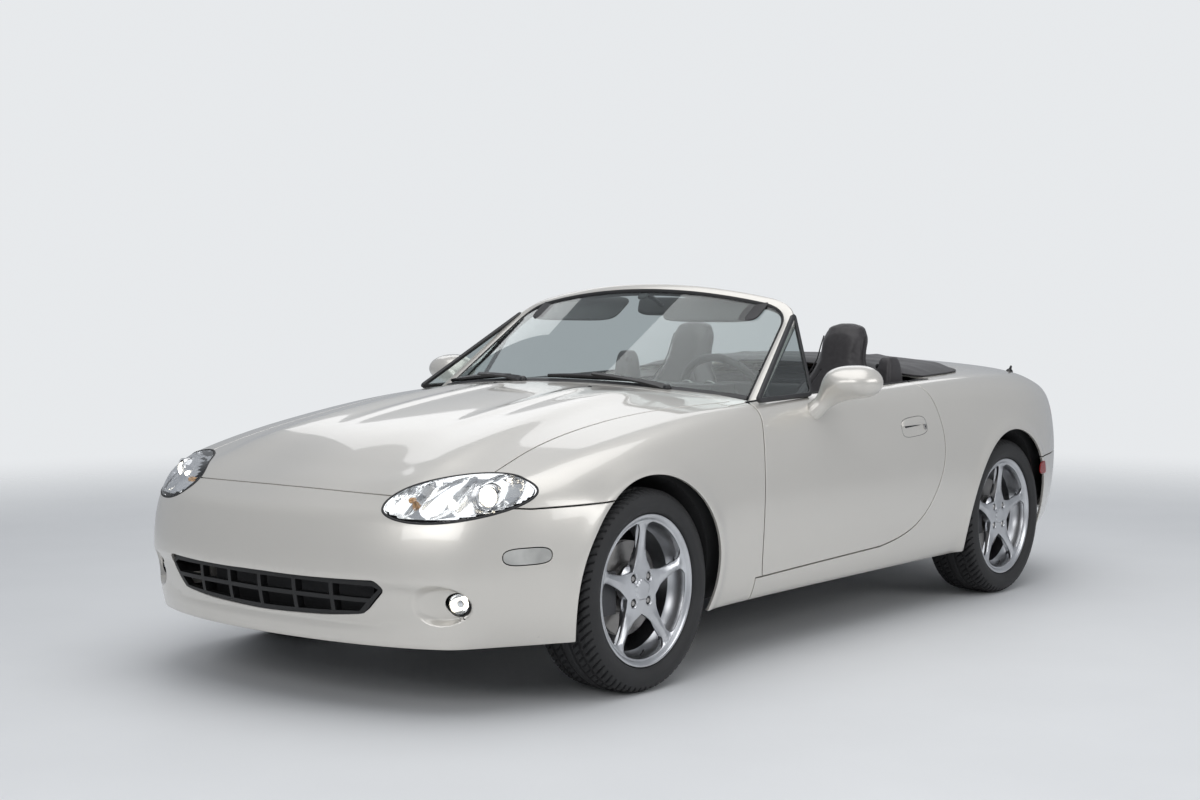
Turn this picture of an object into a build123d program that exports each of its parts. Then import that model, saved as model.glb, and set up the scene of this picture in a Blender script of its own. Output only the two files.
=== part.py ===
from build123d import *
import math
import os
from functools import lru_cache

# Two-seat open roadster, built as separate panels, glass, lamps, trim, running gear and wheels.
# Frame: X to the car's left, Y towards its tail, Z up from the ground. Millimetres.
# The origin is on the ground, midway along the length and on the centreline.

os.makedirs("parts", exist_ok=True)

# ---- driving dimensions ----
LENGTH = 3945.0
WHEELBASE = 2265.0
FRONT_OVERHANG = 775.5
TRACK_FRONT = 1415.0
TRACK_REAR = 1428.0
NOSE_Y = -LENGTH / 2
TAIL_Y = LENGTH / 2
FRONT_AXLE_Y = NOSE_Y + FRONT_OVERHANG
REAR_AXLE_Y = FRONT_AXLE_Y + WHEELBASE

TYRE_R = 295.0
TYRE_WIDTH = 205.0
RIM_LIP_R = 220.0
RIM_SEAT_R = 203.0
RIM_WIDTH = 176.0
RIM_WALL = 9.0
SPOKES = 5
SPOKE_ROOT = 62.0
SPOKE_TIP = 44.0
SPOKE_DEPTH = 34.0
HUB_R = 68.0
LUGS = 4
LUG_CIRCLE_R = 50.0
LUG_R = 9.0
DISC_R = 138.0
DISC_THICK = 20.0
DISC_IN = 12.0
AXLE_Z = TYRE_R
ARCH_R = 328.0
ARCH_RISE = 4.0
FRONT_WELL_X = 425.0
REAR_WELL_X = 560.0

PANEL = 40.0
LID = 22.0
LENS = 6.0
DOOR_SKIN = 12.0
DOOR_THICK = 108.0
DOOR_RIM = 20.0
DOOR_INNER_X = 700.0
SEAM = 0.3
SHUT = 5.5
DOOR_SHUT = 8.0
DECK_SHUT = 12.0
COWL_SHUT = 18.0
FAR = 3000.0

BUMPER_SEAM_Y = -1429.0
BUMPER_SEAM_Z = 569.0
BUMPER_SEAM_RISE = 0.04
REAR_SEAM_Z = 505.0
ROCKER_SEAM_Y = -640.0
HOOD_REAR_Y = -652.0
HOOD_CORNER_Y = -590.0
HOOD_REAR_X = 660.0
HOOD_MID_X = 564.0
HOOD_MID_Y = -1150.0
HOOD_FRONT_X = 592.0
HOOD_HINGE_X = 300.0
HOOD_HINGE_Y = -694.0
HOOD_HINGE_Z = 814.0
LUG_R_OUT = 10.0
LUG_WIDE = 20.0
PIN_R = 5.0
CHEEK_R = 7.5
CHEEK_WIDE = 16.0
DOOR_HINGE_X = 794.0
DOOR_HINGE_Y = -735.0
DOOR_HINGES_Z = (400.0, 580.0)
DOOR_ARM_TALL = 36.0
DOOR_ARM_WIDE = 14.0
DOOR_NECK = [(0.0, 0.0), (-105.0, 60.0), (-60.0, 146.0)]
FENDER_EDGE = 12.0
FENDER_LEDGE = 7.0
HOOD_EDGE = 7.0
HOOD_RIM = 16.0
COWL_CORNER = 5.0
BELT_Z = 815.0
DECK_FRONT_Y = 1085.0
TRUNK_FRONT_Y = 1122.0
TRUNK_X = 520.0
TRUNK_STEP_Z = 745.0
TRUNK_LOW_X = 470.0
TRUNK_LOW_Z = 640.0
TRUNK_HINGE_X = 434.0
TRUNK_HINGE_Y = 1242.0
TRUNK_HINGE_Z = 847.0
TRUNK_GUTTER_Z = 722.0
TONNEAU_FRONT_Y = 668.0
TONNEAU_X = 565.0
TONNEAU_RISE = 12.0
TONNEAU_FLOOR_Z = 785.0

CABIN_X = 640.0
CABIN_FRONT_Y = -560.0
CABIN_REAR_Y = 600.0
CABIN_TOP_REAR_Y = 660.0
FLOOR_Z = 232.0
SILL_Z = 330.0
TUNNEL_X = 140.0
TUNNEL_Z = 430.0
TUNNEL_WALL = 25.0
BAY_X = 400.0
BAY_FRONT_Y = -1880.0
BAY_REAR_Y = -720.0
BAY_SHELF_Z = 700.0
REAR_BAY_Z = 470.0
TRUNK_WELL_X = 450.0
TRUNK_WELL_Z = 500.0

SCREEN_RAKE = 34.0
SCREEN_R = 2070.0
HEADER_Y = -124.0
HEADER_Z = 1182.0
SCREEN_TOP_X = 604.0
SCREEN_FOOT_X = 728.0
SCREEN_LENGTH = 690.0
SCREEN_CORNER_R = 60.0
SCREEN_BAR = 42.0
SCREEN_DEPTH = 34.0
GLASS_IN = 8.0
GLASS_THICK = 5.0

LAMP_X = 567.0
LAMP_Z = 593.0
LAMP_A = 168.0
LAMP_B = 60.0
LAMP_TILT = 4.0
LAMP_DEPTH = 100.0
TAIL_LAMP_X = 615.0
TAIL_LAMP_Z = 660.0
TAIL_LAMP_A = 108.0
TAIL_LAMP_B = 62.0
FOG_X = 582.0
FOG_Z = 313.0
FOG_A = 74.0
FOG_B = 57.0
FOG_LENS_R = 30.0
FOG_LENS_X = 612.0
FOG_LENS_Y = -1772.0
FOG_LENS_DEEP = 44.0
INTAKE_BROW_X = 420.0
INTAKE_BROW_Z = 372.0
INTAKE_CORNER_X = 438.0
INTAKE_CORNER_Z = 350.0
INTAKE_JAW_X = 372.0
INTAKE_JAW_Z = 280.0
INTAKE_LIP_Z = 260.0
INTAKE_BAR_Z = 318.0

WHEEL_GRIP_R = 185.0
WHEEL_RIM_R = 15.0
WHEEL_X = 345.0
WHEEL_Y = -150.0
WHEEL_Z = 770.0
COLUMN_TILT = 25.0
SEAT_X = 352.0
SEAT_HALF = 205.0
KINGPIN_IN = 44.0
KINGPIN_R = 9.0
STEER_X = TRACK_FRONT / 2 - KINGPIN_IN
HUB_STUB_R = 19.0
POST_LOW = -120.0
POST_HIGH = 128.0
PIPE_X = 150.0
PIPE_Z = 186.0
MUFFLER_R = 62.0
MUFFLER_Z = 165.0

# Body stations. Columns: y, half width, height of the widest line, crown height on the centreline,
# crown radius, shoulder radius, side radius above the widest line, side radius below it, underside.
STATIONS = [
    (-1990.0, 770.0, 430.0, 575.0, 4000.0, 130.0, 900.0, 1000.0, 178.0),
    (-1780.0, 795.0, 435.0, 648.0, 4000.0, 140.0, 850.0, 1000.0, 176.0),
    (-1500.0, 815.0, 445.0, 730.0, 4000.0, 160.0, 800.0, 1000.0, 175.0),
    (-1197.0, 828.0, 470.0, 786.0, 4200.0, 170.0, 720.0, 1000.0, 175.0),
    (-880.0, 826.0, 490.0, 826.0, 4600.0, 150.0, 640.0, 900.0, 178.0),
    (-560.0, 826.0, 505.0, 852.0, 4600.0, 110.0, 600.0, 850.0, 180.0),
    (0.0, 832.0, 515.0, 862.0, 5200.0, 95.0, 600.0, 850.0, 180.0),
    (500.0, 836.0, 520.0, 874.0, 5200.0, 110.0, 640.0, 900.0, 180.0),
    (1068.0, 840.0, 520.0, 886.0, 4600.0, 150.0, 720.0, 1000.0, 190.0),
    (1300.0, 828.0, 515.0, 881.0, 4400.0, 160.0, 740.0, 1000.0, 200.0),
    (1500.0, 788.0, 510.0, 872.0, 4200.0, 170.0, 760.0, 1000.0, 215.0),
    (1720.0, 708.0, 500.0, 855.0, 4000.0, 165.0, 800.0, 900.0, 235.0),
    (1990.0, 580.0, 490.0, 826.0, 4000.0, 150.0, 800.0, 800.0, 255.0),
]

# Nose and tail in plan. Columns: distance off the centreline, how far the face has swept back
# there, how much higher its brow stands there.
NOSE_PLAN = [
    (0.0, 0.5, 0.0),
    (300.0, 24.0, 0.0),
    (520.0, 84.0, 24.0),
    (690.0, 215.0, 44.0),
    (800.0, 420.0, 44.0),
]
TAIL_PLAN = [
    (0.0, 0.0, 52.0),
    (300.0, 20.0, 46.0),
    (520.0, 80.0, 16.0),
    (620.0, 150.0, 0.0),
    (700.0, 238.0, 0.0),
    (790.0, 360.0, 0.0),
]

# Door mirror head. Columns: y, half width, half height.
MIRROR_RINGS = [(-176.0, 98.0, 54.0), (-214.0, 95.0, 52.0), (-252.0, 80.0, 43.0), (-284.0, 40.0, 20.0)]
MIRROR_X = 884.0
MIRROR_Z = 858.0

# Side view of the door, clockwise from its front foot. Columns: y, z.
DOOR_FRONT = [(-600.0, 267.0), (-624.0, 560.0), (-588.0, 905.0)]
DOOR_BACK = [(430.0, 905.0), (504.0, 780.0), (540.0, 620.0), (500.0, 480.0), (352.0, 340.0), (120.0, 284.0)]
DOOR_MIDDLE = (-40.0, 560.0)
DOOR_HALF = (575.0, 290.0)


def export(shape, name):
    """Writes one node. A list becomes one compound of solids that don't touch."""
    body = Compound(children=list(shape)) if isinstance(shape, (list, tuple)) else shape
    export_step(body, os.path.join("parts", name + ".step"))


def box(x0, x1, y0, y1, z0, z1):
    """Plain block between two corners."""
    centre = ((x0 + x1) / 2, (y0 + y1) / 2, (z0 + z1) / 2)
    return Pos(*centre) * Box(abs(x1 - x0), abs(y1 - y0), abs(z1 - z0))


def pair(shape):
    """The shape and its mirror image across the centreline."""
    return [shape, mirror(shape, about=Plane.YZ)]


def circles_meet(a, ra, b, rb):
    """Where two circles cross, on the outer upper side."""
    dx = b[0] - a[0]
    dz = b[1] - a[1]
    span = math.hypot(dx, dz)
    along = (ra * ra - rb * rb + span * span) / (2 * span)
    off = math.sqrt(max(ra * ra - along * along, 0.0))
    ux = dx / span
    uz = dz / span
    one = (a[0] + along * ux - off * uz, a[1] + along * uz + off * ux)
    two = (a[0] + along * ux + off * uz, a[1] + along * uz - off * ux)
    return one if one[0] > two[0] else two


def arc_point(centre, radius, angle):
    return (centre[0] + radius * math.cos(angle), centre[1] + radius * math.sin(angle))


def station_wire(row, inset):
    """Closed cross-section: flat underside, two side arcs, a shoulder arc and a crown arc per half."""
    y, half, wide_z, top_z, crown, shoulder, side, low, under = row
    half -= inset
    top_z -= inset
    crown -= inset
    shoulder = max(shoulder - inset, 12.0)
    side -= inset
    low -= inset
    under += inset
    side_c = (half - side, wide_z)
    crown_c = (0.0, top_z - crown)
    shoulder_c = circles_meet(side_c, side - shoulder, crown_c, crown - shoulder)
    side_end = math.atan2(shoulder_c[1] - side_c[1], shoulder_c[0] - side_c[0])
    crown_end = math.atan2(shoulder_c[1] - crown_c[1], shoulder_c[0] - crown_c[0])
    low_c = (half - low, wide_z)
    low_end = math.asin((under - wide_z) / low)
    foot = arc_point(low_c, low, low_end)
    low_mid = arc_point(low_c, low, low_end / 2)
    wide = (half, wide_z)
    side_mid = arc_point(side_c, side, side_end / 2)
    side_top = arc_point(side_c, side, side_end)
    shoulder_mid = arc_point(shoulder_c, shoulder, (side_end + crown_end) / 2)
    crown_out = arc_point(crown_c, crown, crown_end)
    right = [foot, low_mid, wide, side_mid, side_top, shoulder_mid, crown_out]

    def at(p, sign=1):
        return (sign * p[0], y, p[1])

    edges = [Line(at(foot, -1), at(foot))]
    for k in (0, 2, 4):
        edges.append(ThreePointArc(at(right[k]), at(right[k + 1]), at(right[k + 2])))
    edges.append(ThreePointArc(at(crown_out), (0.0, y, top_z), at(crown_out, -1)))
    for k in (6, 4, 2):
        edges.append(ThreePointArc(at(right[k], -1), at(right[k - 1], -1), at(right[k - 2], -1)))
    return Wire(edges)


def nose_profile(x, back, brow, inset):
    """Side view of the nose at a distance x off the centreline, open towards the cabin."""
    y = NOSE_Y + back + inset
    low = (x, y + 34.0, 215.0)
    lip = (x, y + 30.0, 545.0)
    edge = (x, y + 230.0, 642.0 + brow - inset)
    return Wire([
        Line((x, -300.0, 60.0), (x, y + 66.0, 60.0)),
        Line((x, y + 66.0, 60.0), low),
        ThreePointArc(low, (x, y, 400.0), lip),
        ThreePointArc(lip, (x, y + 106.0, 588.0 + brow - inset), edge),
        Line(edge, (x, y + 700.0, 1400.0)),
        Line((x, y + 700.0, 1400.0), (x, -300.0, 1400.0)),
        Line((x, -300.0, 1400.0), (x, -300.0, 60.0)),
    ])


def tail_profile(x, back, brow, inset):
    """Side view of the tail at a distance x off the centreline, open towards the cabin."""
    y = TAIL_Y - back - inset
    low = (x, y - 60.0, 260.0)
    waist = (x, y - 22.0, 640.0)
    edge = (x, y - 140.0, 778.0 + brow - inset)
    return Wire([
        Line((x, 500.0, 60.0), (x, y - 110.0, 60.0)),
        Line((x, y - 110.0, 60.0), low),
        ThreePointArc(low, (x, y, 470.0), waist),
        ThreePointArc(waist, (x, y - 62.0, 724.0 + 0.7 * brow - inset), edge),
        Line(edge, (x, y - 420.0, 866.0 + brow - inset)),
        Line((x, y - 420.0, 866.0 + brow - inset), (x, y - 440.0, 1400.0)),
        Line((x, y - 440.0, 1400.0), (x, 500.0, 1400.0)),
        Line((x, 500.0, 1400.0), (x, 500.0, 60.0)),
    ])


def across(profile, plan, inset):
    """Solid between the profile's copies, swept back across the car as the plan says."""
    last = plan[-1]
    ends = (last[0] + 120.0, last[1] + 330.0, last[2])
    half = list(plan) + [ends]
    rows = [(-x, back, brow) for x, back, brow in reversed(half[1:])] + half
    return loft([Face(profile(x, back, brow, inset)) for x, back, brow in rows])


@lru_cache(maxsize=None)
def body_form(inset):
    """The whole outer form, moved inwards by the inset."""
    form = loft([Face(station_wire(row, inset)) for row in STATIONS])
    front = across(nose_profile, NOSE_PLAN, inset)
    rear = across(tail_profile, TAIL_PLAN, inset)
    middle = box(-FAR, FAR, -701.0, 501.0, 0, 1400.0)
    return form & (front + middle + rear)


def whole(shape):
    """One shape from whatever a boolean gives back."""
    return Compound(children=list(shape)) if isinstance(shape, list) else shape


def side_prism(edges, x0, x1):
    """Side-view outline, drawn as edges at x = 0, carried from x0 to x1."""
    face = Pos(x0, 0, 0) * Face(Wire(edges))
    return extrude(face, x1 - x0, dir=(1, 0, 0))


def plan_prism(edges, z0, z1):
    """Plan outline, drawn as edges at z = 0, carried from z0 to z1."""
    face = Pos(0, 0, z0) * Face(Wire(edges))
    return extrude(face, z1 - z0, dir=(0, 0, 1))


def ring_of(points):
    return [Line(a, b) for a, b in zip(points, points[1:] + points[:1])]


def bumper_zone(shift, upper):
    """Everything above or below the front bumper's top seam, ahead of the front arch's top."""
    y0 = NOSE_Y - 200.0
    y1 = FRONT_AXLE_Y
    z0 = BUMPER_SEAM_Z + (BUMPER_SEAM_Y - y0) * BUMPER_SEAM_RISE + shift
    z1 = BUMPER_SEAM_Z + (BUMPER_SEAM_Y - y1) * BUMPER_SEAM_RISE + shift
    end = 1500.0 if upper else -200.0
    return side_prism(ring_of([(0, y0, z0), (0, y1, z1), (0, y1, end), (0, y0, end)]), -FAR, FAR)


def door_edges(grow):
    """Side view of the door as edges, moved outwards by grow."""

    def at(point):
        fy = 1.0 + grow / DOOR_HALF[0]
        fz = 1.0 + grow / DOOR_HALF[1]
        y = DOOR_MIDDLE[0] + (point[0] - DOOR_MIDDLE[0]) * fy
        z = DOOR_MIDDLE[1] + (point[1] - DOOR_MIDDLE[1]) * fz
        return (0, y, z)

    front = [at(p) for p in DOOR_FRONT]
    back = [at(p) for p in DOOR_BACK]
    return [
        ThreePointArc(*front),
        Line(front[2], back[0]),
        Line(back[0], back[1]),
        ThreePointArc(back[1], back[2], back[3]),
        ThreePointArc(back[3], back[4], back[5]),
        Line(back[5], front[0]),
    ]


def door_prism(grow, x0):
    return side_prism(door_edges(grow), x0, FAR)


def arch(y, inner_x):
    """Wheel arch bore of the left side, from inner_x outwards."""
    centre = (inner_x + FAR) / 2
    bore = Pos(centre, y, AXLE_Z + ARCH_RISE) * Rot(0, 90, 0) * Cylinder(ARCH_R, FAR - inner_x)
    return bore + box(inner_x, FAR, y - ARCH_R, y + ARCH_R, -300.0, AXLE_Z + ARCH_RISE)


def hood_prism(grow, rear=None):
    """Plan outline of the hood, its edges moved outwards by grow, as a tall prism."""
    xf = HOOD_FRONT_X + grow
    xm = HOOD_MID_X + grow
    xr = HOOD_REAR_X + grow
    yc = HOOD_REAR_Y + (grow if rear is None else rear)
    ys = HOOD_CORNER_Y + grow
    y0 = NOSE_Y - 100.0
    y1 = NOSE_Y + 250.0
    edges = [
        Line((-xf, y0), (xf, y0)),
        Line((xf, y0), (xf, y1)),
        ThreePointArc((xf, y1), (xm, HOOD_MID_Y), (xr, ys)),
        ThreePointArc((xr, ys), (0, yc), (-xr, ys)),
        ThreePointArc((-xr, ys), (-xm, HOOD_MID_Y), (-xf, y1)),
        Line((-xf, y1), (-xf, y0)),
    ]
    return plan_prism(edges, 300.0, 1500.0)


def trunk_zone(grow):
    """Region of the trunk lid: wide on the deck, narrower between the tail lamps."""
    deck = box(-TRUNK_X - grow, TRUNK_X + grow, TRUNK_FRONT_Y - grow, FAR, TRUNK_STEP_Z - grow, 1500.0)
    low_x = TRUNK_LOW_X + grow
    return deck + box(-low_x, low_x, TRUNK_FRONT_Y + 300.0, FAR, TRUNK_LOW_Z - grow, 1500.0)


def oval(x, z, a, b, tilt, y0, y1):
    """Elliptical block running fore and aft, tilted in the front view."""
    disc = Pos(x, y0, z) * Rot(90, 0, 0) * Rot(0, 0, tilt) * Ellipse(a, b)
    return extrude(disc, y1 - y0, dir=(0, 1, 0))


def lamp_zone(grow):
    return oval(LAMP_X, LAMP_Z, LAMP_A + grow, LAMP_B + grow, LAMP_TILT, NOSE_Y - 100.0, -1400.0)


def tail_lamp_zone(grow):
    return oval(TAIL_LAMP_X, TAIL_LAMP_Z, TAIL_LAMP_A + grow, TAIL_LAMP_B + grow, 0.0, 1200.0, TAIL_Y + 100.0)


def fog_zone(grow):
    return oval(FOG_X, FOG_Z, FOG_A + grow, FOG_B + grow, 0.0, NOSE_Y - 100.0, -1640.0)


def intake_zone(grow):
    """Intake opening: level brow, short corners and a curved lower lip."""
    y = NOSE_Y - 100.0
    brow = (INTAKE_BROW_X + grow, y, INTAKE_BROW_Z + grow)
    corner = (INTAKE_CORNER_X + grow, y, INTAKE_CORNER_Z)
    jaw = (INTAKE_JAW_X + grow, y, INTAKE_JAW_Z - grow / 2)
    flip = [(-p[0], p[1], p[2]) for p in (brow, corner, jaw)]
    edges = [
        Line(flip[0], brow),
        Line(brow, corner),
        Line(corner, jaw),
        ThreePointArc(jaw, (0.0, y, INTAKE_LIP_Z - grow), flip[2]),
        Line(flip[2], flip[1]),
        Line(flip[1], flip[0]),
    ]
    return extrude(Face(Wire(edges)), -1790.0 - y, dir=(0, 1, 0))


def screen_plane():
    """Plane through the header's middle: x across, y up the glass, z out of it."""
    rake = math.radians(SCREEN_RAKE)
    return Plane(origin=(0, HEADER_Y, HEADER_Z), x_dir=(1, 0, 0), z_dir=(0, -math.sin(rake), math.cos(rake)))


def screen_slab(low, high):
    """Curved slab between two depths under the screen's outer surface."""
    place = screen_plane().location * Pos(0, 0, -SCREEN_R) * Rot(90, 0, 0)
    return place * (Cylinder(SCREEN_R - low, 2400.0) - Cylinder(SCREEN_R - high, 2400.0))


def screen_block(grow, top, foot):
    """Trapezoid in the screen's plane, its top corners rounded, carried both ways."""
    xt = SCREEN_TOP_X + grow
    xb = SCREEN_FOOT_X + grow
    r = max(SCREEN_CORNER_R + grow, 10.0)
    line = Polyline((-xb, foot), (-xt, top), (xt, top), (xb, foot), close=True)
    face = make_face(line)
    tops = sorted(face.vertices(), key=lambda v: v.Y)[-2:]
    face = fillet(tops, r)
    return screen_plane().location * extrude(face, 420.0, both=True)


def rod(a, b, radius):
    """Round bar between two points."""
    start = Vector(*a)
    run = Vector(*b) - start
    place = Plane(origin=start, z_dir=run).location
    return place * Pos(0, 0, run.length / 2) * Cylinder(radius, run.length)


def turned(points):
    """Solid of revolution about the X axis. Points are (x, radius)."""
    face = make_face(Polyline(*[(x, r, 0) for x, r in points], close=True))
    return revolve(face, Axis.X)


def lid_hinge(x, y, z, foot_y, foot_z, drop):
    """Hinge of a lid on its left side: lug and hole for the lid, its pocket, and the tub's cheek with pin.

    drop is the side, +1 or -1 along Y, on which the lid's edge sinks when it opens.
    """
    turn = Rot(0, 90, 0)
    cheek_x = x + LUG_WIDE / 2 + 3.0 + CHEEK_WIDE / 2
    lug = Pos(x, y, z) * turn * Cylinder(LUG_R_OUT, LUG_WIDE)
    hole = Pos(x, y, z) * turn * Cylinder(PIN_R + SEAM, LUG_WIDE + 6.0)
    pin_end = cheek_x + CHEEK_WIDE / 2
    pin_start = x - LUG_WIDE / 2 + 1.0
    pin = Pos((pin_start + pin_end) / 2, y, z) * turn * Cylinder(PIN_R, pin_end - pin_start)
    cheek = Pos(cheek_x, y, z) * turn * Cylinder(CHEEK_R, CHEEK_WIDE)
    web = [(0, y + drop * CHEEK_R, z), (0, foot_y + drop * 10.0, foot_z), (0, foot_y - drop * 12.0, foot_z),
           (0, y - drop * CHEEK_R, z)]
    cheek = cheek + side_prism(ring_of(web), cheek_x - CHEEK_WIDE / 2, cheek_x + CHEEK_WIDE / 2)
    half = CHEEK_WIDE / 2 + 2.5
    pocket = Pos(cheek_x, y, z) * turn * Cylinder(CHEEK_R + 4.5, 2 * half)
    far = y + drop * 34.0
    pocket = pocket + box(cheek_x - half, cheek_x + half, min(y, far), max(y, far), z - 60.0, z + 7.0)
    pocket = pocket + box(cheek_x - half, cheek_x + half, y - 30.0, y + 30.0, z - 60.0, z - 2.0)
    return lug, hole, pocket, cheek + pin


def door_hinge_parts(z):
    """One hinge of the left door: goose-neck arm with its hole, and the pillar's bracket with pin."""
    low = z - DOOR_ARM_TALL / 2
    high = z + DOOR_ARM_TALL / 2
    arm = Pos(DOOR_HINGE_X, DOOR_HINGE_Y, z) * Cylinder(DOOR_ARM_WIDE / 2 + 2.0, DOOR_ARM_TALL)
    for a, b in zip(DOOR_NECK, DOOR_NECK[1:]):
        run = math.hypot(b[0] - a[0], b[1] - a[1])
        angle = math.degrees(math.atan2(b[1] - a[1], b[0] - a[0]))
        mid = ((a[0] + b[0]) / 2 + DOOR_HINGE_X, (a[1] + b[1]) / 2 + DOOR_HINGE_Y)
        arm = arm + Pos(mid[0], mid[1], z) * Rot(0, 0, angle) * Box(run, DOOR_ARM_WIDE, DOOR_ARM_TALL)
        arm = arm + Pos(b[0] + DOOR_HINGE_X, b[1] + DOOR_HINGE_Y, z) * Cylinder(DOOR_ARM_WIDE / 2, DOOR_ARM_TALL)
    hole = Pos(DOOR_HINGE_X, DOOR_HINGE_Y, z) * Cylinder(PIN_R + SEAM, DOOR_ARM_TALL + 2.0)
    x0 = DOOR_HINGE_X - 60.0
    x1 = DOOR_HINGE_X + 6.0
    y0 = DOOR_HINGE_Y - 10.0
    y1 = DOOR_HINGE_Y + 10.0
    bracket = box(x0, x1, y0, y1, low - 20.0, low - SEAM) + box(x0, x1, y0, y1, high + SEAM, high + 20.0)
    bracket = bracket + Pos(DOOR_HINGE_X, DOOR_HINGE_Y, z) * Cylinder(PIN_R, DOOR_ARM_TALL + 30.0)
    x_deep = DOOR_HINGE_X + DOOR_NECK[1][0] - DOOR_ARM_WIDE
    pocket = box(x_deep, FAR, DOOR_HINGE_Y - 18.0, DOOR_HINGE_Y + 170.0, low - 18.0, high + 18.0)
    return arm, hole, bracket, pocket


# ---- panels ----

def build_panels():
    """Outer panels, lamps, glass and the tub that carries them."""
    outer = body_form(0.0)
    under = body_form(PANEL)
    shell = outer - under
    lid_shell = outer - body_form(LID)
    tub_form = body_form(PANEL + SEAM)
    left = box(SEAM / 2, FAR, -FAR, FAR, -100.0, 1500.0)
    lamps = lamp_zone(0.0) + mirror(lamp_zone(0.0), about=Plane.YZ)
    lamps_wide = lamp_zone(SHUT) + mirror(lamp_zone(SHUT), about=Plane.YZ)
    fogs = fog_zone(0.0) + mirror(fog_zone(0.0), about=Plane.YZ)
    tails = tail_lamp_zone(0.0) + mirror(tail_lamp_zone(0.0), about=Plane.YZ)
    front_arch = arch(FRONT_AXLE_Y, FRONT_WELL_X)
    rear_arch = arch(REAR_AXLE_Y, REAR_WELL_X)
    arches = front_arch + rear_arch
    both_arches = arches + mirror(arches, about=Plane.YZ)

    # Front bumper, with its lower lip, intake and lamp openings.
    bumper = shell & bumper_zone(-SEAM / 2, False)
    bumper = bumper - both_arches - lamps - fogs - intake_zone(0.0)
    bumper = bumper - box(-740.0, 740.0, -1530.0, -1000.0, -100.0, 420.0)
    export(bumper, "front_bumper")

    hood = lid_shell & bumper_zone(SHUT - SEAM, True) & box(-FAR, FAR, -FAR, FRONT_AXLE_Y, 0, 1500.0)
    hood = hood + (lid_shell & box(-FAR, FAR, FRONT_AXLE_Y, -500.0, 600.0, 1500.0))
    hood = (hood & hood_prism(0.0)) - lamps_wide
    corner = box(HOOD_HINGE_X * 2, FAR, HOOD_HINGE_Y - 60.0, HOOD_HINGE_Y + 60.0, 0, 1500.0)
    corner = corner & (hood_prism(0.5) - hood_prism(-HOOD_RIM)) & body_form(HOOD_EDGE)
    hood = hood - corner - mirror(corner, about=Plane.YZ)
    parts = lid_hinge(HOOD_HINGE_X, HOOD_HINGE_Y, HOOD_HINGE_Z, HOOD_HINGE_Y - 12.0, BAY_SHELF_Z - 1.0, 1)
    lug, hole, pocket, hood_cheek = parts
    for flip in (False, True):
        lug, hole, pocket = [mirror(s, about=Plane.YZ) if flip else s for s in (lug, hole, pocket)]
        hood = (hood - pocket) + lug - hole
    export(hood, "hood")

    wing_zone = bumper_zone(SEAM / 2, True) + box(-FAR, FAR, FRONT_AXLE_Y, ROCKER_SEAM_Y - SEAM, -100.0, 1500.0)
    wing_zone = wing_zone + box(-FAR, FAR, ROCKER_SEAM_Y - 1.0, -560.0, DOOR_FRONT[0][1] - DOOR_SHUT, 1500.0)
    fender = (shell & wing_zone & left) - hood_prism(SHUT) - lamps - front_arch - door_prism(DOOR_SHUT, 600.0)
    cowl_cut = box(-DOOR_INNER_X, DOOR_INNER_X, HOOD_CORNER_Y - 60.0, 0, 300.0, 1500.0)
    fender = fender - cowl_cut - box(0, DOOR_INNER_X, -FAR, FAR, -100.0, 330.0)
    fender = fender & box(0, FAR, -FAR, DOOR_FRONT[2][0] - DOOR_SHUT - 12.0, -100.0, 1500.0)
    hood_side = box(0, HOOD_REAR_X + 9.0, HOOD_HINGE_Y - 56.0, -500.0, 600.0, 1500.0)
    under_hood = body_form(FENDER_LEDGE) & hood_side
    fender = fender - under_hood
    edge_y = DOOR_HINGE_Y - 30.0
    fender = fender - (body_form(FENDER_EDGE) & box(DOOR_INNER_X, FAR, edge_y, -500.0, 290.0, 720.0))
    export(fender, "fender_left")
    export(mirror(fender, about=Plane.YZ), "fender_right")

    cowl = shell & box(-DOOR_INNER_X + SEAM, DOOR_INNER_X - SEAM, HOOD_REAR_Y - 40.0, -505.0, 600.0, 1500.0)
    cowl = cowl - hood_prism(DOOR_SHUT, COWL_SHUT)
    cowl = cowl - box(-FAR, FAR, -FAR, HOOD_CORNER_Y - 60.0 + COWL_CORNER, 0, 1500.0)
    export(cowl, "cowl_panel")

    # Rear bumper, trunk lid and the deck between lid and cover.
    seam_zone = box(-FAR, FAR, REAR_AXLE_Y, FAR, -100.0, REAR_SEAM_Z - SEAM)
    low_x = TRUNK_LOW_X + SHUT - SEAM
    seam_zone = seam_zone + box(-low_x, low_x, 1500.0, FAR, 300.0, TRUNK_LOW_Z - SHUT)
    rear_bumper = (shell & seam_zone) - both_arches - tails
    rear_bumper = rear_bumper - box(-700.0, 700.0, 800.0, 1420.0, -100.0, 420.0)
    rear_bumper = rear_bumper - box(245.0, 415.0, 1380.0, 1680.0, -100.0, 300.0)
    export(rear_bumper, "rear_bumper")
    lamp_gap = tail_lamp_zone(SHUT)
    trunk = (lid_shell & trunk_zone(0.0)) - lamp_gap - mirror(lamp_gap, about=Plane.YZ)
    parts = lid_hinge(TRUNK_HINGE_X, TRUNK_HINGE_Y, TRUNK_HINGE_Z, TRUNK_HINGE_Y + 14.0, TRUNK_GUTTER_Z - 1.0, -1)
    lug, hole, pocket, trunk_cheek = parts
    for flip in (False, True):
        lug, hole, pocket = [mirror(s, about=Plane.YZ) if flip else s for s in (lug, hole, pocket)]
        trunk = (trunk - pocket) + lug - hole
    export(trunk, "trunk_lid")
    deck = shell & box(-TONNEAU_X, TONNEAU_X, DECK_FRONT_Y, TRUNK_FRONT_Y - DECK_SHUT, 700.0, 1500.0)
    export(deck, "rear_deck")

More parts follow.
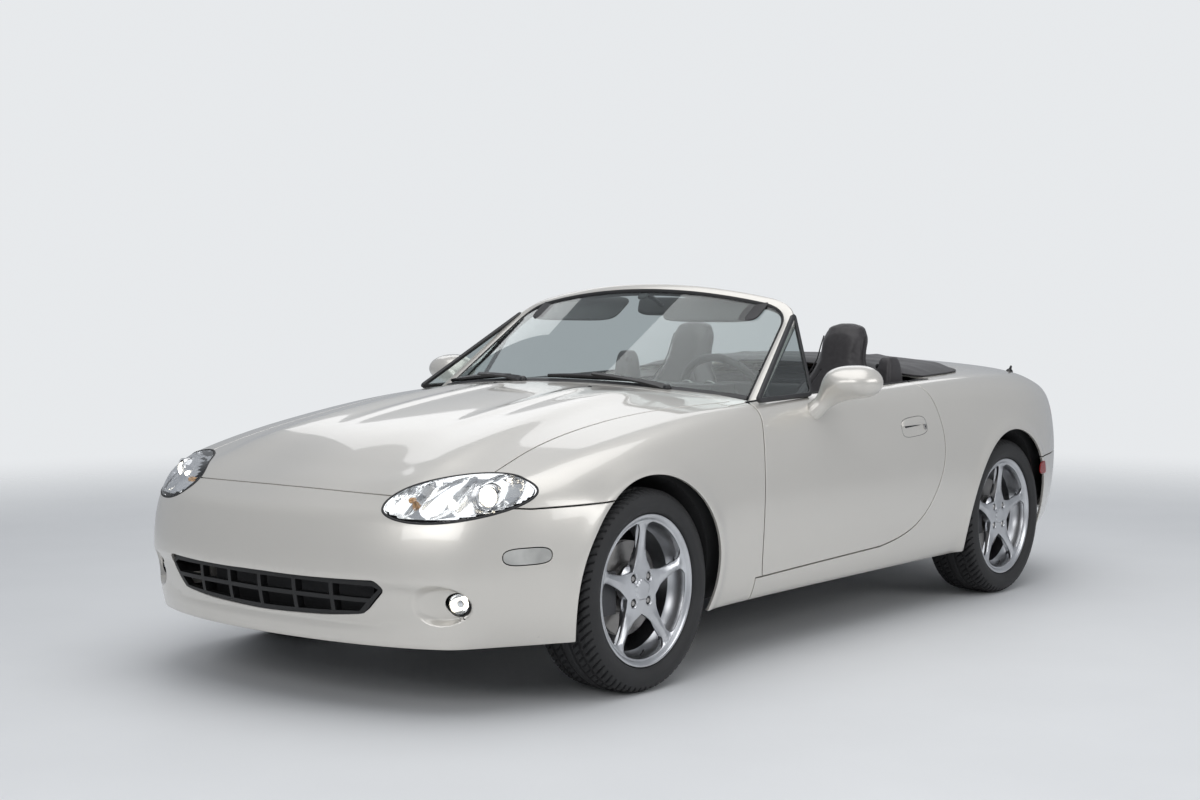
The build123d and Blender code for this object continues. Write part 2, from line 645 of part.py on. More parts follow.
    # Quarter panel: body side behind the door, sill under it and rear corner.
    quarter = shell & box(SEAM / 2, FAR, ROCKER_SEAM_Y, FAR, -100.0, 1500.0)
    quarter = quarter - door_prism(DOOR_SHUT, 600.0) - rear_arch - trunk_zone(SHUT) - tails
    quarter = quarter - seam_zone
    quarter = quarter - box(0, DOOR_INNER_X, -FAR, CABIN_TOP_REAR_Y, -100.0, 1500.0)
    quarter = quarter - box(0, DOOR_INNER_X, -FAR, FAR, -100.0, 400.0)
    quarter = quarter - box(0, TONNEAU_X + SEAM, 400.0, TRUNK_FRONT_Y, 600.0, 1500.0)
    sill_top = box(0, FAR, -FAR, 0, DOOR_FRONT[0][1] - DOOR_SHUT - 0.5, 1500.0)
    quarter = quarter - (sill_top & box(0, FAR, -FAR, -560.0, -100.0, 1500.0))
    export(quarter, "quarter_left")
    export(mirror(quarter, about=Plane.YZ), "quarter_right")

    # Door: thin skin at its edges, full depth inside them.
    rim = body_form(DOOR_SKIN) - door_prism(-DOOR_RIM, 0.0)
    door = (outer & door_prism(0.0, DOOR_INNER_X)) - body_form(DOOR_THICK) - rim
    grip = box(700.0, FAR, 241.0, 421.0, 650.0, 718.0)
    pocket = outer - body_form(16.0)
    door = door - (pocket & grip)
    flap = (body_form(3.0) - body_form(17.0)) & box(700.0, FAR, 262.0, 400.0, 672.0, 716.0)
    door = door + flap
    brackets = []
    hinge_pockets = []
    for z in DOOR_HINGES_Z:
        arm, hole, bracket, pocket = door_hinge_parts(z)
        door = (door + arm) - hole
        brackets.append(bracket)
        hinge_pockets.append(pocket)
    export(door, "door_left")
    export(mirror(door, about=Plane.YZ), "door_right")

    # Lamps.
    lens = (outer - body_form(LENS)) & lamp_zone(-2.0)
    export(pair(whole(lens)), "headlamp_lenses")
    housing = (body_form(LENS + SEAM) - body_form(LAMP_DEPTH)) & lamp_zone(-2.0)
    export(pair(whole(housing)), "headlamps")
    tail = shell & tail_lamp_zone(-SEAM)
    export(pair(whole(tail)), "tail_lamps")
    plate = (body_form(24.0) - body_form(PANEL)) & fog_zone(-SEAM)
    fog_lens = Pos(FOG_LENS_X, FOG_LENS_Y, FOG_Z) * Rot(90, 0, 0) * Cylinder(FOG_LENS_R, FOG_LENS_DEEP)
    fog = whole(plate) + fog_lens
    export(pair(fog), "fog_lamps")
    bars = box(-FAR, FAR, -FAR, 0, INTAKE_BAR_Z - 6.0, INTAKE_BAR_Z + 6.0)
    for x in (-270.0, -135.0, 0.0, 135.0, 270.0):
        bars = bars + box(x - 7.0, x + 7.0, -FAR, 0, 0, 1000.0)
    grille = (body_form(16.0) - body_form(PANEL)) & intake_zone(-SEAM)
    ring = grille - intake_zone(-14.0)
    export(ring + (grille & bars), "intake_grille")

    # Tub: everything structural inside the panels.
    tub = tub_form - both_arches
    tub = tub - box(-BAY_X, BAY_X, BAY_FRONT_Y, BAY_REAR_Y, 230.0, 1500.0)
    tub = tub - box(-BAY_X, BAY_X, -1700.0, BAY_REAR_Y, 0, 231.0)
    tub = tub - box(-HOOD_REAR_X - 10.0, HOOD_REAR_X + 10.0, -FAR, HOOD_CORNER_Y + 8.0, BAY_SHELF_Z, 1500.0)
    tub = tub - box(-HOOD_MID_X, HOOD_MID_X, -FAR, -1560.0, 500.0, 1500.0) - lamps_wide - fogs
    tub = tub - intake_zone(5.0)
    tub = tub - box(-CABIN_X, CABIN_X, CABIN_FRONT_Y, CABIN_REAR_Y, FLOOR_Z, 1500.0)
    tub = tub - box(-CABIN_X, CABIN_X, CABIN_FRONT_Y, CABIN_TOP_REAR_Y, 600.0, 1500.0)
    gap = door_prism(DOOR_SHUT, CABIN_X) & box(DOOR_INNER_X - 6.0, FAR, -FAR, FAR, 0, 1500.0)
    entry = door_prism(-30.0, CABIN_X - 1.0) & box(0, FAR, -FAR, FAR, SILL_Z, 1500.0)
    tub = tub - gap - mirror(gap, about=Plane.YZ) - entry - mirror(entry, about=Plane.YZ)
    tunnel = box(-TUNNEL_X, TUNNEL_X, BAY_REAR_Y, CABIN_REAR_Y + 1.0, FLOOR_Z - 16.0, TUNNEL_Z)
    tub = tub + (tunnel & box(-FAR, FAR, CABIN_FRONT_Y - 1.0, FAR, 0, 1500.0))
    inner_x = TUNNEL_X - TUNNEL_WALL
    tub = tub - box(-inner_x, inner_x, BAY_REAR_Y - 1.0, 900.0, 0, TUNNEL_Z - TUNNEL_WALL)
    tub = tub - box(-REAR_WELL_X - 1, REAR_WELL_X + 1, 850.0, 1290.0, 0, REAR_BAY_Z)
    tub = tub - box(-TRUNK_WELL_X, TRUNK_WELL_X, 1150.0, 1860.0, TRUNK_WELL_Z, 1500.0)
    tub = tub - box(-TRUNK_X - 12.0, TRUNK_X + 12.0, TRUNK_FRONT_Y - 6.0, FAR, 790.0, 1500.0)
    gutter_y = TRUNK_HINGE_Y + 60.0
    tub = tub - box(-TRUNK_X - 12.0, TRUNK_X + 12.0, TRUNK_FRONT_Y - 6.0, gutter_y, TRUNK_GUTTER_Z, 1500.0)
    cover_z = TONNEAU_FLOOR_Z
    tub = tub - box(-TONNEAU_X - 1.0, TONNEAU_X + 1.0, CABIN_TOP_REAR_Y - 1.0, DECK_FRONT_Y - 1.0, cover_z, 1500.0)
    window = box(BAY_X - 20.0, FRONT_WELL_X + 5.0, FRONT_AXLE_Y - 135.0, FRONT_AXLE_Y + 135.0, 0, 440.0)
    tub = tub - window - mirror(window, about=Plane.YZ)
    for bracket, pocket in zip(brackets, hinge_pockets):
        tub = tub - pocket - mirror(pocket, about=Plane.YZ)
        tub = tub + bracket + mirror(bracket, about=Plane.YZ)
    for cheek in (hood_cheek, trunk_cheek):
        tub = tub + cheek + mirror(cheek, about=Plane.YZ)
    export(tub, "body_tub")

    # Folded roof under its cover.
    cover = (body_form(-TONNEAU_RISE) - body_form(60.0))
    cover_base = TONNEAU_FLOOR_Z + SEAM
    cover = cover & box(-TONNEAU_X + 2.0, TONNEAU_X - 2.0, TONNEAU_FRONT_Y, DECK_FRONT_Y - 1.5, cover_base, 1500.0)
    export(cover, "tonneau_cover")
    return outer


def build_screen(skin):
    """Windscreen frame and glass, visors, mirror and wipers."""
    above = box(-FAR, FAR, -FAR, FAR, 600.0, 1500.0)
    frame = screen_block(0.0, 0.0, -SCREEN_LENGTH) - screen_block(-SCREEN_BAR, -SCREEN_BAR, -SCREEN_LENGTH - 50.0)
    frame = ((frame & screen_slab(0.0, SCREEN_DEPTH)) & above) - skin
    export(frame, "windscreen_frame")
    pane = screen_block(-SCREEN_BAR - SEAM, -SCREEN_BAR - SEAM, -SCREEN_LENGTH - 50.0)
    pane = ((pane & screen_slab(GLASS_IN, GLASS_IN + GLASS_THICK)) & above) - skin
    export(pane, "windscreen_glass")
    place = screen_plane().location
    visor = place * Pos(300.0, -70.0, -40.0) * Box(400.0, 150.0, 400.0)
    visor = visor & screen_slab(SCREEN_DEPTH + SEAM, SCREEN_DEPTH + 14.0)
    export(pair(whole(visor)), "sun_visors")
    glass = Pos(0, -30.0, 1098.0) * Rot(-15, 0, 0) * Box(230.0, 26.0, 64.0)
    stalk = rod((0, -44.0, 1105.0), (0, -118.0, 1142.0), 8.0)
    export((glass + stalk) - screen_slab(-60.0, SCREEN_DEPTH + SEAM), "interior_mirror")
    blades = []
    for x, length in ((-190.0, 480.0), (330.0, 520.0)):
        blade = place * Pos(x, -548.0, 0) * Rot(0, 0, 4) * Box(length, 16.0, 500.0)
        blade = blade & screen_slab(-16.0, GLASS_IN - SEAM)
        blades.append((whole(blade) & above) - skin)
    export(blades, "wipers")


def build_vents(skin):
    """Vent windows at the front of the doors, and the door mirrors."""
    tilt = 28.0
    base = (731.0, -270.0, 812.0)
    points = [(0, -464.0, 790.0), (0, -270.0, 790.0), (0, -270.0, 947.0)]
    prism = side_prism(ring_of(points), 400.0, 900.0)
    slab = Pos(base[0], 0, base[2]) * Rot(0, -tilt, 0) * Box(12.0, 4000.0, 700.0)
    vent = (prism & slab) - skin
    export(vent, "vent_window_left")
    export(mirror(vent, about=Plane.YZ), "vent_window_right")
    rings = []
    for y, a, b in MIRROR_RINGS:
        rings.append(Pos(MIRROR_X, y, MIRROR_Z) * Rot(90, 0, 0) * Ellipse(a, b))
    head = loft(rings)
    neck = rod((780.0, -282.0, 768.0), (832.0, -236.0, 838.0), 22.0)
    arm = (head + neck) - skin
    export(arm, "mirror_left")
    export(mirror(arm, about=Plane.YZ), "mirror_right")


# ---- interior ----

def build_interior():
    dash_side = [
        (0, -559.7, 470.0), (0, -559.7, 738.0), (0, -500.0, 758.0), (0, -440.0, 795.0), (0, -350.0, 788.0),
        (0, -318.0, 725.0), (0, -350.0, 600.0), (0, -440.0, 470.0),
    ]
    x = CABIN_X - SEAM
    dash = side_prism(ring_of(dash_side), -x, x)
    tilt = math.radians(COLUMN_TILT)
    axis = (0.0, math.cos(tilt), math.sin(tilt))

    def along(distance):
        return (WHEEL_X, WHEEL_Y + distance * axis[1], WHEEL_Z + distance * axis[2])

    column = rod(along(-250.0), along(-35.0 - SEAM), 38.0)
    hood = Pos(WHEEL_X, -380.0, 812.0) * Box(300.0, 130.0, 60.0)
    export(dash + column + hood, "dashboard")
    console = box(-95.0, 95.0, -400.0, 470.0, TUNNEL_Z + SEAM, 520.0)
    gear = rod((0, -60.0, 515.0), (0, -70.0, 610.0), 9.0) + Pos(0, -72.0, 625.0) * Sphere(26.0)
    brake = Pos(-60.0, 110.0, 548.0) * Rot(-8, 0, 0) * Box(30.0, 230.0, 60.0)
    tower = box(565.0, CABIN_X - SEAM, 460.0, 596.0, 600.0 + SEAM, 915.0)
    tower = fillet(tower.edges().group_by(Axis.Z)[-1], 24.0)
    export([console + gear + brake] + pair(tower), "interior_trim")
    place = Plane(origin=(WHEEL_X, WHEEL_Y, WHEEL_Z), x_dir=(1, 0, 0), z_dir=axis).location
    grip = Torus(WHEEL_GRIP_R - WHEEL_RIM_R, WHEEL_RIM_R)
    hub = Pos(0, 0, -12.0) * Cylinder(52.0, 46.0)
    spokes = Pos(0, 0, -8.0) * Box(2 * WHEEL_GRIP_R - 30.0, 40.0, 16.0)
    spokes = spokes + Pos(0, -90.0, -8.0) * Box(44.0, 160.0, 16.0)
    export(place * (grip + hub + spokes), "steering_wheel")

    seat_side = [
        (0, -60.0, 262.0), (0, -95.0, 380.0), (0, -60.0, 412.0), (0, 340.0, 372.0), (0, 408.0, 420.0),
        (0, 596.0, 1000.0), (0, 625.0, 1040.0), (0, 672.0, 1036.0), (0, 690.0, 985.0), (0, 636.0, 800.0),
        (0, 520.0, 400.0), (0, 490.0, 262.0),
    ]
    x0 = SEAT_X - SEAT_HALF
    x1 = SEAT_X + SEAT_HALF
    seat = side_prism(ring_of(seat_side), x0, x1)
    for side in (-1, 1):
        edge = SEAT_X + side * SEAT_HALF
        seat = seat - Pos(edge, 640.0, 960.0) * Rot(0, -side * 14, 0) * Box(190.0, 400.0, 330.0)
    for side in (-1, 1):
        edge = SEAT_X + side * (SEAT_HALF - 35.0)
        bolster = [(0, -40.0, 400.0), (0, 330.0, 360.0), (0, 400.0, 430.0), (0, 505.0, 780.0), (0, 480.0, 790.0),
                   (0, 350.0, 470.0), (0, 290.0, 440.0), (0, -30.0, 440.0)]
        seat = seat + side_prism(ring_of(bolster), edge - 34.9, edge + 34.9)
    rails = box(x0 + 40.0, x1 - 40.0, 0.0, 440.0, FLOOR_Z + SEAM, 263.0)
    seat = seat + rails
    export(seat, "seat_left")
    export(mirror(seat, about=Plane.YZ), "seat_right")


# ---- running gear ----

def build_running_gear():
    engine = box(-190.0, 190.0, -1480.0, -930.0, 330.0, 680.0)
    gearbox = box(-95.0, 95.0, -931.0, -330.0, 215.0, 385.0)
    shaft = rod((0, -331.0, 300.0), (0, 961.0, 300.0), 35.0)
    final = box(-100.0, 100.0, 960.0, 1180.0, 210.0, 370.0)
    export(engine + gearbox + shaft + final, "drivetrain")
    export(box(-330.0, 330.0, -1830.0, -1790.0, 230.0 + SEAM, 520.0), "radiator")
    front = box(-340.0, 340.0, -1320.0, -1060.0, 196.0, 236.0)
    mounts = box(-170.0, -130.0, -1240.0, -1140.0, 235.0, 329.7) + box(130.0, 170.0, -1240.0, -1140.0, 235.0, 329.7)
    side = box(339.0, BAY_X - SEAM, -1320.0, -1060.0, 180.0, 236.0)
    rails = side + mirror(side, about=Plane.YZ)
    rear = box(-340.0, 340.0, 940.0, 1230.0, 170.0, 209.7)
    struts = box(-340.0, -280.0, 900.0, 1250.0, 170.0, REAR_BAY_Z - SEAM)
    struts = struts + box(280.0, 340.0, 900.0, 1250.0, 170.0, REAR_BAY_Z - SEAM)
    struts = struts - box(-FAR, FAR, 1000.0, 1136.0, 240.0, 360.0)
    export([front + mounts + rails, rear + struts], "subframes")

    pipe = rod((PIPE_X, -1050.0, PIPE_Z), (PIPE_X, 700.0, PIPE_Z), 22.0)
    pipe = pipe + rod((PIPE_X, 690.0, PIPE_Z), (PIPE_X, 900.0, 140.0), 22.0)
    pipe = pipe + rod((PIPE_X, 890.0, 141.0), (300.0, 1262.0, 141.0), 22.0)
    pipe = pipe + rod((299.0, 1258.0, 141.0), (330.0, 1340.0, MUFFLER_Z), 22.0)
    box_can = Pos(330.0, 1480.0, MUFFLER_Z) * Rot(90, 0, 0) * Cylinder(MUFFLER_R, 320.0)
    tip = rod((360.0, 1600.0, MUFFLER_Z), (400.0, 1900.0, 204.0), 26.0)
    hanger = box(190.0, 200.0, 1010.0, 1030.0, 150.0, 169.7)
    pipe = pipe + hanger
    export(pipe + box_can + tip, "exhaust")


# ---- wheels, hubs and suspension ----

def wheel_parts():
    """Alloy wheel with its disc, and its tyre, centred on the origin with the outer face towards +X."""
    half = RIM_WIDTH / 2
    lip = RIM_LIP_R
    seat = RIM_SEAT_R
    wall = RIM_WALL
    rim = turned([
        (half, lip - 12.0), (half, lip), (half - 10.0, lip), (half - 14.0, seat), (half - 45.0, seat),
        (half - 60.0, seat - 14.0), (-half + 40.0, seat - 14.0), (-half + 24.0, seat), (-half + 14.0, seat),
        (-half + 10.0, lip), (-half, lip), (-half, lip - 12.0), (-half + 8.0, seat - wall),
        (-half + 30.0, seat - wall - 4.0), (-half + 46.0, seat - 14.0 - wall), (half - 62.0, seat - 14.0 - wall),
        (half - 46.0, seat - wall - 4.0), (half - 14.0, seat - wall),
    ])
    face = half - 12.0
    hub = turned([
        (face - SPOKE_DEPTH - 14.0, 30.0), (face - SPOKE_DEPTH - 14.0, HUB_R), (face - 12.0, HUB_R),
        (face - 6.0, 34.0), (face - 6.0, 30.0),
    ])
    cap = turned([(face - 40.0, 0.0), (face - 40.0, 30.0), (face - 8.0, 30.0), (face - 2.0, 22.0), (face - 1.0, 0.0)])
    wheel = rim + hub + cap
    for k in range(SPOKES):
        root = [(SPOKE_ROOT / 2, 52.0), (SPOKE_TIP / 2, seat - 8.0), (-SPOKE_TIP / 2, seat - 8.0), (-SPOKE_ROOT / 2, 52.0)]
        front = Plane(origin=(face - SPOKE_DEPTH - 2.0, 0, 0), x_dir=(0, 1, 0), z_dir=(1, 0, 0))
        blade = extrude(front.location * make_face(Polyline(*root, close=True)), SPOKE_DEPTH, dir=(1, 0, 0))
        slope = Pos(face + 6.0, 0, 130.0) * Rot(0, -5, 0) * Box(20.0, 200.0, 300.0)
        wheel = wheel + Rot(360.0 * k / SPOKES, 0, 0) * (blade - slope)
    for k in range(LUGS):
        turn = Rot(45.0 + 360.0 * k / LUGS, 0, 0)
        wheel = wheel - turn * Pos(face, 0, LUG_CIRCLE_R) * Rot(0, 90, 0) * Cylinder(LUG_R + 3.5, 36.0)
        wheel = wheel + turn * Pos(face - 22.0, 0, LUG_CIRCLE_R) * Rot(0, 90, 0) * Cylinder(LUG_R, 14.0)
    bell_x = face - SPOKE_DEPTH - 14.0
    disc = turned([
        (bell_x - 4.0, 20.0), (bell_x - 4.0, 74.0), (DISC_IN, 74.0), (DISC_IN, DISC_R), (DISC_IN - DISC_THICK, DISC_R),
        (DISC_IN - DISC_THICK, 62.0), (bell_x - 16.0, 62.0), (bell_x - 16.0, 20.0),
    ])
    stub = turned([(-60.0, 0.0), (-60.0, HUB_STUB_R), (bell_x + 10.0, HUB_STUB_R), (bell_x + 10.0, 0.0)])
    wheel = wheel + turned([(bell_x - 12.0, 0.0), (bell_x - 12.0, 60.0), (bell_x + 2.0, 60.0), (bell_x + 2.0, 0.0)])
    wheel = wheel + disc + stub
    w = TYRE_WIDTH / 2
    gap = SEAM
    tyre = turned([
        (half - 14.5, seat + gap), (half - 10.6, lip + gap), (half - 1.0, lip + gap + 0.5), (half + 6.0, lip + 8.0),
        (w - 1.0, 252.0), (w - 4.0, 272.0), (w - 16.0, 287.0), (w - 32.0, TYRE_R - 2.0), (0.0, TYRE_R),
        (-w + 32.0, TYRE_R - 2.0), (-w + 16.0, 287.0), (-w + 4.0, 272.0), (-w + 1.0, 252.0), (-half - 6.0, lip + 8.0),
        (-half + 1.0, lip + gap + 0.5), (-half + 10.6, lip + gap), (-half + 14.5, seat + gap),
        (-half + 30.0, seat + gap), (-half + 24.0, seat + 12.0), (-w + 12.0, 250.0), (-w + 24.0, 276.0),
        (w - 24.0, 276.0), (w - 12.0, 250.0), (half - 24.0, seat + 12.0), (half - 30.0, seat + gap),
    ])
    return wheel, tyre


def build_wheels():
    wheel, tyre = wheel_parts()
    inner = TRACK_REAR / 2 - 106.0
    shaft = rod((-inner, 0, 0), (-59.0, 0, 0), 15.0)
    for end, y, track in (("front", FRONT_AXLE_Y, TRACK_FRONT), ("rear", REAR_AXLE_Y, TRACK_REAR)):
        place = Pos(track / 2, y, AXLE_Z)
        full = wheel + shaft if end == "rear" else wheel
        for side in ("left", "right"):
            shapes = (place * full, place * tyre)
            if side == "right":
                shapes = [mirror(s, about=Plane.YZ) for s in shapes]
            export(shapes[0], f"wheel_{end}_{side}")
            export(shapes[1], f"tyre_{end}_{side}")


def caliper():
    """Brake caliper over the front edge of the disc, in wheel coordinates."""
    block = box(DISC_IN - DISC_THICK - 30.0, DISC_IN + 26.0, -172.0, -84.0, -62.0, 62.0)
    slot = box(DISC_IN - DISC_THICK - 6.0, DISC_IN + 6.0, -200.0, 0.0, -200.0, 200.0)
    slot = slot & (Rot(0, 90, 0) * Cylinder(DISC_R + 6.0, 200.0))
    trim = Rot(0, 90, 0) * Cylinder(176.0, 400.0)
    return (block & trim) - slot


def upright():
    """Hub carrier with its bearing, kingpin holes and caliper, in wheel coordinates."""
    bore = HUB_STUB_R + SEAM
    hub_hole = turned([(-90.0, 0.0), (-90.0, bore), (0.0, bore), (0.0, 0.0)])
    ring = turned([(-62.0, 10.0), (-62.0, 50.0), (-18.0, 50.0), (-18.0, 10.0)])
    post = box(-62.0, -26.0, -30.0, 30.0, POST_LOW, POST_HIGH)
    bridge = box(-62.0, DISC_IN - DISC_THICK - 8.0, -172.0, -20.0, -24.0, 24.0)
    low_hole = Pos(-KINGPIN_IN, 0, POST_LOW + 20.0) * Cylinder(KINGPIN_R + SEAM, 42.0)
    high_hole = Pos(-KINGPIN_IN, 0, POST_HIGH - 15.0) * Cylinder(KINGPIN_R + SEAM, 32.0)
    return (ring + post + bridge) - hub_hole - low_hole - high_hole + caliper()


def front_arms():
    """Left front arms with their kingpin studs, and the damper."""
    y = FRONT_AXLE_Y
    x = STEER_X
    low_z = AXLE_Z + POST_LOW
    high_z = AXLE_Z + POST_HIGH
    low = rod((380.0, y - 105.0, 205.0), (x, y, low_z - 20.0), 11.0) + rod((380.0, y + 105.0, 205.0), (x, y, low_z - 20.0), 11.0)
    low = low + rod((520.0, y - 62.0, 183.0), (520.0, y + 62.0, 183.0), 9.0)
    low = low & box(BAY_X, FAR, -FAR, 0, 0, 600.0)
    low = low + Pos(x, y, low_z - 18.0) * Cylinder(20.0, 35.4)
    low = low + Pos(x, y, low_z + 6.0) * Cylinder(KINGPIN_R, 58.0)
    damper = rod((520.0, y, 178.0), (470.0, y, 660.0), 22.0)
    well = Pos(0, y, AXLE_Z + ARCH_RISE) * Rot(0, 90, 0) * Cylinder(ARCH_R - SEAM, 4000.0)
    high = rod((400.0, y - 90.0, 484.0), (x, y, high_z + 14.0), 9.0) + rod((400.0, y + 90.0, 484.0), (x, y, high_z + 14.0), 9.0)
    high = high & box(FRONT_WELL_X + SEAM, FAR, -FAR, 0, 0, 600.0)
    high = high + Pos(x, y, high_z + 12.0) * Cylinder(18.0, 23.4)
    high = high + Pos(x, y, high_z - 4.0) * Cylinder(KINGPIN_R, 42.0)
    return [low + (damper & well), high]


def rear_arms(carrier):
    """Left rear hub carrier with its arms and damper, all in one piece."""
    y = REAR_AXLE_Y
    x = TRACK_REAR / 2 - KINGPIN_IN
    low_z = AXLE_Z + POST_LOW
    high_z = AXLE_Z + POST_HIGH
    arms = rod((300.0, y - 105.0, 192.0), (x, y, low_z - 8.0), 12.0) + rod((300.0, y + 105.0, 192.0), (x, y, low_z - 8.0), 12.0)
    arms = arms + rod((300.0, y, 440.0), (x, y, high_z + 4.0), 11.0)
    arms = arms + rod((500.0, y - 60.0, 182.0), (500.0, y + 60.0, 182.0), 9.0)
    damper = rod((500.0, y + 40.0, 182.0), (490.0, y + 40.0, 500.0), 22.0)
    arms = (arms + damper) & box(340.0 + SEAM, FAR, 0, FAR, 0, REAR_BAY_Z - SEAM)
    arms = arms + Pos(x, y, low_z - 4.0) * Box(36.0, 60.0, 24.0)
    arms = arms + Pos(x, y, high_z + 4.0) * Box(36.0, 60.0, 24.0)
    return arms + Pos(TRACK_REAR / 2, y, AXLE_Z) * carrier


def build_suspension():
    carrier = upright()
    front = Pos(TRACK_FRONT / 2, FRONT_AXLE_Y, AXLE_Z) * carrier
    export(front, "front_knuckle_left")
    export(mirror(front, about=Plane.YZ), "front_knuckle_right")
    solids = []
    for arm in front_arms() + [rear_arms(carrier)]:
        solids = solids + pair(arm)
    export(solids, "suspension_arms")


if __name__ == "__main__":
    skin = build_panels()
    build_screen(skin)
    build_vents(skin)
    build_interior()
    build_running_gear()
    build_wheels()
    build_suspension()
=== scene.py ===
import bmesh
import bpy
import math
import numpy as np
from mathutils import Euler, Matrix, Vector
from mathutils.geometry import delaunay_2d_cdt


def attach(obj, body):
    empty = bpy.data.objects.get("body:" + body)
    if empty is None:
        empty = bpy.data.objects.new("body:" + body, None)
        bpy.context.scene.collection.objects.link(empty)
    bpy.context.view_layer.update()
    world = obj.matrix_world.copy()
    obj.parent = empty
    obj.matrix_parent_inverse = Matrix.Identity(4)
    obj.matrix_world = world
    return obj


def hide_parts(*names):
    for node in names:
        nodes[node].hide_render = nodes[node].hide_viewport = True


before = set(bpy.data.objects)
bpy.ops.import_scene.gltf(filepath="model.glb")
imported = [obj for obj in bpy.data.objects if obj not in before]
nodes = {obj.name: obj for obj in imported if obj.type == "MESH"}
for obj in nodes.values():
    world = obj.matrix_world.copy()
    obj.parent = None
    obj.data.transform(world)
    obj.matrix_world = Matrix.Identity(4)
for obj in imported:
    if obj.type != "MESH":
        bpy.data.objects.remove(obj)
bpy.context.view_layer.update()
scene = bpy.context.scene
# Mirror flag, name and sign of x of the two sides.
sides = ((False, "left", 1), (True, "right", -1))
print("loaded", len(nodes), "nodes")


def addNode(tree, kind, **inputs):
    # A shader node with some of its inputs set; an underscore stands for a space.
    node = tree.nodes.new("ShaderNode" + kind)
    for key, value in inputs.items():
        node.inputs[key.replace("_", " ")].default_value = value
    return node


# Camera, lights and floor.
camData = bpy.data.cameras.new("view")
camData.lens = 54.74
camData.sensor_width = 36.0
cam = bpy.data.objects.new("view", camData)
cam.location = (3.90499, -5.34427, 1.13995)
cam.rotation_euler = (math.radians(86.70), math.radians(0.0), math.radians(38.37))
scene.collection.objects.link(cam)
scene.camera = cam


# Rectangular lamp at a place, facing its aim.
def areaLight(name, place, aim, size, power, colour=(1.0, 1.0, 1.0)):
    data = bpy.data.lights.new(name, "AREA")
    data.shape = "RECTANGLE"
    data.size, data.size_y = size
    data.energy = power
    data.color = colour
    lamp = bpy.data.objects.new(name, data)
    lamp.location = place
    lamp.rotation_euler = (Vector(aim) - Vector(place)).to_track_quat("-Z", "Y").to_euler()
    scene.collection.objects.link(lamp)
    return lamp


areaLight("key", (0.6, -0.6, 5.2), (0.0, 0.0, 0.4), (5.0, 7.5), 165.0)
areaLight("front", (2.2, -7.0, 3.4), (0.0, -0.6, 0.5), (5.0, 2.4), 110.0)
areaLight("side", (7.0, 0.8, 3.0), (0.3, 0.2, 0.6), (5.0, 2.2), 90.0)
areaLight("back", (-5.0, 6.5, 5.2), (0.0, 0.5, 0.6), (8.0, 3.0), 70.0)

world = bpy.data.worlds.new("studio")
scene.world = world
world.use_nodes = True
worldTree = world.node_tree
worldTree.nodes.clear()
rays = addNode(worldTree, "LightPath")
soft = addNode(worldTree, "Background", Color=(0.90, 0.94, 1.0, 1.0), Strength=0.42)
plain = addNode(worldTree, "Background", Color=(0.87, 0.89, 0.91, 1.0), Strength=0.92)
either = addNode(worldTree, "MixShader")
worldOut = addNode(worldTree, "OutputWorld")
worldTree.links.new(rays.outputs["Is Camera Ray"], either.inputs[0])
worldTree.links.new(soft.outputs[0], either.inputs[1])
worldTree.links.new(plain.outputs[0], either.inputs[2])
worldTree.links.new(either.outputs[0], worldOut.inputs["Surface"])
scene.view_settings.view_transform = "Standard"


# Materials. Each is a Principled shader with its own procedural colour, roughness and bump.
# Principled material with some of its inputs set.
def shader(name, **sockets):
    mat = bpy.data.materials.new(name)
    mat.use_nodes = True
    bsdf = mat.node_tree.nodes["Principled BSDF"]
    for key, value in sockets.items():
        bsdf.inputs[key.replace("_", " ")].default_value = value
    return mat, mat.node_tree, bsdf


def placed(tree, node, stretch):
    # Feeds a texture with Object coordinates scaled by stretch.
    place = addNode(tree, "TexCoord")
    turn = addNode(tree, "Mapping", Scale=stretch)
    tree.links.new(place.outputs["Object"], turn.inputs["Vector"])
    tree.links.new(turn.outputs["Vector"], node.inputs["Vector"])
    return node


# Noise on Object coordinates.
def noiseNode(tree, scale, detail=3.0, stretch=(1.0, 1.0, 1.0)):
    return placed(tree, addNode(tree, "TexNoise", Scale=scale, Detail=detail, Roughness=0.5), stretch)


# Voronoi cells on Object coordinates.
def cellNode(tree, scale, feature="F1"):
    cells = addNode(tree, "TexVoronoi", Scale=scale)
    cells.feature = feature
    return placed(tree, cells, (1.0, 1.0, 1.0))


def rampTo(tree, source, target, stops):
    # Colour ramp through (place, colour) stops, from the source to the target.
    ramp = addNode(tree, "ValToRGB")
    ends = ramp.color_ramp.elements
    for k in (0, -1):
        ends[k].position = stops[k][0]
        ends[k].color = tuple(stops[k][1]) + (1.0,)
    for spot, colour in stops[1:-1]:
        ends.new(spot).color = tuple(colour) + (1.0,)
    tree.links.new(source, ramp.inputs["Fac"])
    tree.links.new(ramp.outputs["Color"], target)


def spread(tree, source, target, low, high):
    # Takes 0..1 to low..high.
    span = addNode(tree, "MapRange", To_Min=low, To_Max=high)
    tree.links.new(source, span.inputs["Value"])
    tree.links.new(span.outputs["Result"], target)


def bumpFrom(tree, source, target, strength, distance):
    # Bump from a height into a Normal input.
    bump = addNode(tree, "Bump", Strength=strength, Distance=distance)
    tree.links.new(source, bump.inputs["Height"])
    tree.links.new(bump.outputs["Normal"], target.inputs["Normal"])
    return bump


def tones(colour, low, high):
    # The colour times low, and times high.
    return tuple(c * low for c in colour), tuple(min(c * high, 1.0) for c in colour)


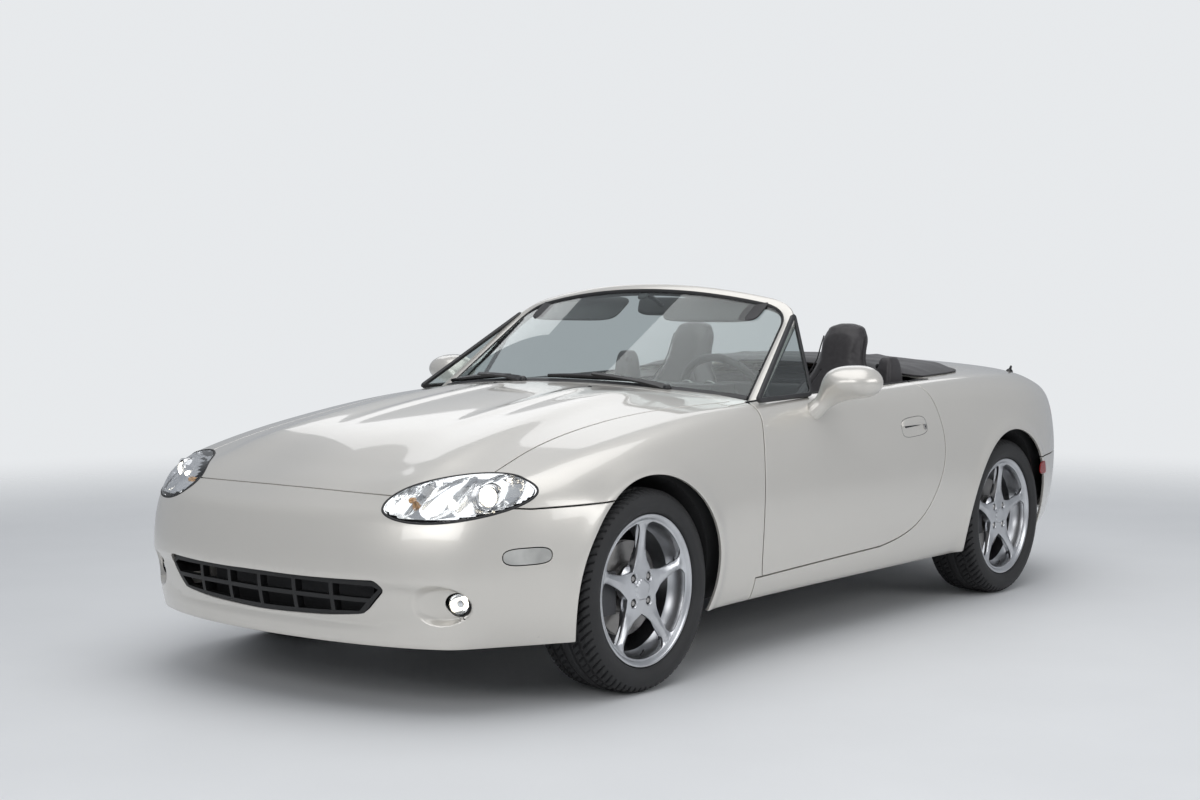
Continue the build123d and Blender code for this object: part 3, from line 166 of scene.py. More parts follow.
# Metallic base in cells of three tones, a clear coat, and a faint orange peel.
def makePaint(name, colour):
    mat, tree, bsdf = shader(name, Metallic=0.45, Roughness=0.34, Coat_Weight=1.0, Coat_Roughness=0.04)
    flake = cellNode(tree, 2600.0)
    dark, light = tones(colour, 0.93, 1.06)
    rampTo(tree, flake.outputs["Color"], bsdf.inputs["Base Color"],
           [(0.1, dark), (0.5, colour), (0.95, light)])
    cloud = noiseNode(tree, 9.0, 4.0)
    spread(tree, cloud.outputs["Fac"], bsdf.inputs["Roughness"], 0.30, 0.38)
    peel = noiseNode(tree, 260.0, 2.0)
    bumpFrom(tree, peel.outputs["Fac"], bsdf, 0.03, 0.0006)
    return mat


# Cloudy colour and roughness, with a grain of cells.
def makePlastic(name, colour, rough, grain=900.0, depth=0.25):
    mat, tree, bsdf = shader(name, Roughness=rough)
    cells = cellNode(tree, grain)
    cloud = noiseNode(tree, 14.0, 4.0)
    dark, light = tones(colour, 0.8, 1.25)
    rampTo(tree, cloud.outputs["Fac"], bsdf.inputs["Base Color"], [(0.3, dark), (0.7, light)])
    spread(tree, cloud.outputs["Fac"], bsdf.inputs["Roughness"], rough * 0.88, min(rough * 1.12, 1.0))
    bumpFrom(tree, cells.outputs["Distance"], bsdf, depth, 0.0004)
    return mat


# Cloudy colour, roughness and bump in a grain that can be stretched one way.
def makeMetal(name, colour, rough, stretch=(1.0, 1.0, 1.0), scale=420.0, metal=1.0, depth=0.08):
    mat, tree, bsdf = shader(name, Metallic=metal, Roughness=rough)
    grain = noiseNode(tree, scale, 4.0, stretch)
    cloud = noiseNode(tree, 11.0, 3.0)
    dark, light = tones(colour, 0.86, 1.08)
    rampTo(tree, cloud.outputs["Fac"], bsdf.inputs["Base Color"], [(0.3, dark), (0.7, light)])
    spread(tree, grain.outputs["Fac"], bsdf.inputs["Roughness"], rough * 0.85, min(rough * 1.2, 1.0))
    bumpFrom(tree, grain.outputs["Fac"], bsdf, depth, 0.0004)
    return mat


# Cell edges as the fine grain over a wide wrinkle.
def makeLeather(name, colour, rough=0.42):
    mat, tree, bsdf = shader(name, Roughness=rough, Specular_IOR_Level=0.45, Sheen_Weight=0.08)
    cells = cellNode(tree, 420.0, "DISTANCE_TO_EDGE")
    wrinkle = noiseNode(tree, 55.0, 6.0)
    dark, light = tones(colour, 0.75, 1.3)
    rampTo(tree, wrinkle.outputs["Fac"], bsdf.inputs["Base Color"], [(0.3, dark), (0.72, light)])
    spread(tree, wrinkle.outputs["Fac"], bsdf.inputs["Roughness"], rough * 0.85, rough * 1.2)
    fine = bumpFrom(tree, cells.outputs["Distance"], bsdf, 0.35, 0.0006)
    bumpFrom(tree, wrinkle.outputs["Fac"], fine, 0.25, 0.002)
    return mat


# Transmission with a trace of cloud in its colour.
def makeGlass(name, colour, rough=0.0, ior=1.45, transmission=1.0):
    mat, tree, bsdf = shader(name, Roughness=rough, IOR=ior, Transmission_Weight=transmission)
    cloud = noiseNode(tree, 3.0, 2.0)
    near = tuple(min(c * 1.02, 1.0) for c in colour)
    rampTo(tree, cloud.outputs["Fac"], bsdf.inputs["Base Color"], [(0.2, colour), (0.8, near)])
    return mat


paint = makePaint("pearl_paint", (0.66, 0.635, 0.59))
# Darker copy of the pearl paint, as painted shade for the tub and the hinges in the jambs.
shadedTubPaint = makePaint("tub_paint", (0.50, 0.48, 0.45))
blackPlastic = makePlastic("black_plastic", (0.022, 0.022, 0.024), 0.48)
gloss = makePlastic("gloss_black", (0.012, 0.012, 0.013), 0.22, 1500.0, 0.05)
cabinPlastic = makePlastic("cabin_plastic", (0.035, 0.034, 0.036), 0.6)
sealRubber = makePlastic("seal_rubber", (0.014, 0.014, 0.015), 0.6, 1200.0, 0.1)
tyreRubber = makePlastic("tyre_rubber", (0.017, 0.017, 0.018), 0.62, 700.0, 0.2)
leather = makeLeather("black_leather", (0.030, 0.027, 0.029))
coverFabric = makeLeather("cover_vinyl", (0.040, 0.039, 0.042), 0.55)
alloy = makeMetal("alloy_silver", (0.60, 0.61, 0.63), 0.30)
bareSteel = makeMetal("bare_steel", (0.42, 0.41, 0.40), 0.38)
iron = makeMetal("cast_iron", (0.10, 0.10, 0.105), 0.6, metal=0.7)
chrome = makeMetal("lamp_chrome", (0.86, 0.86, 0.86), 0.12, depth=0.02)
screenGlass = makeGlass("screen_glass", (0.80, 0.88, 0.86), 0.0, 1.45)
lampGlass = makeGlass("lamp_glass", (0.97, 0.98, 1.0), 0.0, 1.35)
redGlass = makeGlass("red_lens", (0.55, 0.02, 0.02), 0.08, 1.45, 0.7)


# Body stations in mm. Columns: y, half width, widest height, crown height, crown radius,
# shoulder radius, side radius above the widest line, side radius below it, underside.
stations = np.array([
    (-1990, 770, 430, 575, 4000, 130, 900, 1000, 178),
    (-1780, 795, 435, 648, 4000, 140, 850, 1000, 176),
    (-1500, 815, 445, 730, 4000, 160, 800, 1000, 175),
    (-1197, 828, 470, 786, 4200, 170, 720, 1000, 175),
    (-880, 826, 490, 826, 4600, 150, 640, 900, 178),
    (-560, 826, 505, 852, 4600, 110, 600, 850, 180),
    (0, 832, 515, 862, 5200, 95, 600, 850, 180),
    (500, 836, 520, 874, 5200, 110, 640, 900, 180),
    (1068, 840, 520, 886, 4600, 150, 720, 1000, 190),
    (1300, 828, 515, 881, 4400, 160, 740, 1000, 200),
    (1500, 788, 510, 872, 4200, 170, 760, 1000, 215),
    (1720, 708, 500, 855, 4000, 165, 800, 900, 235),
    (1990, 580, 490, 826, 4000, 150, 800, 800, 255),
], float)
# Nose and tail in plan. Columns: x, how far the face sweeps back, extra brow height.
nosePlan = np.array([(0, 0.5, 0), (300, 24, 0), (520, 84, 24), (690, 215, 44), (800, 420, 44),
                     (920, 750, 44)], float)
tailPlan = np.array([(0, 0, 52), (300, 20, 46), (520, 80, 16), (620, 150, 0), (700, 238, 0), (790, 360, 0),
                     (910, 690, 0)], float)
noseY = -1972.5
tailY = 1972.5
# Axles along the car, and the wheel arches' height of centre and radius.
frontAxle = -1197.0
rearAxle = 1068.0
archZ = 299.0
archRadius = 328.0


# Natural cubic through the rows of ys at xs, read at every value of at.
def spline(xs, ys, at):
    n = len(xs)
    h = np.diff(xs)
    m = np.zeros((n, n))
    r = np.zeros((n,) + ys.shape[1:])
    m[0, 0] = m[-1, -1] = 1.0
    for k in range(1, n - 1):
        m[k, k - 1], m[k, k], m[k, k + 1] = h[k - 1], 2 * (h[k - 1] + h[k]), h[k]
        r[k] = 6 * ((ys[k + 1] - ys[k]) / h[k] - (ys[k] - ys[k - 1]) / h[k - 1])
    c = np.linalg.solve(m, r)
    k = np.clip(np.searchsorted(xs, at) - 1, 0, n - 2)
    t = (at - xs[k])[..., None]
    s = (xs[k + 1] - at)[..., None]
    d = h[k][..., None]
    bend = (c[k] * s ** 3 + c[k + 1] * t ** 3) / (6 * d)
    return bend + (ys[k] / d - c[k] * d / 6) * s + (ys[k + 1] / d - c[k + 1] * d / 6) * t


tableY = np.linspace(-1990, 1990, 797)
tableRows = spline(stations[:, 0], stations[:, 1:], tableY)
mirrorNose = np.vstack([nosePlan[:0:-1] * (-1, 1, 1), nosePlan])
mirrorTail = np.vstack([tailPlan[:0:-1] * (-1, 1, 1), tailPlan])
tableX = np.linspace(0, 920, 185)
noseRows = spline(mirrorNose[:, 0], mirrorNose[:, 1:], tableX)
tailRows = spline(mirrorTail[:, 0], mirrorTail[:, 1:], np.minimum(tableX, 909))


# Centre and radius of the circle through three points.
def circle3(ax, az, bx, bz, cx, cz):
    d = 2 * (ax * (bz - cz) + bx * (cz - az) + cx * (az - bz))
    a2, b2, c2 = ax ** 2 + az ** 2, bx ** 2 + bz ** 2, cx ** 2 + cz ** 2
    ux = (a2 * (bz - cz) + b2 * (cz - az) + c2 * (az - bz)) / d
    uz = (a2 * (cx - bx) + b2 * (ax - cx) + c2 * (bx - ax)) / d
    return ux, uz, np.hypot(ax - ux, az - uz)


# Height over the cross-section at y, made of a crown arc, a shoulder arc tangent to both neighbours,
# a side arc above the widest line and another below it; also the height under the floor line.
def sectionField(x, y, z):
    half, wide, top, crown, shoulder, side, low, under = [np.interp(y, tableY, tableRows[:, k])
                                                          for k in range(8)]
    sx, cz = half - side, top - crown
    ra, rb = side - shoulder, crown - shoulder
    dx, dz = 0 - sx, cz - wide
    span = np.hypot(dx, dz)
    along = (ra * ra - rb * rb + span * span) / (2 * span)
    off = np.sqrt(np.maximum(ra * ra - along * along, 0))
    ux, uz = dx / span, dz / span
    px1, pz1 = sx + along * ux - off * uz, wide + along * uz + off * ux
    px2, pz2 = sx + along * ux + off * uz, wide + along * uz - off * ux
    px = np.where(px1 > px2, px1, px2)
    pz = np.where(px1 > px2, pz1, pz2)
    sideEnd = np.arctan2(pz - wide, px - sx)
    crownEnd = np.arctan2(pz - cz, px)
    ang = np.arctan2(z - pz, x - px)
    a = np.where(z > wide, np.hypot(x - sx, z - wide) - side, np.hypot(x - (half - low), z - wide) - low)
    b = np.hypot(x, z - cz) - crown
    c = np.hypot(x - px, z - pz) - shoulder
    f = np.where(ang < sideEnd, a, np.where(ang > crownEnd, b, c))
    f = np.where((ang < -math.pi / 2), np.maximum(a, b), f)
    return f, under - z


# Height over the nose: q is the distance behind the swept front. Face arc, foot line and brow arc run
# into the slope of the hood.
def noseField(x, y, z):
    back = np.interp(x, tableX, noseRows[:, 0])
    brow = np.interp(x, tableX, noseRows[:, 1])
    q = y - noseY - back
    cy, cz, r1 = circle3(34.0, 215.0, 0.0, 400.0, 30.0, 545.0)
    face = np.where(q < cy, np.hypot(q - cy, z - cz) - r1, -r1)
    foot = (34.0 + (215.0 - z) * 32 / 155 - q) * 0.979
    ay, az, r2 = circle3(30.0, 545.0, 106.0, 588.0 + brow, 230.0, 642.0 + brow)
    top = np.hypot(q - ay, z - az) - r2
    rise = 0.42
    line = (z - 642 - brow - (q - 230) * rise) / math.hypot(1.0, rise)
    lower = np.where(z < 215, foot, face)
    turn = ease((q - 165) / 130)
    upper = top * (1 - turn) + line * turn
    return smoothMax(lower, upper, 14.0)


# The same for the tail, seen from behind.
def tailField(x, y, z):
    back = np.interp(x, tableX, tailRows[:, 0])
    brow = np.interp(x, tableX, tailRows[:, 1])
    q = tailY - back - y
    cy, cz, r1 = circle3(60.0, 260.0, 0.0, 470.0, 22.0, 640.0)
    face = np.where(q < cy, np.hypot(q - cy, z - cz) - r1, -r1)
    foot = (60.0 + (260.0 - z) * 50 / 200 - q) * 0.97
    ay, az, r2 = circle3(22.0, 640.0, 62.0, 724.0 + 0.7 * brow, 140.0, 778.0 + brow)
    top = np.where(z > az, np.hypot(q - ay, z - az) - r2, ay - r2 - q)
    ly, lz = 280.0, 88.0
    ln = np.hypot(ly, lz)
    line = ((z - 778 - brow) * ly - (q - 140) * lz) / ln
    lower = np.where(z < 260, foot, face)
    turn = ease((q - 95) / 90)
    upper = top * (1 - turn) + line * turn
    return smoothMax(lower, upper, 14.0)


# Larger of two, rounded over a width k where they are near each other.
def smoothMax(a, b, k):
    return np.maximum(a, b) + np.maximum(k - np.abs(a - b), 0) ** 2 / (4 * k)


# Bell curve of a distance.
def bumpAt(d, width):
    return np.exp(-(d / width) ** 2)


# 0 to 1 with level ends, by 3t^2 - 2t^3.
def ease(t):
    t = np.clip(t, 0, 1)
    return t * t * (3 - 2 * t)


# Height of the soft modelling over the plain form: hood folds, arch flares, sill.
def detail(x, y, z):
    top = ease((z - 560) / 60)
    ahead = ease((y + 1900) / 260) * ease((-640 - y) / 160)
    ridge = 425 - 0.085 * (y + 1800)
    fold = 10.0 * np.exp(-np.where(x > ridge, (x - ridge) / 62, (x - ridge) / 120) ** 2)
    inner = 5.0 * bumpAt(x - (215 - 0.02 * (y + 1800)), 34)
    h = (fold + inner * ease((y + 1500) / 400)) * top * ahead
    wide = ease((x - 600) / 120)
    for ay in (frontAxle, rearAxle):
        d = np.hypot(y - ay, z - archZ) - archRadius
        h = h + wide * (6.5 * bumpAt(np.maximum(d, 0) - 12, 26) + 4.0 * bumpAt(d, 75))
    face = ease((-1700 - y) / 60)
    lip = ((x / 440) ** 4 + (np.abs(z - 315) / 60) ** 4) ** 0.25
    dip = np.where(z < 340, 15.0, 15.0 * ease((380 - z) / 40))
    h = h - face * dip * np.clip((1.85 - lip) / 0.7, 0, 1) ** 1.5
    ring = np.hypot((x - 582) / 74, (z - 313) / 57)
    slant = ease((x - 500) / 90)
    h = h - face * 34.0 * ease((1 - ring) / 0.3) * slant
    low = bumpAt(z - 235, 52) * ease((y + 900) / 120) * ease((740 - y) / 120)
    return h + wide * 5.0 * low


# Signed height of points (mm) over the painted skin.
def field(p):
    x, y, z = np.abs(p[..., 0]), p[..., 1], p[..., 2]
    f, under = sectionField(x, y, z)
    f = smoothMax(f, under, 36.0)
    f = smoothMax(f, noseField(x, y, z), 24.0)
    f = smoothMax(f, tailField(x, y, z), 18.0)
    return f - detail(x, y, z) - 1.2


# Unit outward normal of the skin at points (mm).
def slope(p):
    g = np.empty_like(p)
    for k in range(3):
        step = np.zeros(3)
        step[k] = 0.8
        g[..., k] = field(p + step) - field(p - step)
    return g / np.maximum(np.linalg.norm(g, axis=-1, keepdims=True), 1e-9)


# First crossing of the skin along rays that start inside it.
def march(origin, way, far=2400.0):
    low = np.zeros(len(origin))
    high = np.full(len(origin), far)
    for turn in range(30):
        mid = (low + high) / 2
        out = field(origin + way * mid[:, None]) > 0
        high = np.where(out, mid, high)
        low = np.where(out, low, mid)
    return origin + way * ((low + high) / 2)[:, None]


# Points as rows, from three numbers or arrays that broadcast.
def rows3(x, y, z):
    return np.stack(np.broadcast_arrays(np.asarray(x, float), np.asarray(y, float), np.asarray(z, float)),
                    -1)


def skinAt(x, y, z, way):
    # Rays from (x, y, z) along one direction to the skin.
    origin = rows3(x, y, z)
    return march(origin, np.broadcast_to(np.array(way, float), origin.shape))


# Skin at the left side.
def skinX(y, z):
    return skinAt(450.0, y, z, (1, 0, 0))


# Skin on top.
def skinZ(x, y):
    return skinAt(x, y, 420.0, (0, 0, 1))


# Skin at the nose.
def skinFront(x, z):
    return skinAt(x, -1350.0, z, (0, -1, 0))


# Skin at the tail.
def skinRear(x, z):
    return skinAt(x, 1250.0, z, (0, 1, 0))


# Charts: each gives rays through the skin from two numbers, and the two numbers of a point.
# Planes of constant x, angle about (y0, z0) measured from the top towards the rear.
def fanChart(y0, z0):
    def rays(uv):
        a = uv[:, 1] / 600
        return rows3(uv[:, 0], y0, z0), rows3(0.0 * a, np.sin(a), np.cos(a))

    def flat(p):
        return np.stack([p[:, 0], 600 * np.arctan2(p[:, 1] - y0, p[:, 2] - z0)], -1)
    return rays, flat


# Planes of constant y, angle about (x0, z0).
def sideChart(x0=450.0, z0=480.0):
    def rays(uv):
        a = uv[:, 1] / 380
        return rows3(x0, uv[:, 0], z0), rows3(np.cos(a), 0.0 * a, np.sin(a))

    def flat(p):
        return np.stack([p[:, 1], 380 * np.arctan2(p[:, 2] - z0, p[:, 0] - x0)], -1)
    return rays, flat


# Level rays out of the upright axis at (0, y0).
def drumChart(y0, face):
    def rays(uv):
        a = uv[:, 0] / 700
        return rows3(0.0, y0, uv[:, 1]), rows3(np.sin(a), face * np.cos(a), 0.0 * a)

    def flat(p):
        return np.stack([700 * np.arctan2(p[:, 0], face * (p[:, 1] - y0)), p[:, 2]], -1)
    return rays, flat


# Rays out of one point, by bearing and height.
def ballChart(x0, y0, z0):
    def rays(uv):
        a, e = uv[:, 0] / 700, uv[:, 1] / 700
        return rows3(x0 + 0 * a, y0, z0), rows3(np.cos(a) * np.cos(e), np.sin(a) * np.cos(e), np.sin(e))

    def flat(p):
        q = p - (x0, y0, z0)
        return np.stack([700 * np.arctan2(q[:, 1], q[:, 0]),
                         700 * np.arctan2(q[:, 2], np.hypot(q[:, 0], q[:, 1]))], -1)
    return rays, flat


# The polyline cut into equal pieces of about one step, both ends kept.
def even(points, step):
    points = np.asarray(points, float)
    run = np.concatenate([[0], np.cumsum(np.linalg.norm(np.diff(points, axis=0), axis=1))])
    count = max(int(round(run[-1] / step)), 2)
    at = np.linspace(0, run[-1], count + 1)
    return np.stack([np.interp(at, run, points[:, k]) for k in range(points.shape[1])], -1)


# Even-odd test of 2D points against closed loops.
def insideOf(uv, loops):
    inside = np.zeros(len(uv), bool)
    for loop in loops:
        a, b = loop, np.roll(loop, -1, axis=0)
        for (ax, ay), (bx, by) in zip(a, b):
            if ay == by:
                continue
            hit = ((ay > uv[:, 1]) != (by > uv[:, 1])) & (uv[:, 0] < (bx - ax) * (uv[:, 1] - ay) / (by - ay)
                                                          + ax)
            inside ^= hit
    return inside


def addPiece(name, mesh, material, body):
    # The mesh in one material, as a piece that rides on a body.
    mesh.materials.append(material)
    piece = bpy.data.objects.new(name, mesh)
    scene.collection.objects.link(piece)
    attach(piece, body)
    return piece


def pointsOf(piece):
    # The piece's points in metres, as rows.
    out = np.zeros(len(piece.data.vertices) * 3, np.float32)
    piece.data.vertices.foreach_get("co", out)
    return out.reshape(-1, 3).astype(float)


# Moves the piece's points, in metres.
def setPoints(piece, points):
    piece.data.vertices.foreach_set("co", points.astype(np.float32).ravel())
    piece.data.update()


def ringFaces(rows, count, closed=False, turned=False):
    # Quads between neighbouring rings of count points; closed joins the last ring to the first.
    i = np.arange(count)
    j = (i + 1) % count
    k = np.arange(rows if closed else rows - 1)[:, None]
    n = (k + 1) % rows
    quads = [k * count + i, k * count + j, n * count + j, n * count + i]
    if turned:
        quads[1], quads[3] = quads[3], quads[1]
    return np.stack(quads, -1).reshape(-1, 4)


def slabFaces(rows, cols, turned=False):
    # Sheet whose upper points come first: quads of both sides, and its rim's points and quads.
    a = (np.arange(rows - 1)[:, None] * cols + np.arange(cols - 1)).ravel()
    n = rows * cols
    quads = [a, a + 1, a + cols + 1, a + cols]
    if turned:
        quads[1], quads[3] = quads[3], quads[1]
    faces = np.stack([np.stack(quads, -1), n + np.stack(quads[:1] + quads[:0:-1], -1)], 1).reshape(-1, 4)
    rim = np.concatenate([np.arange(cols - 1), np.arange(rows - 1) * cols + cols - 1, (rows - 1) * cols
                          + np.arange(cols - 1, 0, -1), np.arange(rows - 1, 0, -1) * cols])
    after = np.roll(rim, -1)
    return rim, np.vstack([faces, np.stack([rim, after, n + after, n + rim], -1)])


# Mesh object in metres from points in mm.
def makeMesh(name, verts, faces, material, body="chassis", normals=None, smooth=True):
    mesh = bpy.data.meshes.new(name)
    verts = np.asarray(verts, float) / 1000
    if isinstance(faces, np.ndarray):
        faces = faces.tolist()
    mesh.from_pydata(verts.tolist(), [], faces)
    mesh.update()
    if smooth:
        mesh.polygons.foreach_set("use_smooth", np.ones(len(mesh.polygons), bool))
    if normals is not None:
        mesh.normals_split_custom_set_from_vertices(np.asarray(normals, float).tolist())
    return addPiece(name, mesh, material, body)


# One closed loop of points from its curves, with the inset and the open flag of every point.
def loopOf(parts, step, gap):
    points, shift, free = [], [], []
    for part in parts:
        curve, joined = part if isinstance(part, tuple) else (part, False)
        cut = even(curve, step)
        points.append(cut[:-1])
        shift.append(np.full(len(cut) - 1, 0.0 if joined else gap))
        free.append(np.full(len(cut) - 1, joined))
    return np.vstack(points), np.concatenate(shift), np.concatenate(free)


# Panel: skin inside the loops, a rolled edge down to its thickness, and an inner face.
def shell(name, loops, chart, material, body="chassis", step=16.0, edge=9.0, gap=2.2, roll=1.4, thick=3.0,
          mirror=False, surface=None, normalOf=None, inner=True):
    rays, flat = chart
    height = surface or (lambda o, w: march(o, w))
    tilt = normalOf or slope
    rings = []
    for parts in loops:
        p, shift, free = loopOf(parts, edge, gap + roll)
        rings.append((p, shift, free))
    flatRings = [flat(p) for p, s, f in rings]
    moved = []
    for k, (p, shift, free) in enumerate(rings):
        before, after = np.roll(p, 1, axis=0), np.roll(p, -1, axis=0)
        n = tilt(p)
        t1 = p - before
        t2 = after - p
        t1 /= np.linalg.norm(t1, axis=1, keepdims=True)
        t2 /= np.linalg.norm(t2, axis=1, keepdims=True)
        s1, s2 = np.cross(n, t1), np.cross(n, t2)
        free1 = np.roll(free, 1)
        both = s1 + s2
        both /= np.maximum(np.linalg.norm(both, axis=1, keepdims=True), 1e-6)
        mitre = 1 / np.maximum(np.sum(both * s1, axis=1), 0.5)
        aim = both * mitre[:, None]
        turnIn = free1 & ~free
        turnOut = ~free1 & free
        aim = np.where(turnIn[:, None], -t1 / np.maximum(np.abs(np.sum(t1 * s2, 1)), 0.4)[:, None], aim)
        aim = np.where(turnOut[:, None], t2 / np.maximum(np.abs(np.sum(t2 * s1, 1)), 0.4)[:, None], aim)
        g = np.where(turnIn | turnOut, gap + roll, np.where(free, 0.0, shift))
        probe = flat(p + aim * 2.0)
        good = insideOf(probe, [flatRings[k]])
        plain = ~(turnIn | turnOut | free)
        share = good[plain].mean() if plain.any() else 1.0
        sign = 1.0 if (share > 0.5) == (k == 0) else -1.0
        swing = np.where((turnIn | turnOut), 1.0, sign)
        q = p + aim * (g * swing)[:, None]
        if surface is None:
            for turn in range(2):
                q = q - tilt(q) * field(q)[:, None]
        else:
            q = np.where(free[:, None], q, surface(*rays(flat(q))))
        moved.append((q, free | np.roll(free, 1), free, -aim * swing[:, None]))
    count = 0
    rims, bounds = [], []
    for q, soft, free, away in moved:
        rims.append(np.arange(count, count + len(q)))
        bounds.append(flat(q))
        count += len(q)
    rim2 = np.vstack(bounds)
    lo, hi = bounds[0].min(0), bounds[0].max(0)
    us = np.arange(lo[0] + step / 2, hi[0], step)
    vs = np.arange(lo[1] + step / 2, hi[1], step * 0.87)
    grid = np.stack([(us[None, :] + (np.arange(len(vs)) % 2)[:, None] * step / 2).ravel(),
                     np.repeat(vs, len(us))], -1)
    grid = grid[insideOf(grid, bounds)]
    clear = np.ones(len(grid), bool)
    for k in range(0, len(grid), 800):
        d = np.hypot(grid[k:k + 800, None, 0] - rim2[None, :, 0], grid[k:k + 800, None, 1]
                     - rim2[None, :, 1])
        clear[k:k + 800] = d.min(1) > 0.55 * step
    grid = grid[clear]
    flat2 = np.vstack([rim2, grid])
    edges = []
    for ids in rims:
        edges += list(zip(ids.tolist(), np.roll(ids, -1).tolist()))
    out = delaunay_2d_cdt([Vector(v) for v in flat2.tolist()], edges, [], 0, 1e-6)
    verts2 = np.array([tuple(v) for v in out[0]])
    origin = [o[0] if o else -1 for o in out[3]]
    tris = np.array([f for f in out[2] if len(f) == 3])
    middle = verts2[tris].mean(1)
    tris = tris[insideOf(middle, bounds)]
    ids = np.array(origin)
    rim3 = np.vstack([q for q, s, f, a in moved])
    o, w = rays(grid)
    inner3 = height(o, w)
    all3 = np.vstack([rim3, inner3])
    place = np.zeros((len(verts2), 3))
    known = ids >= 0
    place[known] = all3[ids[known]]
    if (~known).any():
        o, w = rays(verts2[~known])
        place[~known] = height(o, w)
    normal = tilt(place)
    a, b, c = place[tris[:, 0]], place[tris[:, 1]], place[tris[:, 2]]
    turn = np.sum(np.cross(b - a, c - a) * normal[tris[:, 0]], axis=1) < 0
    tris[turn] = tris[turn][:, [0, 2, 1]]
    back = {}
    for new, old in enumerate(origin):
        if old >= 0 and old < count and old not in back:
            back[old] = new
    verts, norms = [place], [normal]
    faces = tris.tolist()
    total = len(place)
    lastRow = {}
    for (q, soft, free, away), ids in zip(moved, rims):
        top = np.array([back[i] for i in ids.tolist()])
        n = normal[top]
        rows = [top]
        for a in (45.0, 90.0):
            s, c = math.sin(math.radians(a)), math.cos(math.radians(a))
            verts.append(q + away * roll * s - n * roll * (1 - c))
            norms.append(away * s + n * c)
            rows.append(np.arange(total, total + len(q)))
            total += len(q)
        verts.append(q + away * roll - n * max(thick, roll))
        norms.append(away)
        rows.append(np.arange(total, total + len(q)))
        total += len(q)
        nxt = np.roll(np.arange(len(q)), -1)
        skip = free
        for r0, r1 in zip(rows, rows[1:]):
            for i in range(len(q)):
                if skip[i]:
                    continue
                faces.append([int(r0[i]), int(r1[i]), int(r1[nxt[i]]), int(r0[nxt[i]])])
        for i, t in enumerate(top.tolist()):
            lastRow[t] = int(rows[-1][i])
    if inner:
        under = place - normal * max(thick, roll)
        keep = np.arange(total, total + len(place))
        verts.append(under)
        norms.append(-normal)
        link = keep.copy()
        for t, r in lastRow.items():
            link[t] = r
        faces += [[int(link[f[0]]), int(link[f[2]]), int(link[f[1]])] for f in tris]
    verts, norms = np.vstack(verts), np.vstack(norms)
    used = np.zeros(len(verts), bool)
    for f in faces:
        used[f] = True
    spot = np.cumsum(used) - 1
    verts, norms = verts[used], norms[used]
    faces = [[int(spot[i]) for i in f] for f in faces]
    norms /= np.maximum(np.linalg.norm(norms, axis=1, keepdims=True), 1e-9)
    # The rolled edge's quads face away from the panel.
    fixed = []
    for f in faces:
        if len(f) == 4:
            a, b, c = verts[f[0]], verts[f[1]], verts[f[2]]
            if np.dot(np.cross(b - a, c - a), norms[f].sum(0)) < 0:
                f = f[::-1]
        fixed.append(f)
    if mirror:
        verts, norms = verts * (-1, 1, 1), norms * (-1, 1, 1)
        fixed = [f[::-1] for f in fixed]
    return makeMesh(name, verts, fixed, material, body, norms)


# Shut lines, in mm, on the car's left.
# Circle arc through three 2D points.
def arc3(a, b, c, count=40):
    ux, uz, r = circle3(a[0], a[1], b[0], b[1], c[0], c[1])
    a0, a1, a2 = [math.atan2(q[1] - uz, q[0] - ux) for q in (a, b, c)]
    turn = (a2 - a0) % (2 * math.pi)
    if (a1 - a0) % (2 * math.pi) > turn:
        turn -= 2 * math.pi
    t = a0 + np.linspace(0, 1, count) * turn
    return np.stack([ux + r * np.cos(t), uz + r * np.sin(t)], -1)


# Height of the seam under the headlamps along the car.
def seamZ(y):
    return np.interp(y, [-1990, -1845, -1790, -1720, -1640, -1430, -1300],
                     [600, 599, 588, 573, 566, 570, 573])


# Ellipse with radii a and b about (x, z), tilted.
def ovalCurve(x, z, a, b, tilt, t):
    tau = math.radians(tilt)
    u, v = a * np.cos(t), b * np.sin(t)
    return x + u * math.cos(tau) - v * math.sin(tau), z + u * math.sin(tau) + v * math.cos(tau)


headlamp = {"x": 567.0, "z": 593.0, "halfWidth": 168.0, "halfHeight": 60.0, "tilt": 4.0, "bowlDepth": 9.0}


# Headlamp's outline on the skin.
def lampCurve(t, grow=0.0):
    x, z = ovalCurve(headlamp["x"], headlamp["z"], headlamp["halfWidth"] + grow, headlamp["halfHeight"]
                     + grow, headlamp["tilt"], t)
    return skinFront(x, z)


hoodKnots = np.array([(-1722, 592), (-1640, 590), (-1480, 571), (-1337, 558), (-1152, 557), (-900, 590),
                      (-700, 641), (-590, 662)], float)
hoodSideY = np.linspace(-1722.0, -590.0, 200)
hoodSide = np.stack([spline(hoodKnots[:, 0], hoodKnots[:, 1:], hoodSideY)[:, 0], hoodSideY], -1)
hoodRear = arc3((662.0, -590.0), (0.0, -652.0), (-662.0, -590.0), 120)


# Hood's half width at y.
def hoodX(y):
    return np.interp(y, hoodSide[:, 1], hoodSide[:, 0], left=592.0)


# Where a sampled value changes sign, as values of t.
def crossing(values, t):
    k = np.nonzero(values[:-1] * values[1:] < 0)[0]
    return t[k] - values[k] * (t[k + 1] - t[k]) / (values[k + 1] - values[k])


turns = np.linspace(0, 2 * math.pi, 1441)
lampLine = lampCurve(turns)
seamHits = crossing(lampLine[:, 2] - seamZ(lampLine[:, 1]), turns)
tInner = [t for t in seamHits if math.cos(t) < 0][0]
tOuter = [t for t in seamHits if math.cos(t) > 0][-1]
sideHits = crossing(lampLine[:, 0] - hoodX(lampLine[:, 1]), turns)
tTop = [t for t in sideHits if math.sin(t) > 0][0]
print("lamp crossings", round(math.degrees(tInner)), round(math.degrees(tTop)), round(math.degrees(tOuter)))


# The same curve on the other side, run backwards so that a loop keeps its way round.
def mirrorCurve(c):
    return c[::-1] * (-1, 1, 1)


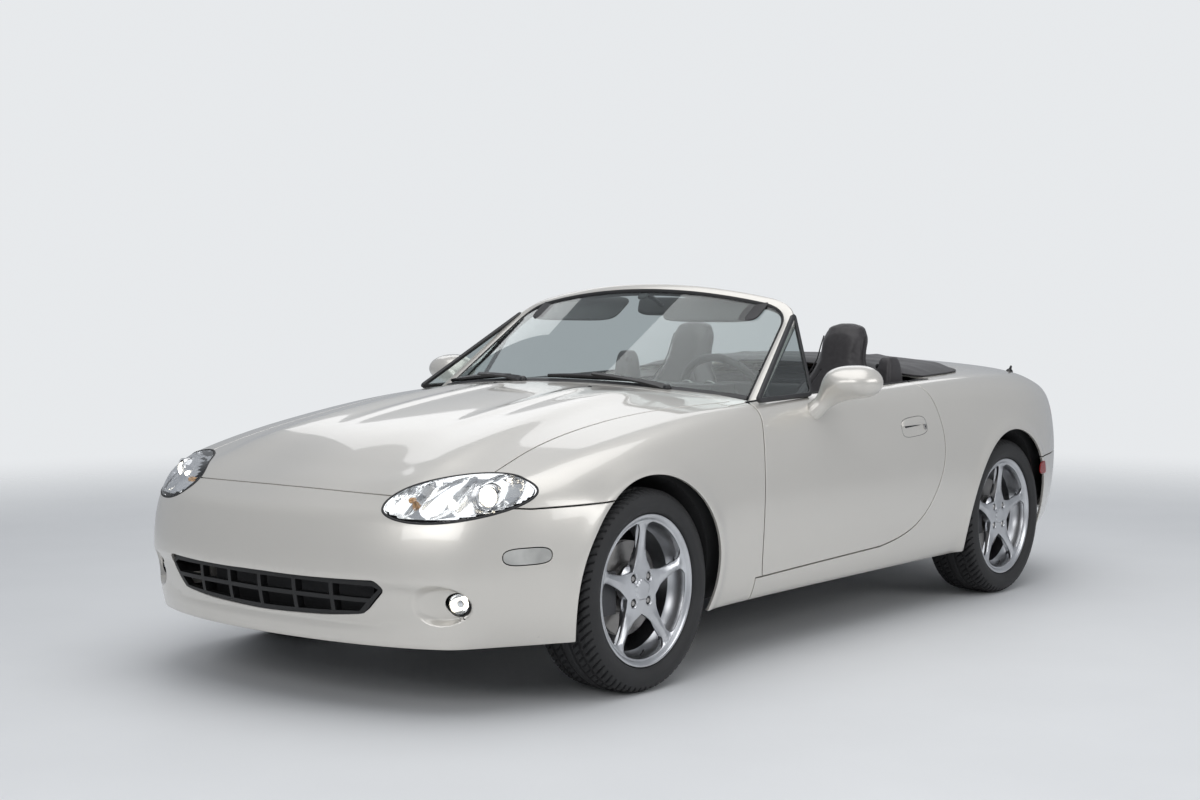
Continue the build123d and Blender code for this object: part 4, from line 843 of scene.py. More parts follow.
# Arch edge on the skin from height z0 in front to height z1 behind.
def archCurve(ay, z0, z1, radius=archRadius, count=160):
    a0 = math.pi - math.asin((z0 - archZ) / radius)
    a1 = math.asin((z1 - archZ) / radius)
    t = np.linspace(a0, a1, count)
    return skinX(ay + radius * np.cos(t), archZ + radius * np.sin(t))


# Smooth curve through 2D or 3D points.
def throughPoints(points, count=160):
    points = np.asarray(points, float)
    run = np.concatenate([[0], np.cumsum(np.linalg.norm(np.diff(points, axis=0), axis=1))])
    return spline(run, points, np.linspace(0, run[-1], count))


# Closed outline whose corners are rounded.
def roundCorners(points, radii, count=8):
    out = []
    for k, r in enumerate(radii):
        a, b, c = [np.array(points[(k + i) % len(points)], float) for i in (-1, 0, 1)]
        p = b + (a - b) / np.linalg.norm(a - b) * r
        q = b + (c - b) / np.linalg.norm(c - b) * r
        t = np.linspace(0, 1, count)[:, None]
        out.append((1 - t) ** 2 * p + 2 * t * (1 - t) * b + t ** 2 * q)
    out = np.vstack(out)
    return np.vstack([out, out[:1]])


# Part of a side-view curve, carried to the skin, that lies outside x0.
def cutAbove(curve2, x0=700.0):
    p = skinX(curve2[:, 0], curve2[:, 1])
    return p[p[:, 0] > x0 + 0.5]


# Skin over a line of constant x, from y0 to y1.
def topLine(x, y0, y1, count=60):
    y = np.linspace(y0, y1, count)
    return skinZ(float(x), y)


# Painted panels.
# The seam under the hood across the nose, found by following seamZ.
def seamFront(x0, x1, count=80):
    x = np.linspace(x0, x1, count)
    p = skinFront(x, 588.0)
    for turn in range(4):
        p = skinFront(x, seamZ(p[:, 1]))
    return p


# The seam's run along the side.
def seamSide(y0, y1, count=80):
    y = np.linspace(y0, y1, count)
    return skinX(y, seamZ(y))


# Skin along the plane x, from one angle to another about (y0, z0).
def fanLine(x, a0, a1, y0=1350.0, z0=450.0, count=80):
    a = np.linspace(a0, a1, count)
    return march(rows3(np.full(count, float(x)), y0, z0), rows3(0.0 * a, np.sin(a), np.cos(a)))


# Skin at the height z round the upright axis (0, y0).
def levelLine(z, y0, face, a0, a1, count=120):
    a = np.linspace(a0, a1, count)
    return march(rows3(0.0, np.full(count, float(y0)), z), rows3(np.sin(a), face * np.cos(a), 0.0 * a))


sillZ = 190.0
# Trunk lid and deck: half width low down, heights of the lid's lower edge and of its turn, front edges.
lidLowX = 472.5
lidLowZ = 637.0
lidTurnZ = 742.5
lidFrontY = 1116.0
tailLamp = {"x": 615.0, "z": 660.0, "halfWidth": 108.0, "halfHeight": 62.0}
deckFrontY = 1084.0
tailSeamZ = 505.0
xInner = float(lampCurve([tInner])[0, 0])
pTop = lampCurve([tTop])[0]
pOuter = lampCurve([tOuter])[0]
seamArchY = -1386.0
for turn in range(4):
    seamArchY = frontAxle - math.sqrt(archRadius ** 2 - (seamZ(seamArchY) - archZ) ** 2)
sideLine = hoodSide[hoodSide[:, 1] > pTop[1]]
sideSkin = skinZ(sideLine[:, 0], sideLine[:, 1])
sideSkin = np.vstack([pTop[None], sideSkin])
lampAbove = lampCurve(np.linspace(tInner, tTop, 90))
lampOuter = lampCurve(np.linspace(tTop, tOuter - 2 * math.pi, 90))
lampBelow = lampCurve(np.linspace(tOuter, tInner, 160))
frontHalf = seamFront(0.0, xInner)
rearArc = skinZ(hoodRear[:, 0], hoodRear[:, 1])

hoodLoop = [np.vstack([mirrorCurve(frontHalf), frontHalf[1:]]), lampAbove, sideSkin, rearArc,
            mirrorCurve(sideSkin), mirrorCurve(lampAbove)]
hoodSkin = shell("hood_skin", [hoodLoop], fanChart(-1350.0, 200.0), paint, "hood", step=15.0, thick=9.0)
print("hood", len(hoodSkin.data.vertices))

doorFront = [(-602.0, 263.0), (-634.0, 455.0), (-528.0, 835.0)]
doorBack = [(458.0, 880.0), (492.0, 815.0), (516.0, 750.0), (529.0, 680.0), (531.0, 610.0), (516.0, 535.0),
            (482.0, 465.0), (432.0, 398.0), (365.0, 343.0), (265.0, 304.0), (120.0, 280.0)]
frontArc = arc3(*doorFront, count=120)
frontSkin = cutAbove(frontArc)
backLine = throughPoints(doorBack, 240)
backSkin = cutAbove(backLine)
footLine = np.linspace(doorBack[-1], doorFront[0], 80)
footSkin = skinX(footLine[:, 0], footLine[:, 1])
doorTop = topLine(700.0, frontSkin[-1, 1], backSkin[0, 1], 120)
foot = np.array(doorFront[0])
y0 = float(foot[0])
z0 = float(foot[1])
cowlY = -650.0
sideAhead = sideSkin[sideSkin[:, 1] < cowlY]

quarterTop = topLine(700.0, backSkin[0, 1] + 8.0, 640.0, 60)


# Tail lamp's outline on the skin, smaller by inset.
def tailOval(t, inset):
    return skinRear(*ovalCurve(tailLamp["x"], tailLamp["z"], tailLamp["halfWidth"] - inset,
                               tailLamp["halfHeight"] - inset, 0.0, t))


for flip, tag, sign in sides:
    body = "door_" + tag
    fenderLoop = [
        lampOuter,
        seamSide(pOuter[1], seamArchY),
        archCurve(frontAxle, seamZ(seamArchY), sillZ),
        skinX(np.linspace(frontAxle + math.sqrt(archRadius ** 2 - (sillZ - archZ) ** 2), -640.0, 40),
              sillZ),
        skinX(-640.0, np.linspace(sillZ, z0, 20)),
        skinX(np.linspace(-640.0, y0, 12), z0),
        frontSkin,
        topLine(700.0, frontSkin[-1, 1], cowlY, 20),
        skinZ(np.linspace(700.0, float(hoodX(cowlY)), 20), cowlY),
        np.vstack([skinZ(hoodX(np.array([cowlY])), np.array([cowlY])), sideAhead[::-1]]),
    ]
    shell("fender_skin_" + tag, [fenderLoop], sideChart(), paint, step=15.0, thick=9.0, mirror=flip)
    doorLoop = [frontSkin[::-1], footSkin[::-1], backSkin[::-1], doorTop[::-1]]
    shell("door_skin_" + tag, [doorLoop], sideChart(), paint, body, step=15.0, thick=2.2, mirror=flip,
          inner=False)
    jointA = np.linspace(0, 1, 120)
    low = skinX([1300.0], [archZ + math.sqrt(archRadius ** 2 - 232 ** 2)])[0]
    edgeTop = skinZ([520.0], [1300.0])[0]
    psi0 = math.atan2(low[2] - 480, low[0] - 450)
    psi1 = math.atan2(edgeTop[2] - 480, edgeTop[0] - 450)
    psi = psi0 + (psi1 - psi0) * jointA
    joint = march(rows3(450.0, 1300.0, 480.0 + 0 * psi), rows3(np.cos(psi), 0 * psi, np.sin(psi)))
    archAngle0 = math.pi - math.asin((sillZ - archZ) / archRadius)
    archAngle1 = math.acos(232.0 / archRadius)
    t = np.linspace(archAngle0, archAngle1, 160)
    archA = skinX(rearAxle + archRadius * np.cos(t), archZ + archRadius * np.sin(t))
    t = np.linspace(archAngle1, math.asin((tailSeamZ - archZ) / archRadius), 20)
    archB = skinX(rearAxle + archRadius * np.cos(t), archZ + archRadius * np.sin(t))
    quarterLoop = [
        backSkin,
        footSkin,
        skinX(np.linspace(y0, -640.0, 12), z0),
        skinX(-640.0, np.linspace(z0, sillZ, 20)),
        skinX(np.linspace(-640.0, rearAxle - math.sqrt(archRadius ** 2 - (sillZ - archZ) ** 2), 100),
              sillZ),
        archA,
        (joint, True),
        topLine(520.0, 1300.0, lidFrontY, 40),
        skinZ(np.linspace(520.0, 565.0, 10), lidFrontY),
        topLine(565.0, lidFrontY, 662.0, 80),
        skinZ(np.linspace(565.0, 700.0, 20), 662.0),
        topLine(700.0, 662.0, backSkin[0, 1], 60),
    ]
    shell("quarter_skin_" + tag, [quarterLoop], sideChart(), paint, step=15.0, thick=9.0, mirror=flip)
    tailSeam = levelLine(tailSeamZ, 1300.0, 1, math.atan2(archB[-1, 0], archB[-1, 1] - 1300),
                         math.atan2(lidLowX, 640), 200)
    tailSeam = tailSeam[tailSeam[:, 0] > lidLowX]
    up = skinRear(lidLowX, np.linspace(tailSeamZ, lidTurnZ, 60))
    across = skinRear(np.linspace(lidLowX, 520.0, 10), lidTurnZ)
    bend = across[-1]
    side = fanLine(520.0, math.atan2(bend[1] - 1350, bend[2] - 450), math.atan2(-50.0, edgeTop[2] - 450),
                   count=120)
    lampT = np.linspace(0, 2 * math.pi, 200)
    tailHole = tailOval(lampT, 0.0)
    tailLoop = [(joint[::-1], True), archB, tailSeam, up, across, side]
    shell("tail_skin_" + tag, [tailLoop, [tailHole]], ballChart(150.0, 1100.0, 450.0), paint,
          step=13.0, thick=9.0, mirror=flip)
print("sides")

lidFront = skinZ(np.linspace(-520.0, 520.0, 120), lidFrontY)
lidLow = skinRear(np.linspace(lidLowX, -lidLowX, 120), lidLowZ)
lidSideUp = fanLine(520.0, math.atan2(lidFrontY - 1350, lidFront[-1, 2] - 450),
                    math.atan2(bend[1] - 1350, bend[2] - 450), count=140)
lidDown = skinRear(lidLowX, np.linspace(lidTurnZ, lidLowZ, 30))
lidLoop = [lidFront, lidSideUp, across[::-1], lidDown, lidLow, mirrorCurve(lidDown),
           mirrorCurve(across[::-1]), mirrorCurve(lidSideUp)]
shell("trunk_skin", [lidLoop], fanChart(1350.0, 450.0), paint, "trunk_lid", step=15.0, thick=20.0)
deckLoop = [skinZ(np.linspace(-565.0, 565.0, 100), deckFrontY), topLine(565.0, deckFrontY, lidFrontY, 8),
            skinZ(np.linspace(565.0, -565.0, 100), lidFrontY), topLine(-565.0, lidFrontY, deckFrontY, 8)]
shell("deck_skin", [deckLoop], fanChart(1000.0, 300.0), paint, step=12.0, thick=12.0)
cowlLoop = [
    skinZ(np.linspace(float(hoodX(cowlY)), 700.0, 20), cowlY),
    topLine(700.0, cowlY, -520.0, 30),
    skinZ(np.linspace(700.0, -700.0, 160), -520.0),
    topLine(-700.0, -520.0, cowlY, 30),
    skinZ(np.linspace(-700.0, -float(hoodX(cowlY)), 20), cowlY),
    mirrorCurve(skinZ(hoodX(np.linspace(-592.0, cowlY, 20)), np.linspace(-592.0, cowlY, 20))),
    rearArc[::-1],
    skinZ(hoodX(np.linspace(-592.0, cowlY, 20)), np.linspace(-592.0, cowlY, 20)),
]
shell("cowl_skin", [cowlLoop], fanChart(-600.0, 300.0), paint, step=14.0, thick=9.0)
print("lids")

# Bumpers.
t = np.linspace(math.pi - math.asin((sillZ - archZ) / archRadius),
                math.pi - math.asin((seamZ(seamArchY) - archZ) / archRadius), 80)
archUp = skinX(frontAxle + archRadius * np.cos(t), archZ + archRadius * np.sin(t))
chin = levelLine(sillZ, -1350.0, -1, -math.atan2(archUp[0, 0], -(archUp[0, 1] + 1350)),
                 math.atan2(archUp[0, 0], -(archUp[0, 1] + 1350)), 300)
ahead = [chin, archUp, seamSide(seamArchY, pOuter[1]), lampBelow,
         frontHalf[::-1],
         frontHalf[1:] * (-1, 1, 1), mirrorCurve(lampBelow), mirrorCurve(seamSide(seamArchY, pOuter[1])),
         mirrorCurve(archUp)]
mouthT = np.linspace(0, 2 * math.pi, 240)
mouthPoints = [(0, 371), (424, 374), (440, 350), (376, 282), (250, 268), (0, 260),
               (-250, 268), (-376, 282), (-440, 350), (-424, 374)]
mouthShape = roundCorners(mouthPoints, [40, 11, 11, 30, 50, 60, 50, 30, 11, 11])
mouthCurve = skinFront(mouthShape[:, 0], mouthShape[:, 1])


fogLamp = {"x": 612.0, "z": 315.0, "hole": 31.0, "scoopX": 582.0, "scoopZ": 313.0, "scoopWidth": 83.0,
           "scoopHeight": 66.0}


marker = {"y": -1663.0, "z": 441.0, "halfLength": 62.0, "halfHeight": 22.0, "slope": 0.02}


# Side marker: a nearly level pill on the bumper's flank.
def markerCurve():
    c, s = np.cos(mouthT), np.sin(mouthT)
    y = marker["y"] + marker["halfLength"] * np.sign(c) * np.abs(c) ** 0.55
    z = (marker["z"] + marker["slope"] * (y - marker["y"])
         + marker["halfHeight"] * np.sign(s) * np.abs(s) ** 0.75)
    return skinX(y, z)


lampHole = [skinFront(*ovalCurve(fogLamp["x"], fogLamp["z"], fogLamp["hole"], fogLamp["hole"], 0.0,
                                 mouthT))]
fogRim = skinFront(*ovalCurve(fogLamp["scoopX"], fogLamp["scoopZ"], fogLamp["scoopWidth"],
                              fogLamp["scoopHeight"], 0.0, mouthT))
shell("bumper_skin_front", [ahead, [mouthCurve], [(fogRim, True)], [(mirrorCurve(fogRim), True)],
                            [markerCurve()], [mirrorCurve(markerCurve())]], drumChart(-1350.0, -1), paint,
      step=13.0, edge=8.0, thick=9.0)
t = np.linspace(math.asin((tailSeamZ - archZ) / archRadius), math.asin((206.0 - archZ) / archRadius), 80)
archDown = skinX(rearAxle + archRadius * np.cos(t), archZ + archRadius * np.sin(t))
heel = levelLine(206.0, 1300.0, 1, math.atan2(archDown[-1, 0], archDown[-1, 1] - 1300),
                 -math.atan2(archDown[-1, 0], archDown[-1, 1] - 1300), 300)
for turn in range(5):
    low = np.maximum(np.interp(heel[:, 1], stations[:, 0], stations[:, 8]) + 12, 206.0)
    a = np.arctan2(heel[:, 0], heel[:, 1] - 1300)
    heel = march(rows3(0.0, 1300.0, low), rows3(np.sin(a), np.cos(a), 0 * a))
backUp = skinRear(lidLowX, np.linspace(tailSeamZ, lidLowZ, 40))
behind = [heel, mirrorCurve(archDown), mirrorCurve(tailSeam[::-1]), mirrorCurve(backUp[::-1]),
          lidLow[::-1], backUp[::-1], tailSeam[::-1], archDown]
shell("bumper_skin_rear", [behind], drumChart(1300.0, 1), paint, step=14.0, edge=8.0, thick=9.0)
grey = makePlastic("marker_grey", (0.40, 0.40, 0.385), 0.25, 260.0, 0.12)
for flip, tag, sign in sides:
    shell("fog_scoop_" + tag, [[(fogRim, True)], lampHole], drumChart(-1350.0, -1), paint, step=4.5,
          edge=8.0, gap=0.0, thick=14.0, mirror=flip, inner=False)
    shell("side_marker_" + tag, [[markerCurve()]], sideChart(), grey, step=8.0, edge=5.0, gap=0.6,
          roll=1.6, thick=5.0, mirror=flip, inner=False)
rearY = 1352.0 + 44.0 * np.sign(np.cos(mouthT)) * np.abs(np.cos(mouthT)) ** 0.7
rearZ = 462.0 + 26.0 * np.sign(np.sin(mouthT)) * np.abs(np.sin(mouthT)) ** 0.8
for flip, tag, sign in sides:
    rearMark = shell("rear_marker_" + tag, [[skinX(rearY, rearZ)]], sideChart(), redGlass, step=8.0,
                     edge=5.0, gap=0.6, roll=1.8, thick=4.0, mirror=flip)
    setPoints(rearMark, pointsOf(rearMark) + (sign * 0.0026, 0.0006, 0.0))
print("bumpers")


# Which CAD nodes the skins stand for, and better finishes for the nodes that stay.
for skinName, nodeNames in (
    ("hood_skin", ["hood"]),
    ("fender_skin_left", ["fender_left"]),
    ("fender_skin_right", ["fender_right"]),
    ("quarter_skin_left", ["quarter_left"]),
    ("quarter_skin_right", ["quarter_right"]),
    ("trunk_skin", ["trunk_lid"]),
    ("deck_skin", ["rear_deck"]),
    ("cowl_skin", ["cowl_panel"]),
    ("bumper_skin_front", ["front_bumper"]),
    ("bumper_skin_rear", ["rear_bumper"]),
):
    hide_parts(*nodeNames)

# Intake grille darker than the black plastic: its own black plus painted shade of the mouth's depth.
intakeShadeBlack = makePlastic("intake_black_shaded", (0.006, 0.006, 0.0065), 0.5, 900.0, 0.1)
darkFins = makeMetal("radiator_fins", (0.06, 0.06, 0.062), 0.55, (1.0, 1.0, 30.0), 300.0, 0.6)
finishOf = {
    "body_tub": shadedTubPaint, "door_left": cabinPlastic, "door_right": cabinPlastic, "windscreen_frame": paint,
    "windscreen_glass": screenGlass, "sun_visors": cabinPlastic, "interior_mirror": cabinPlastic,
            "wipers": gloss,
    "vent_window_left": screenGlass, "vent_window_right": screenGlass, "mirror_left": paint,
            "mirror_right": paint,
    "headlamps": chrome, "headlamp_lenses": lampGlass, "tail_lamps": redGlass, "fog_lamps": blackPlastic,
    "intake_grille": intakeShadeBlack, "dashboard": cabinPlastic, "interior_trim": cabinPlastic,
    "steering_wheel": leather, "seat_left": leather, "seat_right": leather, "tonneau_cover": coverFabric,
    "drivetrain": iron, "radiator": darkFins, "subframes": iron, "suspension_arms": iron,
            "exhaust": bareSteel,
    "front_knuckle_left": iron, "front_knuckle_right": iron,
}
for name, node in nodes.items():
    mat = finishOf.get(name)
    if mat is None:
        mat = alloy if name.startswith("wheel_") else tyreRubber
    for k in range(len(node.data.materials)):
        node.data.materials[k] = mat


# Small builders shared by the fittings.
# Profile of (radius, distance along the axis), turned; closed where the radius reaches zero.
def lathe(name, profile, centre, axis, material, body="chassis", segments=64, sharp=38.0, spin=None):
    axis = np.array(axis, float) / np.linalg.norm(axis)
    side = np.cross(axis, (0, 0, 1.0) if abs(axis[2]) < 0.9 else (1.0, 0, 0))
    side /= np.linalg.norm(side)
    up = np.cross(axis, side)
    profile = np.asarray(profile, float)
    a = np.arange(segments) * 2 * math.pi / segments
    r = profile[:, 0][:, None, None]
    verts = (np.asarray(centre, float) + profile[:, 1][:, None, None] * axis
             + r * (np.cos(a)[None, :, None] * side + np.sin(a)[None, :, None] * up)).reshape(-1, 3)
    return finishMesh(name, verts, ringFaces(len(profile), segments), material, body, sharp)


# Mesh whose doubled points are merged, with outward faces and creases above an angle.
def finishMesh(name, verts, faces, material, body="chassis", sharp=38.0, flipX=False):
    verts = np.asarray(verts, float)
    if flipX:
        verts = verts * (-1, 1, 1)
    mesh = bpy.data.meshes.new(name)
    mesh.from_pydata((verts / 1000).tolist(), [], [tuple(int(i) for i in f) for f in faces])
    bm = bmesh.new()
    bm.from_mesh(mesh)
    bmesh.ops.remove_doubles(bm, verts=bm.verts, dist=0.00002)
    bmesh.ops.recalc_face_normals(bm, faces=bm.faces)
    bm.to_mesh(mesh)
    bm.free()
    mesh.polygons.foreach_set("use_smooth", np.ones(len(mesh.polygons), bool))
    mesh.set_sharp_from_angle(angle=math.radians(sharp))
    return addPiece(name, mesh, material, body)


# Section of (across, outward) points carried along a path; normals give the outward side.
def sweep(name, path, section, material, body="chassis", closed=False, normals=None, sharp=38.0,
          flipX=False, scale=None):
    path = np.asarray(path, float)
    n = len(path)
    if closed:
        tangent = np.roll(path, -1, 0) - np.roll(path, 1, 0)
    else:
        tangent = np.gradient(path, axis=0)
    tangent /= np.linalg.norm(tangent, axis=1, keepdims=True)
    out = np.asarray(normals, float) if normals is not None else np.tile((0.0, 0, 1.0), (n, 1))
    out = np.broadcast_to(out, path.shape)
    out = out - tangent * np.sum(out * tangent, axis=1, keepdims=True)
    out = out / np.linalg.norm(out, axis=1, keepdims=True)
    across = np.cross(tangent, out)
    section = np.asarray(section, float)
    size = np.ones(n) if scale is None else np.asarray(scale, float)
    flat = section[None, :, 0, None] * across[:, None] + section[None, :, 1, None] * out[:, None]
    verts = (path[:, None] + size[:, None, None] * flat).reshape(-1, 3)
    m = len(section)
    faces = list(ringFaces(n, m, closed))
    if not closed:
        faces += [tuple(range(m)), tuple(range((n - 1) * m, n * m))]
    return finishMesh(name, verts, faces, material, body, sharp, flipX)


# Round section for a sweep, flattened by flat.
def circleSection(radius, count=12, flat=1.0):
    a = np.arange(count) * 2 * math.pi / count
    return np.stack([radius * np.cos(a), radius * flat * np.sin(a)], -1)


# Disc-shaped patch: place(radius 0..1, angle) gives its points.
def bowlPatch(name, place, rings, spokes, material, body="chassis", flipX=False, sharp=50.0):
    r = np.linspace(0.0, 1.0, rings + 1)[1:]
    a = np.arange(spokes) * 2 * math.pi / spokes
    rr, aa = np.meshgrid(r, a, indexing="ij")
    verts = np.vstack([place(np.array([0.0]), np.array([0.0])), place(rr.ravel(), aa.ravel())])
    faces = [(0, 1 + i, 1 + (i + 1) % spokes) for i in range(spokes)]
    faces += list(1 + ringFaces(rings, spokes, turned=True))
    return finishMesh(name, verts, faces, material, body, sharp, flipX)


# Lamps: clear lens in a rubber seal, a chrome bowl of three reflectors, a projector and two bulbs.
glowMat, glowTree, glowShade = shader("lamp_glow", Roughness=0.3)
glowShade.inputs["Emission Strength"].default_value = 5.0
glowNoise = noiseNode(glowTree, 40.0, 1.0)
rampTo(glowTree, glowNoise.outputs["Fac"], glowShade.inputs["Emission Color"],
       [(0.2, (1.0, 0.90, 0.72)), (0.8, (1.0, 0.95, 0.84))])
rampTo(glowTree, glowNoise.outputs["Fac"], glowShade.inputs["Base Color"],
       [(0.2, (1, 0.9, 0.8)), (0.8, (1, 1, 0.95))])
amber = makeGlass("amber_bulb", (0.95, 0.55, 0.22), 0.15, 1.45, 0.4)

# Reflectors. Columns: x, z, radius, depth.
reflectors = np.array([(650, 597, 60, 62), (557, 592, 50, 52), (468, 584, 44, 34)], float)


# Depth of the lamp bowl: the deepest of the reflectors, each a dome upside down, with fine ribs inboard.
def bowlDepth(x, z):
    depth = np.full(x.shape, headlamp["bowlDepth"])
    for cx, cz, r, d in reflectors:
        q = ((x - cx) ** 2 + (z - cz) ** 2) / r ** 2
        depth = np.maximum(depth, headlamp["bowlDepth"] + d * np.clip(1 - q, 0, 1) ** 0.8)
    ribs = 1.5 * np.sin(x * 2 * math.pi / 9.0) * np.clip((508 - x) / 10, 0, 1)
    return depth + ribs


# Bowl under the headlamp lens, by radius 0..1 and angle.
def lampBowl(r, a):
    x, z = ovalCurve(headlamp["x"], headlamp["z"], (headlamp["halfWidth"] - 2) * r,
                     (headlamp["halfHeight"] - 2) * r, headlamp["tilt"], a)
    p = skinFront(x, z)
    depth = bowlDepth(x, z) * np.clip((1.0 - r) / 0.12, 0, 1) + 4.0
    return p + rows3(0.0 * depth - 0.35 * depth, 0.94 * depth, 0.0)


lampSeal = circleSection(3.6, 10, 0.8)
for flip, tag, sign in sides:
    lens = shell("headlamp_lens_" + tag, [[lampCurve(turns[::-4], -1.0)]], drumChart(-1350.0, -1),
                 lampGlass, step=9.0, edge=6.0, gap=0.6, roll=1.6, thick=3.2, mirror=flip)
    rim = lampCurve(turns[::8][:-1], 0.0)
    seal = sweep("headlamp_seal_" + tag, rim - slope(rim) * 1.2, lampSeal, sealRubber, closed=True,
                 normals=slope(rim), flipX=flip)
    bowl = bowlPatch("headlamp_bowl_" + tag, lampBowl, 40, 168, chrome, flipX=flip)
    for k, (cx, cz, r, d) in enumerate(reflectors):
        root = skinFront([cx], [cz])[0]
        aim = np.array([0.35, -0.94, 0.0])
        deep = root - aim * (d + 4.0)
        if k == 0:
            ring = [(31, -2), (34, 2), (34, 34), (32, 38), (28, 36), (27, 2)]
            ball = [(0, 48), (8, 47), (15, 44), (21, 39), (25, 33), (27, 26), (25, 20), (18, 16), (0, 15)]
            disc = [(0, 12), (25, 12), (25, 8), (0, 8)]
            parts = [("projector_ring_", ring, chrome), ("projector_lens_", ball, lampGlass),
                     ("projector_glow_", disc, glowMat)]
        else:
            bulb = [(0, 26), (4, 25), (7, 21), (8, 14), (7, 4), (7, -2), (0, -2)]
            parts = [("lamp_bulb_%d_" % k, bulb, glowMat if k == 1 else amber)]
        for word, profile, mat in parts:
            piece = lathe(word + tag, profile, deep * (sign, 1, 1), aim * (sign, 1, 1), mat,
                          "chassis", 40)
    tailT = np.linspace(2 * math.pi, 0, 180)
    tail = shell("tail_lens_" + tag, [[tailOval(tailT, 1.0)]], ballChart(150.0, 1100.0, 450.0), redGlass,
                 step=9.0, edge=6.0, gap=1.0, roll=1.8, thick=4.0, mirror=flip)

    # Bowl under the tail lens with a checked bottom.
    def tailBowl(r, a):
        x, z = ovalCurve(tailLamp["x"], tailLamp["z"], (tailLamp["halfWidth"] - 3) * r,
                         (tailLamp["halfHeight"] - 3) * r, 0.0, a)
        p = skinRear(x, z)
        cells = 3.0 * np.cos(x * 2 * math.pi / 26.0) * np.cos(z * 2 * math.pi / 26.0)
        return p - slope(p) * (7.0 + 22.0 * np.clip((1 - r) / 0.25, 0, 1) + cells)[:, None]
    back = bowlPatch("tail_bowl_" + tag, tailBowl, 26, 110, chrome, flipX=flip)
    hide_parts("tail_lamps")
    fog = skinFront([fogLamp["x"]], [fogLamp["z"]])[0]
    fogAim = np.array([0.32, -0.95, 0.0])
    ring = [(30, 2), (33, 0), (33.5, -3), (33, -26), (24, -40), (10, -44), (0, -44), (0, -42), (10, -41),
            (22, -34), (28, -10), (28.5, 1)]
    dome = [(0, 6), (10, 5), (19, 2), (25, -2), (28.4, -6), (28.4, -8), (19, -1.5), (10, 2), (0, 3)]
    cup = [(28.3, -4), (27, -12), (22, -24), (13, -33), (6, -36), (0, -36), (0, -38), (14, -35), (24, -25),
           (28.4, -8)]
    bulb = [(0, -14), (5, -16), (7, -22), (7, -36), (0, -36)]
    shade = [(0, -6), (9, -7), (11, -10), (9, -12), (0, -11)]
    for word, profile, mat in (("fog_housing_", ring, gloss), ("fog_lens_", dome, lampGlass),
                               ("fog_bulb_", bulb, glowMat), ("fog_shade_", shade, chrome),
                               ("fog_cup_", cup, chrome)):
        piece = lathe(word + tag, profile, (fog + fogAim * 1.0) * (sign, 1, 1), fogAim * (sign, 1, 1), mat,
                      "chassis", 48)
        if word == "fog_housing_":
            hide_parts("fog_lamps")
    if not flip:
        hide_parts("headlamp_lenses")
        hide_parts("headlamps")
print("lamps")


# Wheels and tyres, in wheel coordinates: x outwards from the wheel's middle, radius from the axle.
wheel = {"spokes": 5, "lugs": 4, "lugCircle": 50.0, "lugHole": 11.0, "axleZ": 295.0,
         "axles": (("front", frontAxle, 1415.0), ("rear", rearAxle, 1428.0))}
spokeWide = np.array([(70, 41.2), (76, 36), (84, 30.5), (96, 25), (112, 21), (130, 18.5), (150, 16.8),
                      (168, 16.2), (180, 17.8), (188, 22), (193, 28), (197, 38)], float)


# Spoke's half width by radius.
def spokeHalf(r):
    return spline(spokeWide[:, 0], spokeWide[:, 1:], r)[..., 0]


# Radius, and distance along and across from the nearest spoke's centreline.
def nearSpoke(y, z):
    r = np.hypot(y, z)
    a = np.arctan2(z, y) - math.pi / 2
    fold = (a + math.pi / 5) % (2 * math.pi / 5) - math.pi / 5
    return r, np.abs(r * np.sin(fold)), r * np.cos(fold)


# Height of the wheel face: a disc that dips at the hub, a crown on each spoke, a rounded spoke edge,
# a raised cap and four sunk lug seats.
def faceHeight(y, z):
    r, off, along = nearSpoke(y, z)
    base = np.interp(r, [0, 30, 62, 90, 130, 170, 190, 200, 204], [69, 69, 67.5, 66, 67.5, 71.5, 75, 79,
                                                                   80])
    half = spokeHalf(np.clip(r, 70, 197))
    ridge = np.interp(r, [58, 90, 130, 175, 196], [0, 2.5, 6.5, 7.5, 1.0])
    h = base + ridge * (1 - np.clip(off / half, 0, 1) ** 1.15)
    edge = np.clip((off - half + 5) / 5, 0, 1)
    h = h - 2.0 * edge ** 2 * np.clip((r - 80) / 20, 0, 1) * np.clip((194 - r) / 8, 0, 1)
    fold = (np.arctan2(z, y) - math.pi / 2) * 2.5
    cap = 31.0 + 2.0 * np.cos(2 * fold)
    h = h + 4.0 * np.clip((cap - r) / 2.5, 0, 1)
    for k in range(4):
        a = math.radians(45 + 90 * k)
        d = np.hypot(y - wheel["lugCircle"] * math.cos(a), z - wheel["lugCircle"] * math.sin(a))
        h = h - 7.0 * np.clip((14.5 - d) / 4.0, 0, 1)
    return h


# Rays along the axle, by the wheel's own y and z.
def wheelChart():
    def rays(uv):
        return rows3(0.0, uv[:, 0], uv[:, 1]), rows3(np.ones(len(uv)), 0, 0)

    def flat(p):
        return p[:, 1:3].copy()
    return rays, flat


# The wheel face met by a ray.
def faceSurface(o, w):
    return rows3(faceHeight(o[:, 1], o[:, 2]), o[:, 1], o[:, 2])


# Normal of the wheel face from its height's slopes.
def faceNormal(p):
    dy = (faceHeight(p[:, 1] + 0.6, p[:, 2]) - faceHeight(p[:, 1] - 0.6, p[:, 2])) / 1.2
    dz = (faceHeight(p[:, 1], p[:, 2] + 0.6) - faceHeight(p[:, 1], p[:, 2] - 0.6)) / 1.2
    n = rows3(np.ones(len(p)), -dy, -dz)
    return n / np.linalg.norm(n, axis=1, keepdims=True)


# Point of the wheel face by radius and angle.
def onFace(r, a):
    y, z = r * np.cos(a), r * np.sin(a)
    return rows3(faceHeight(y, z), y, z)


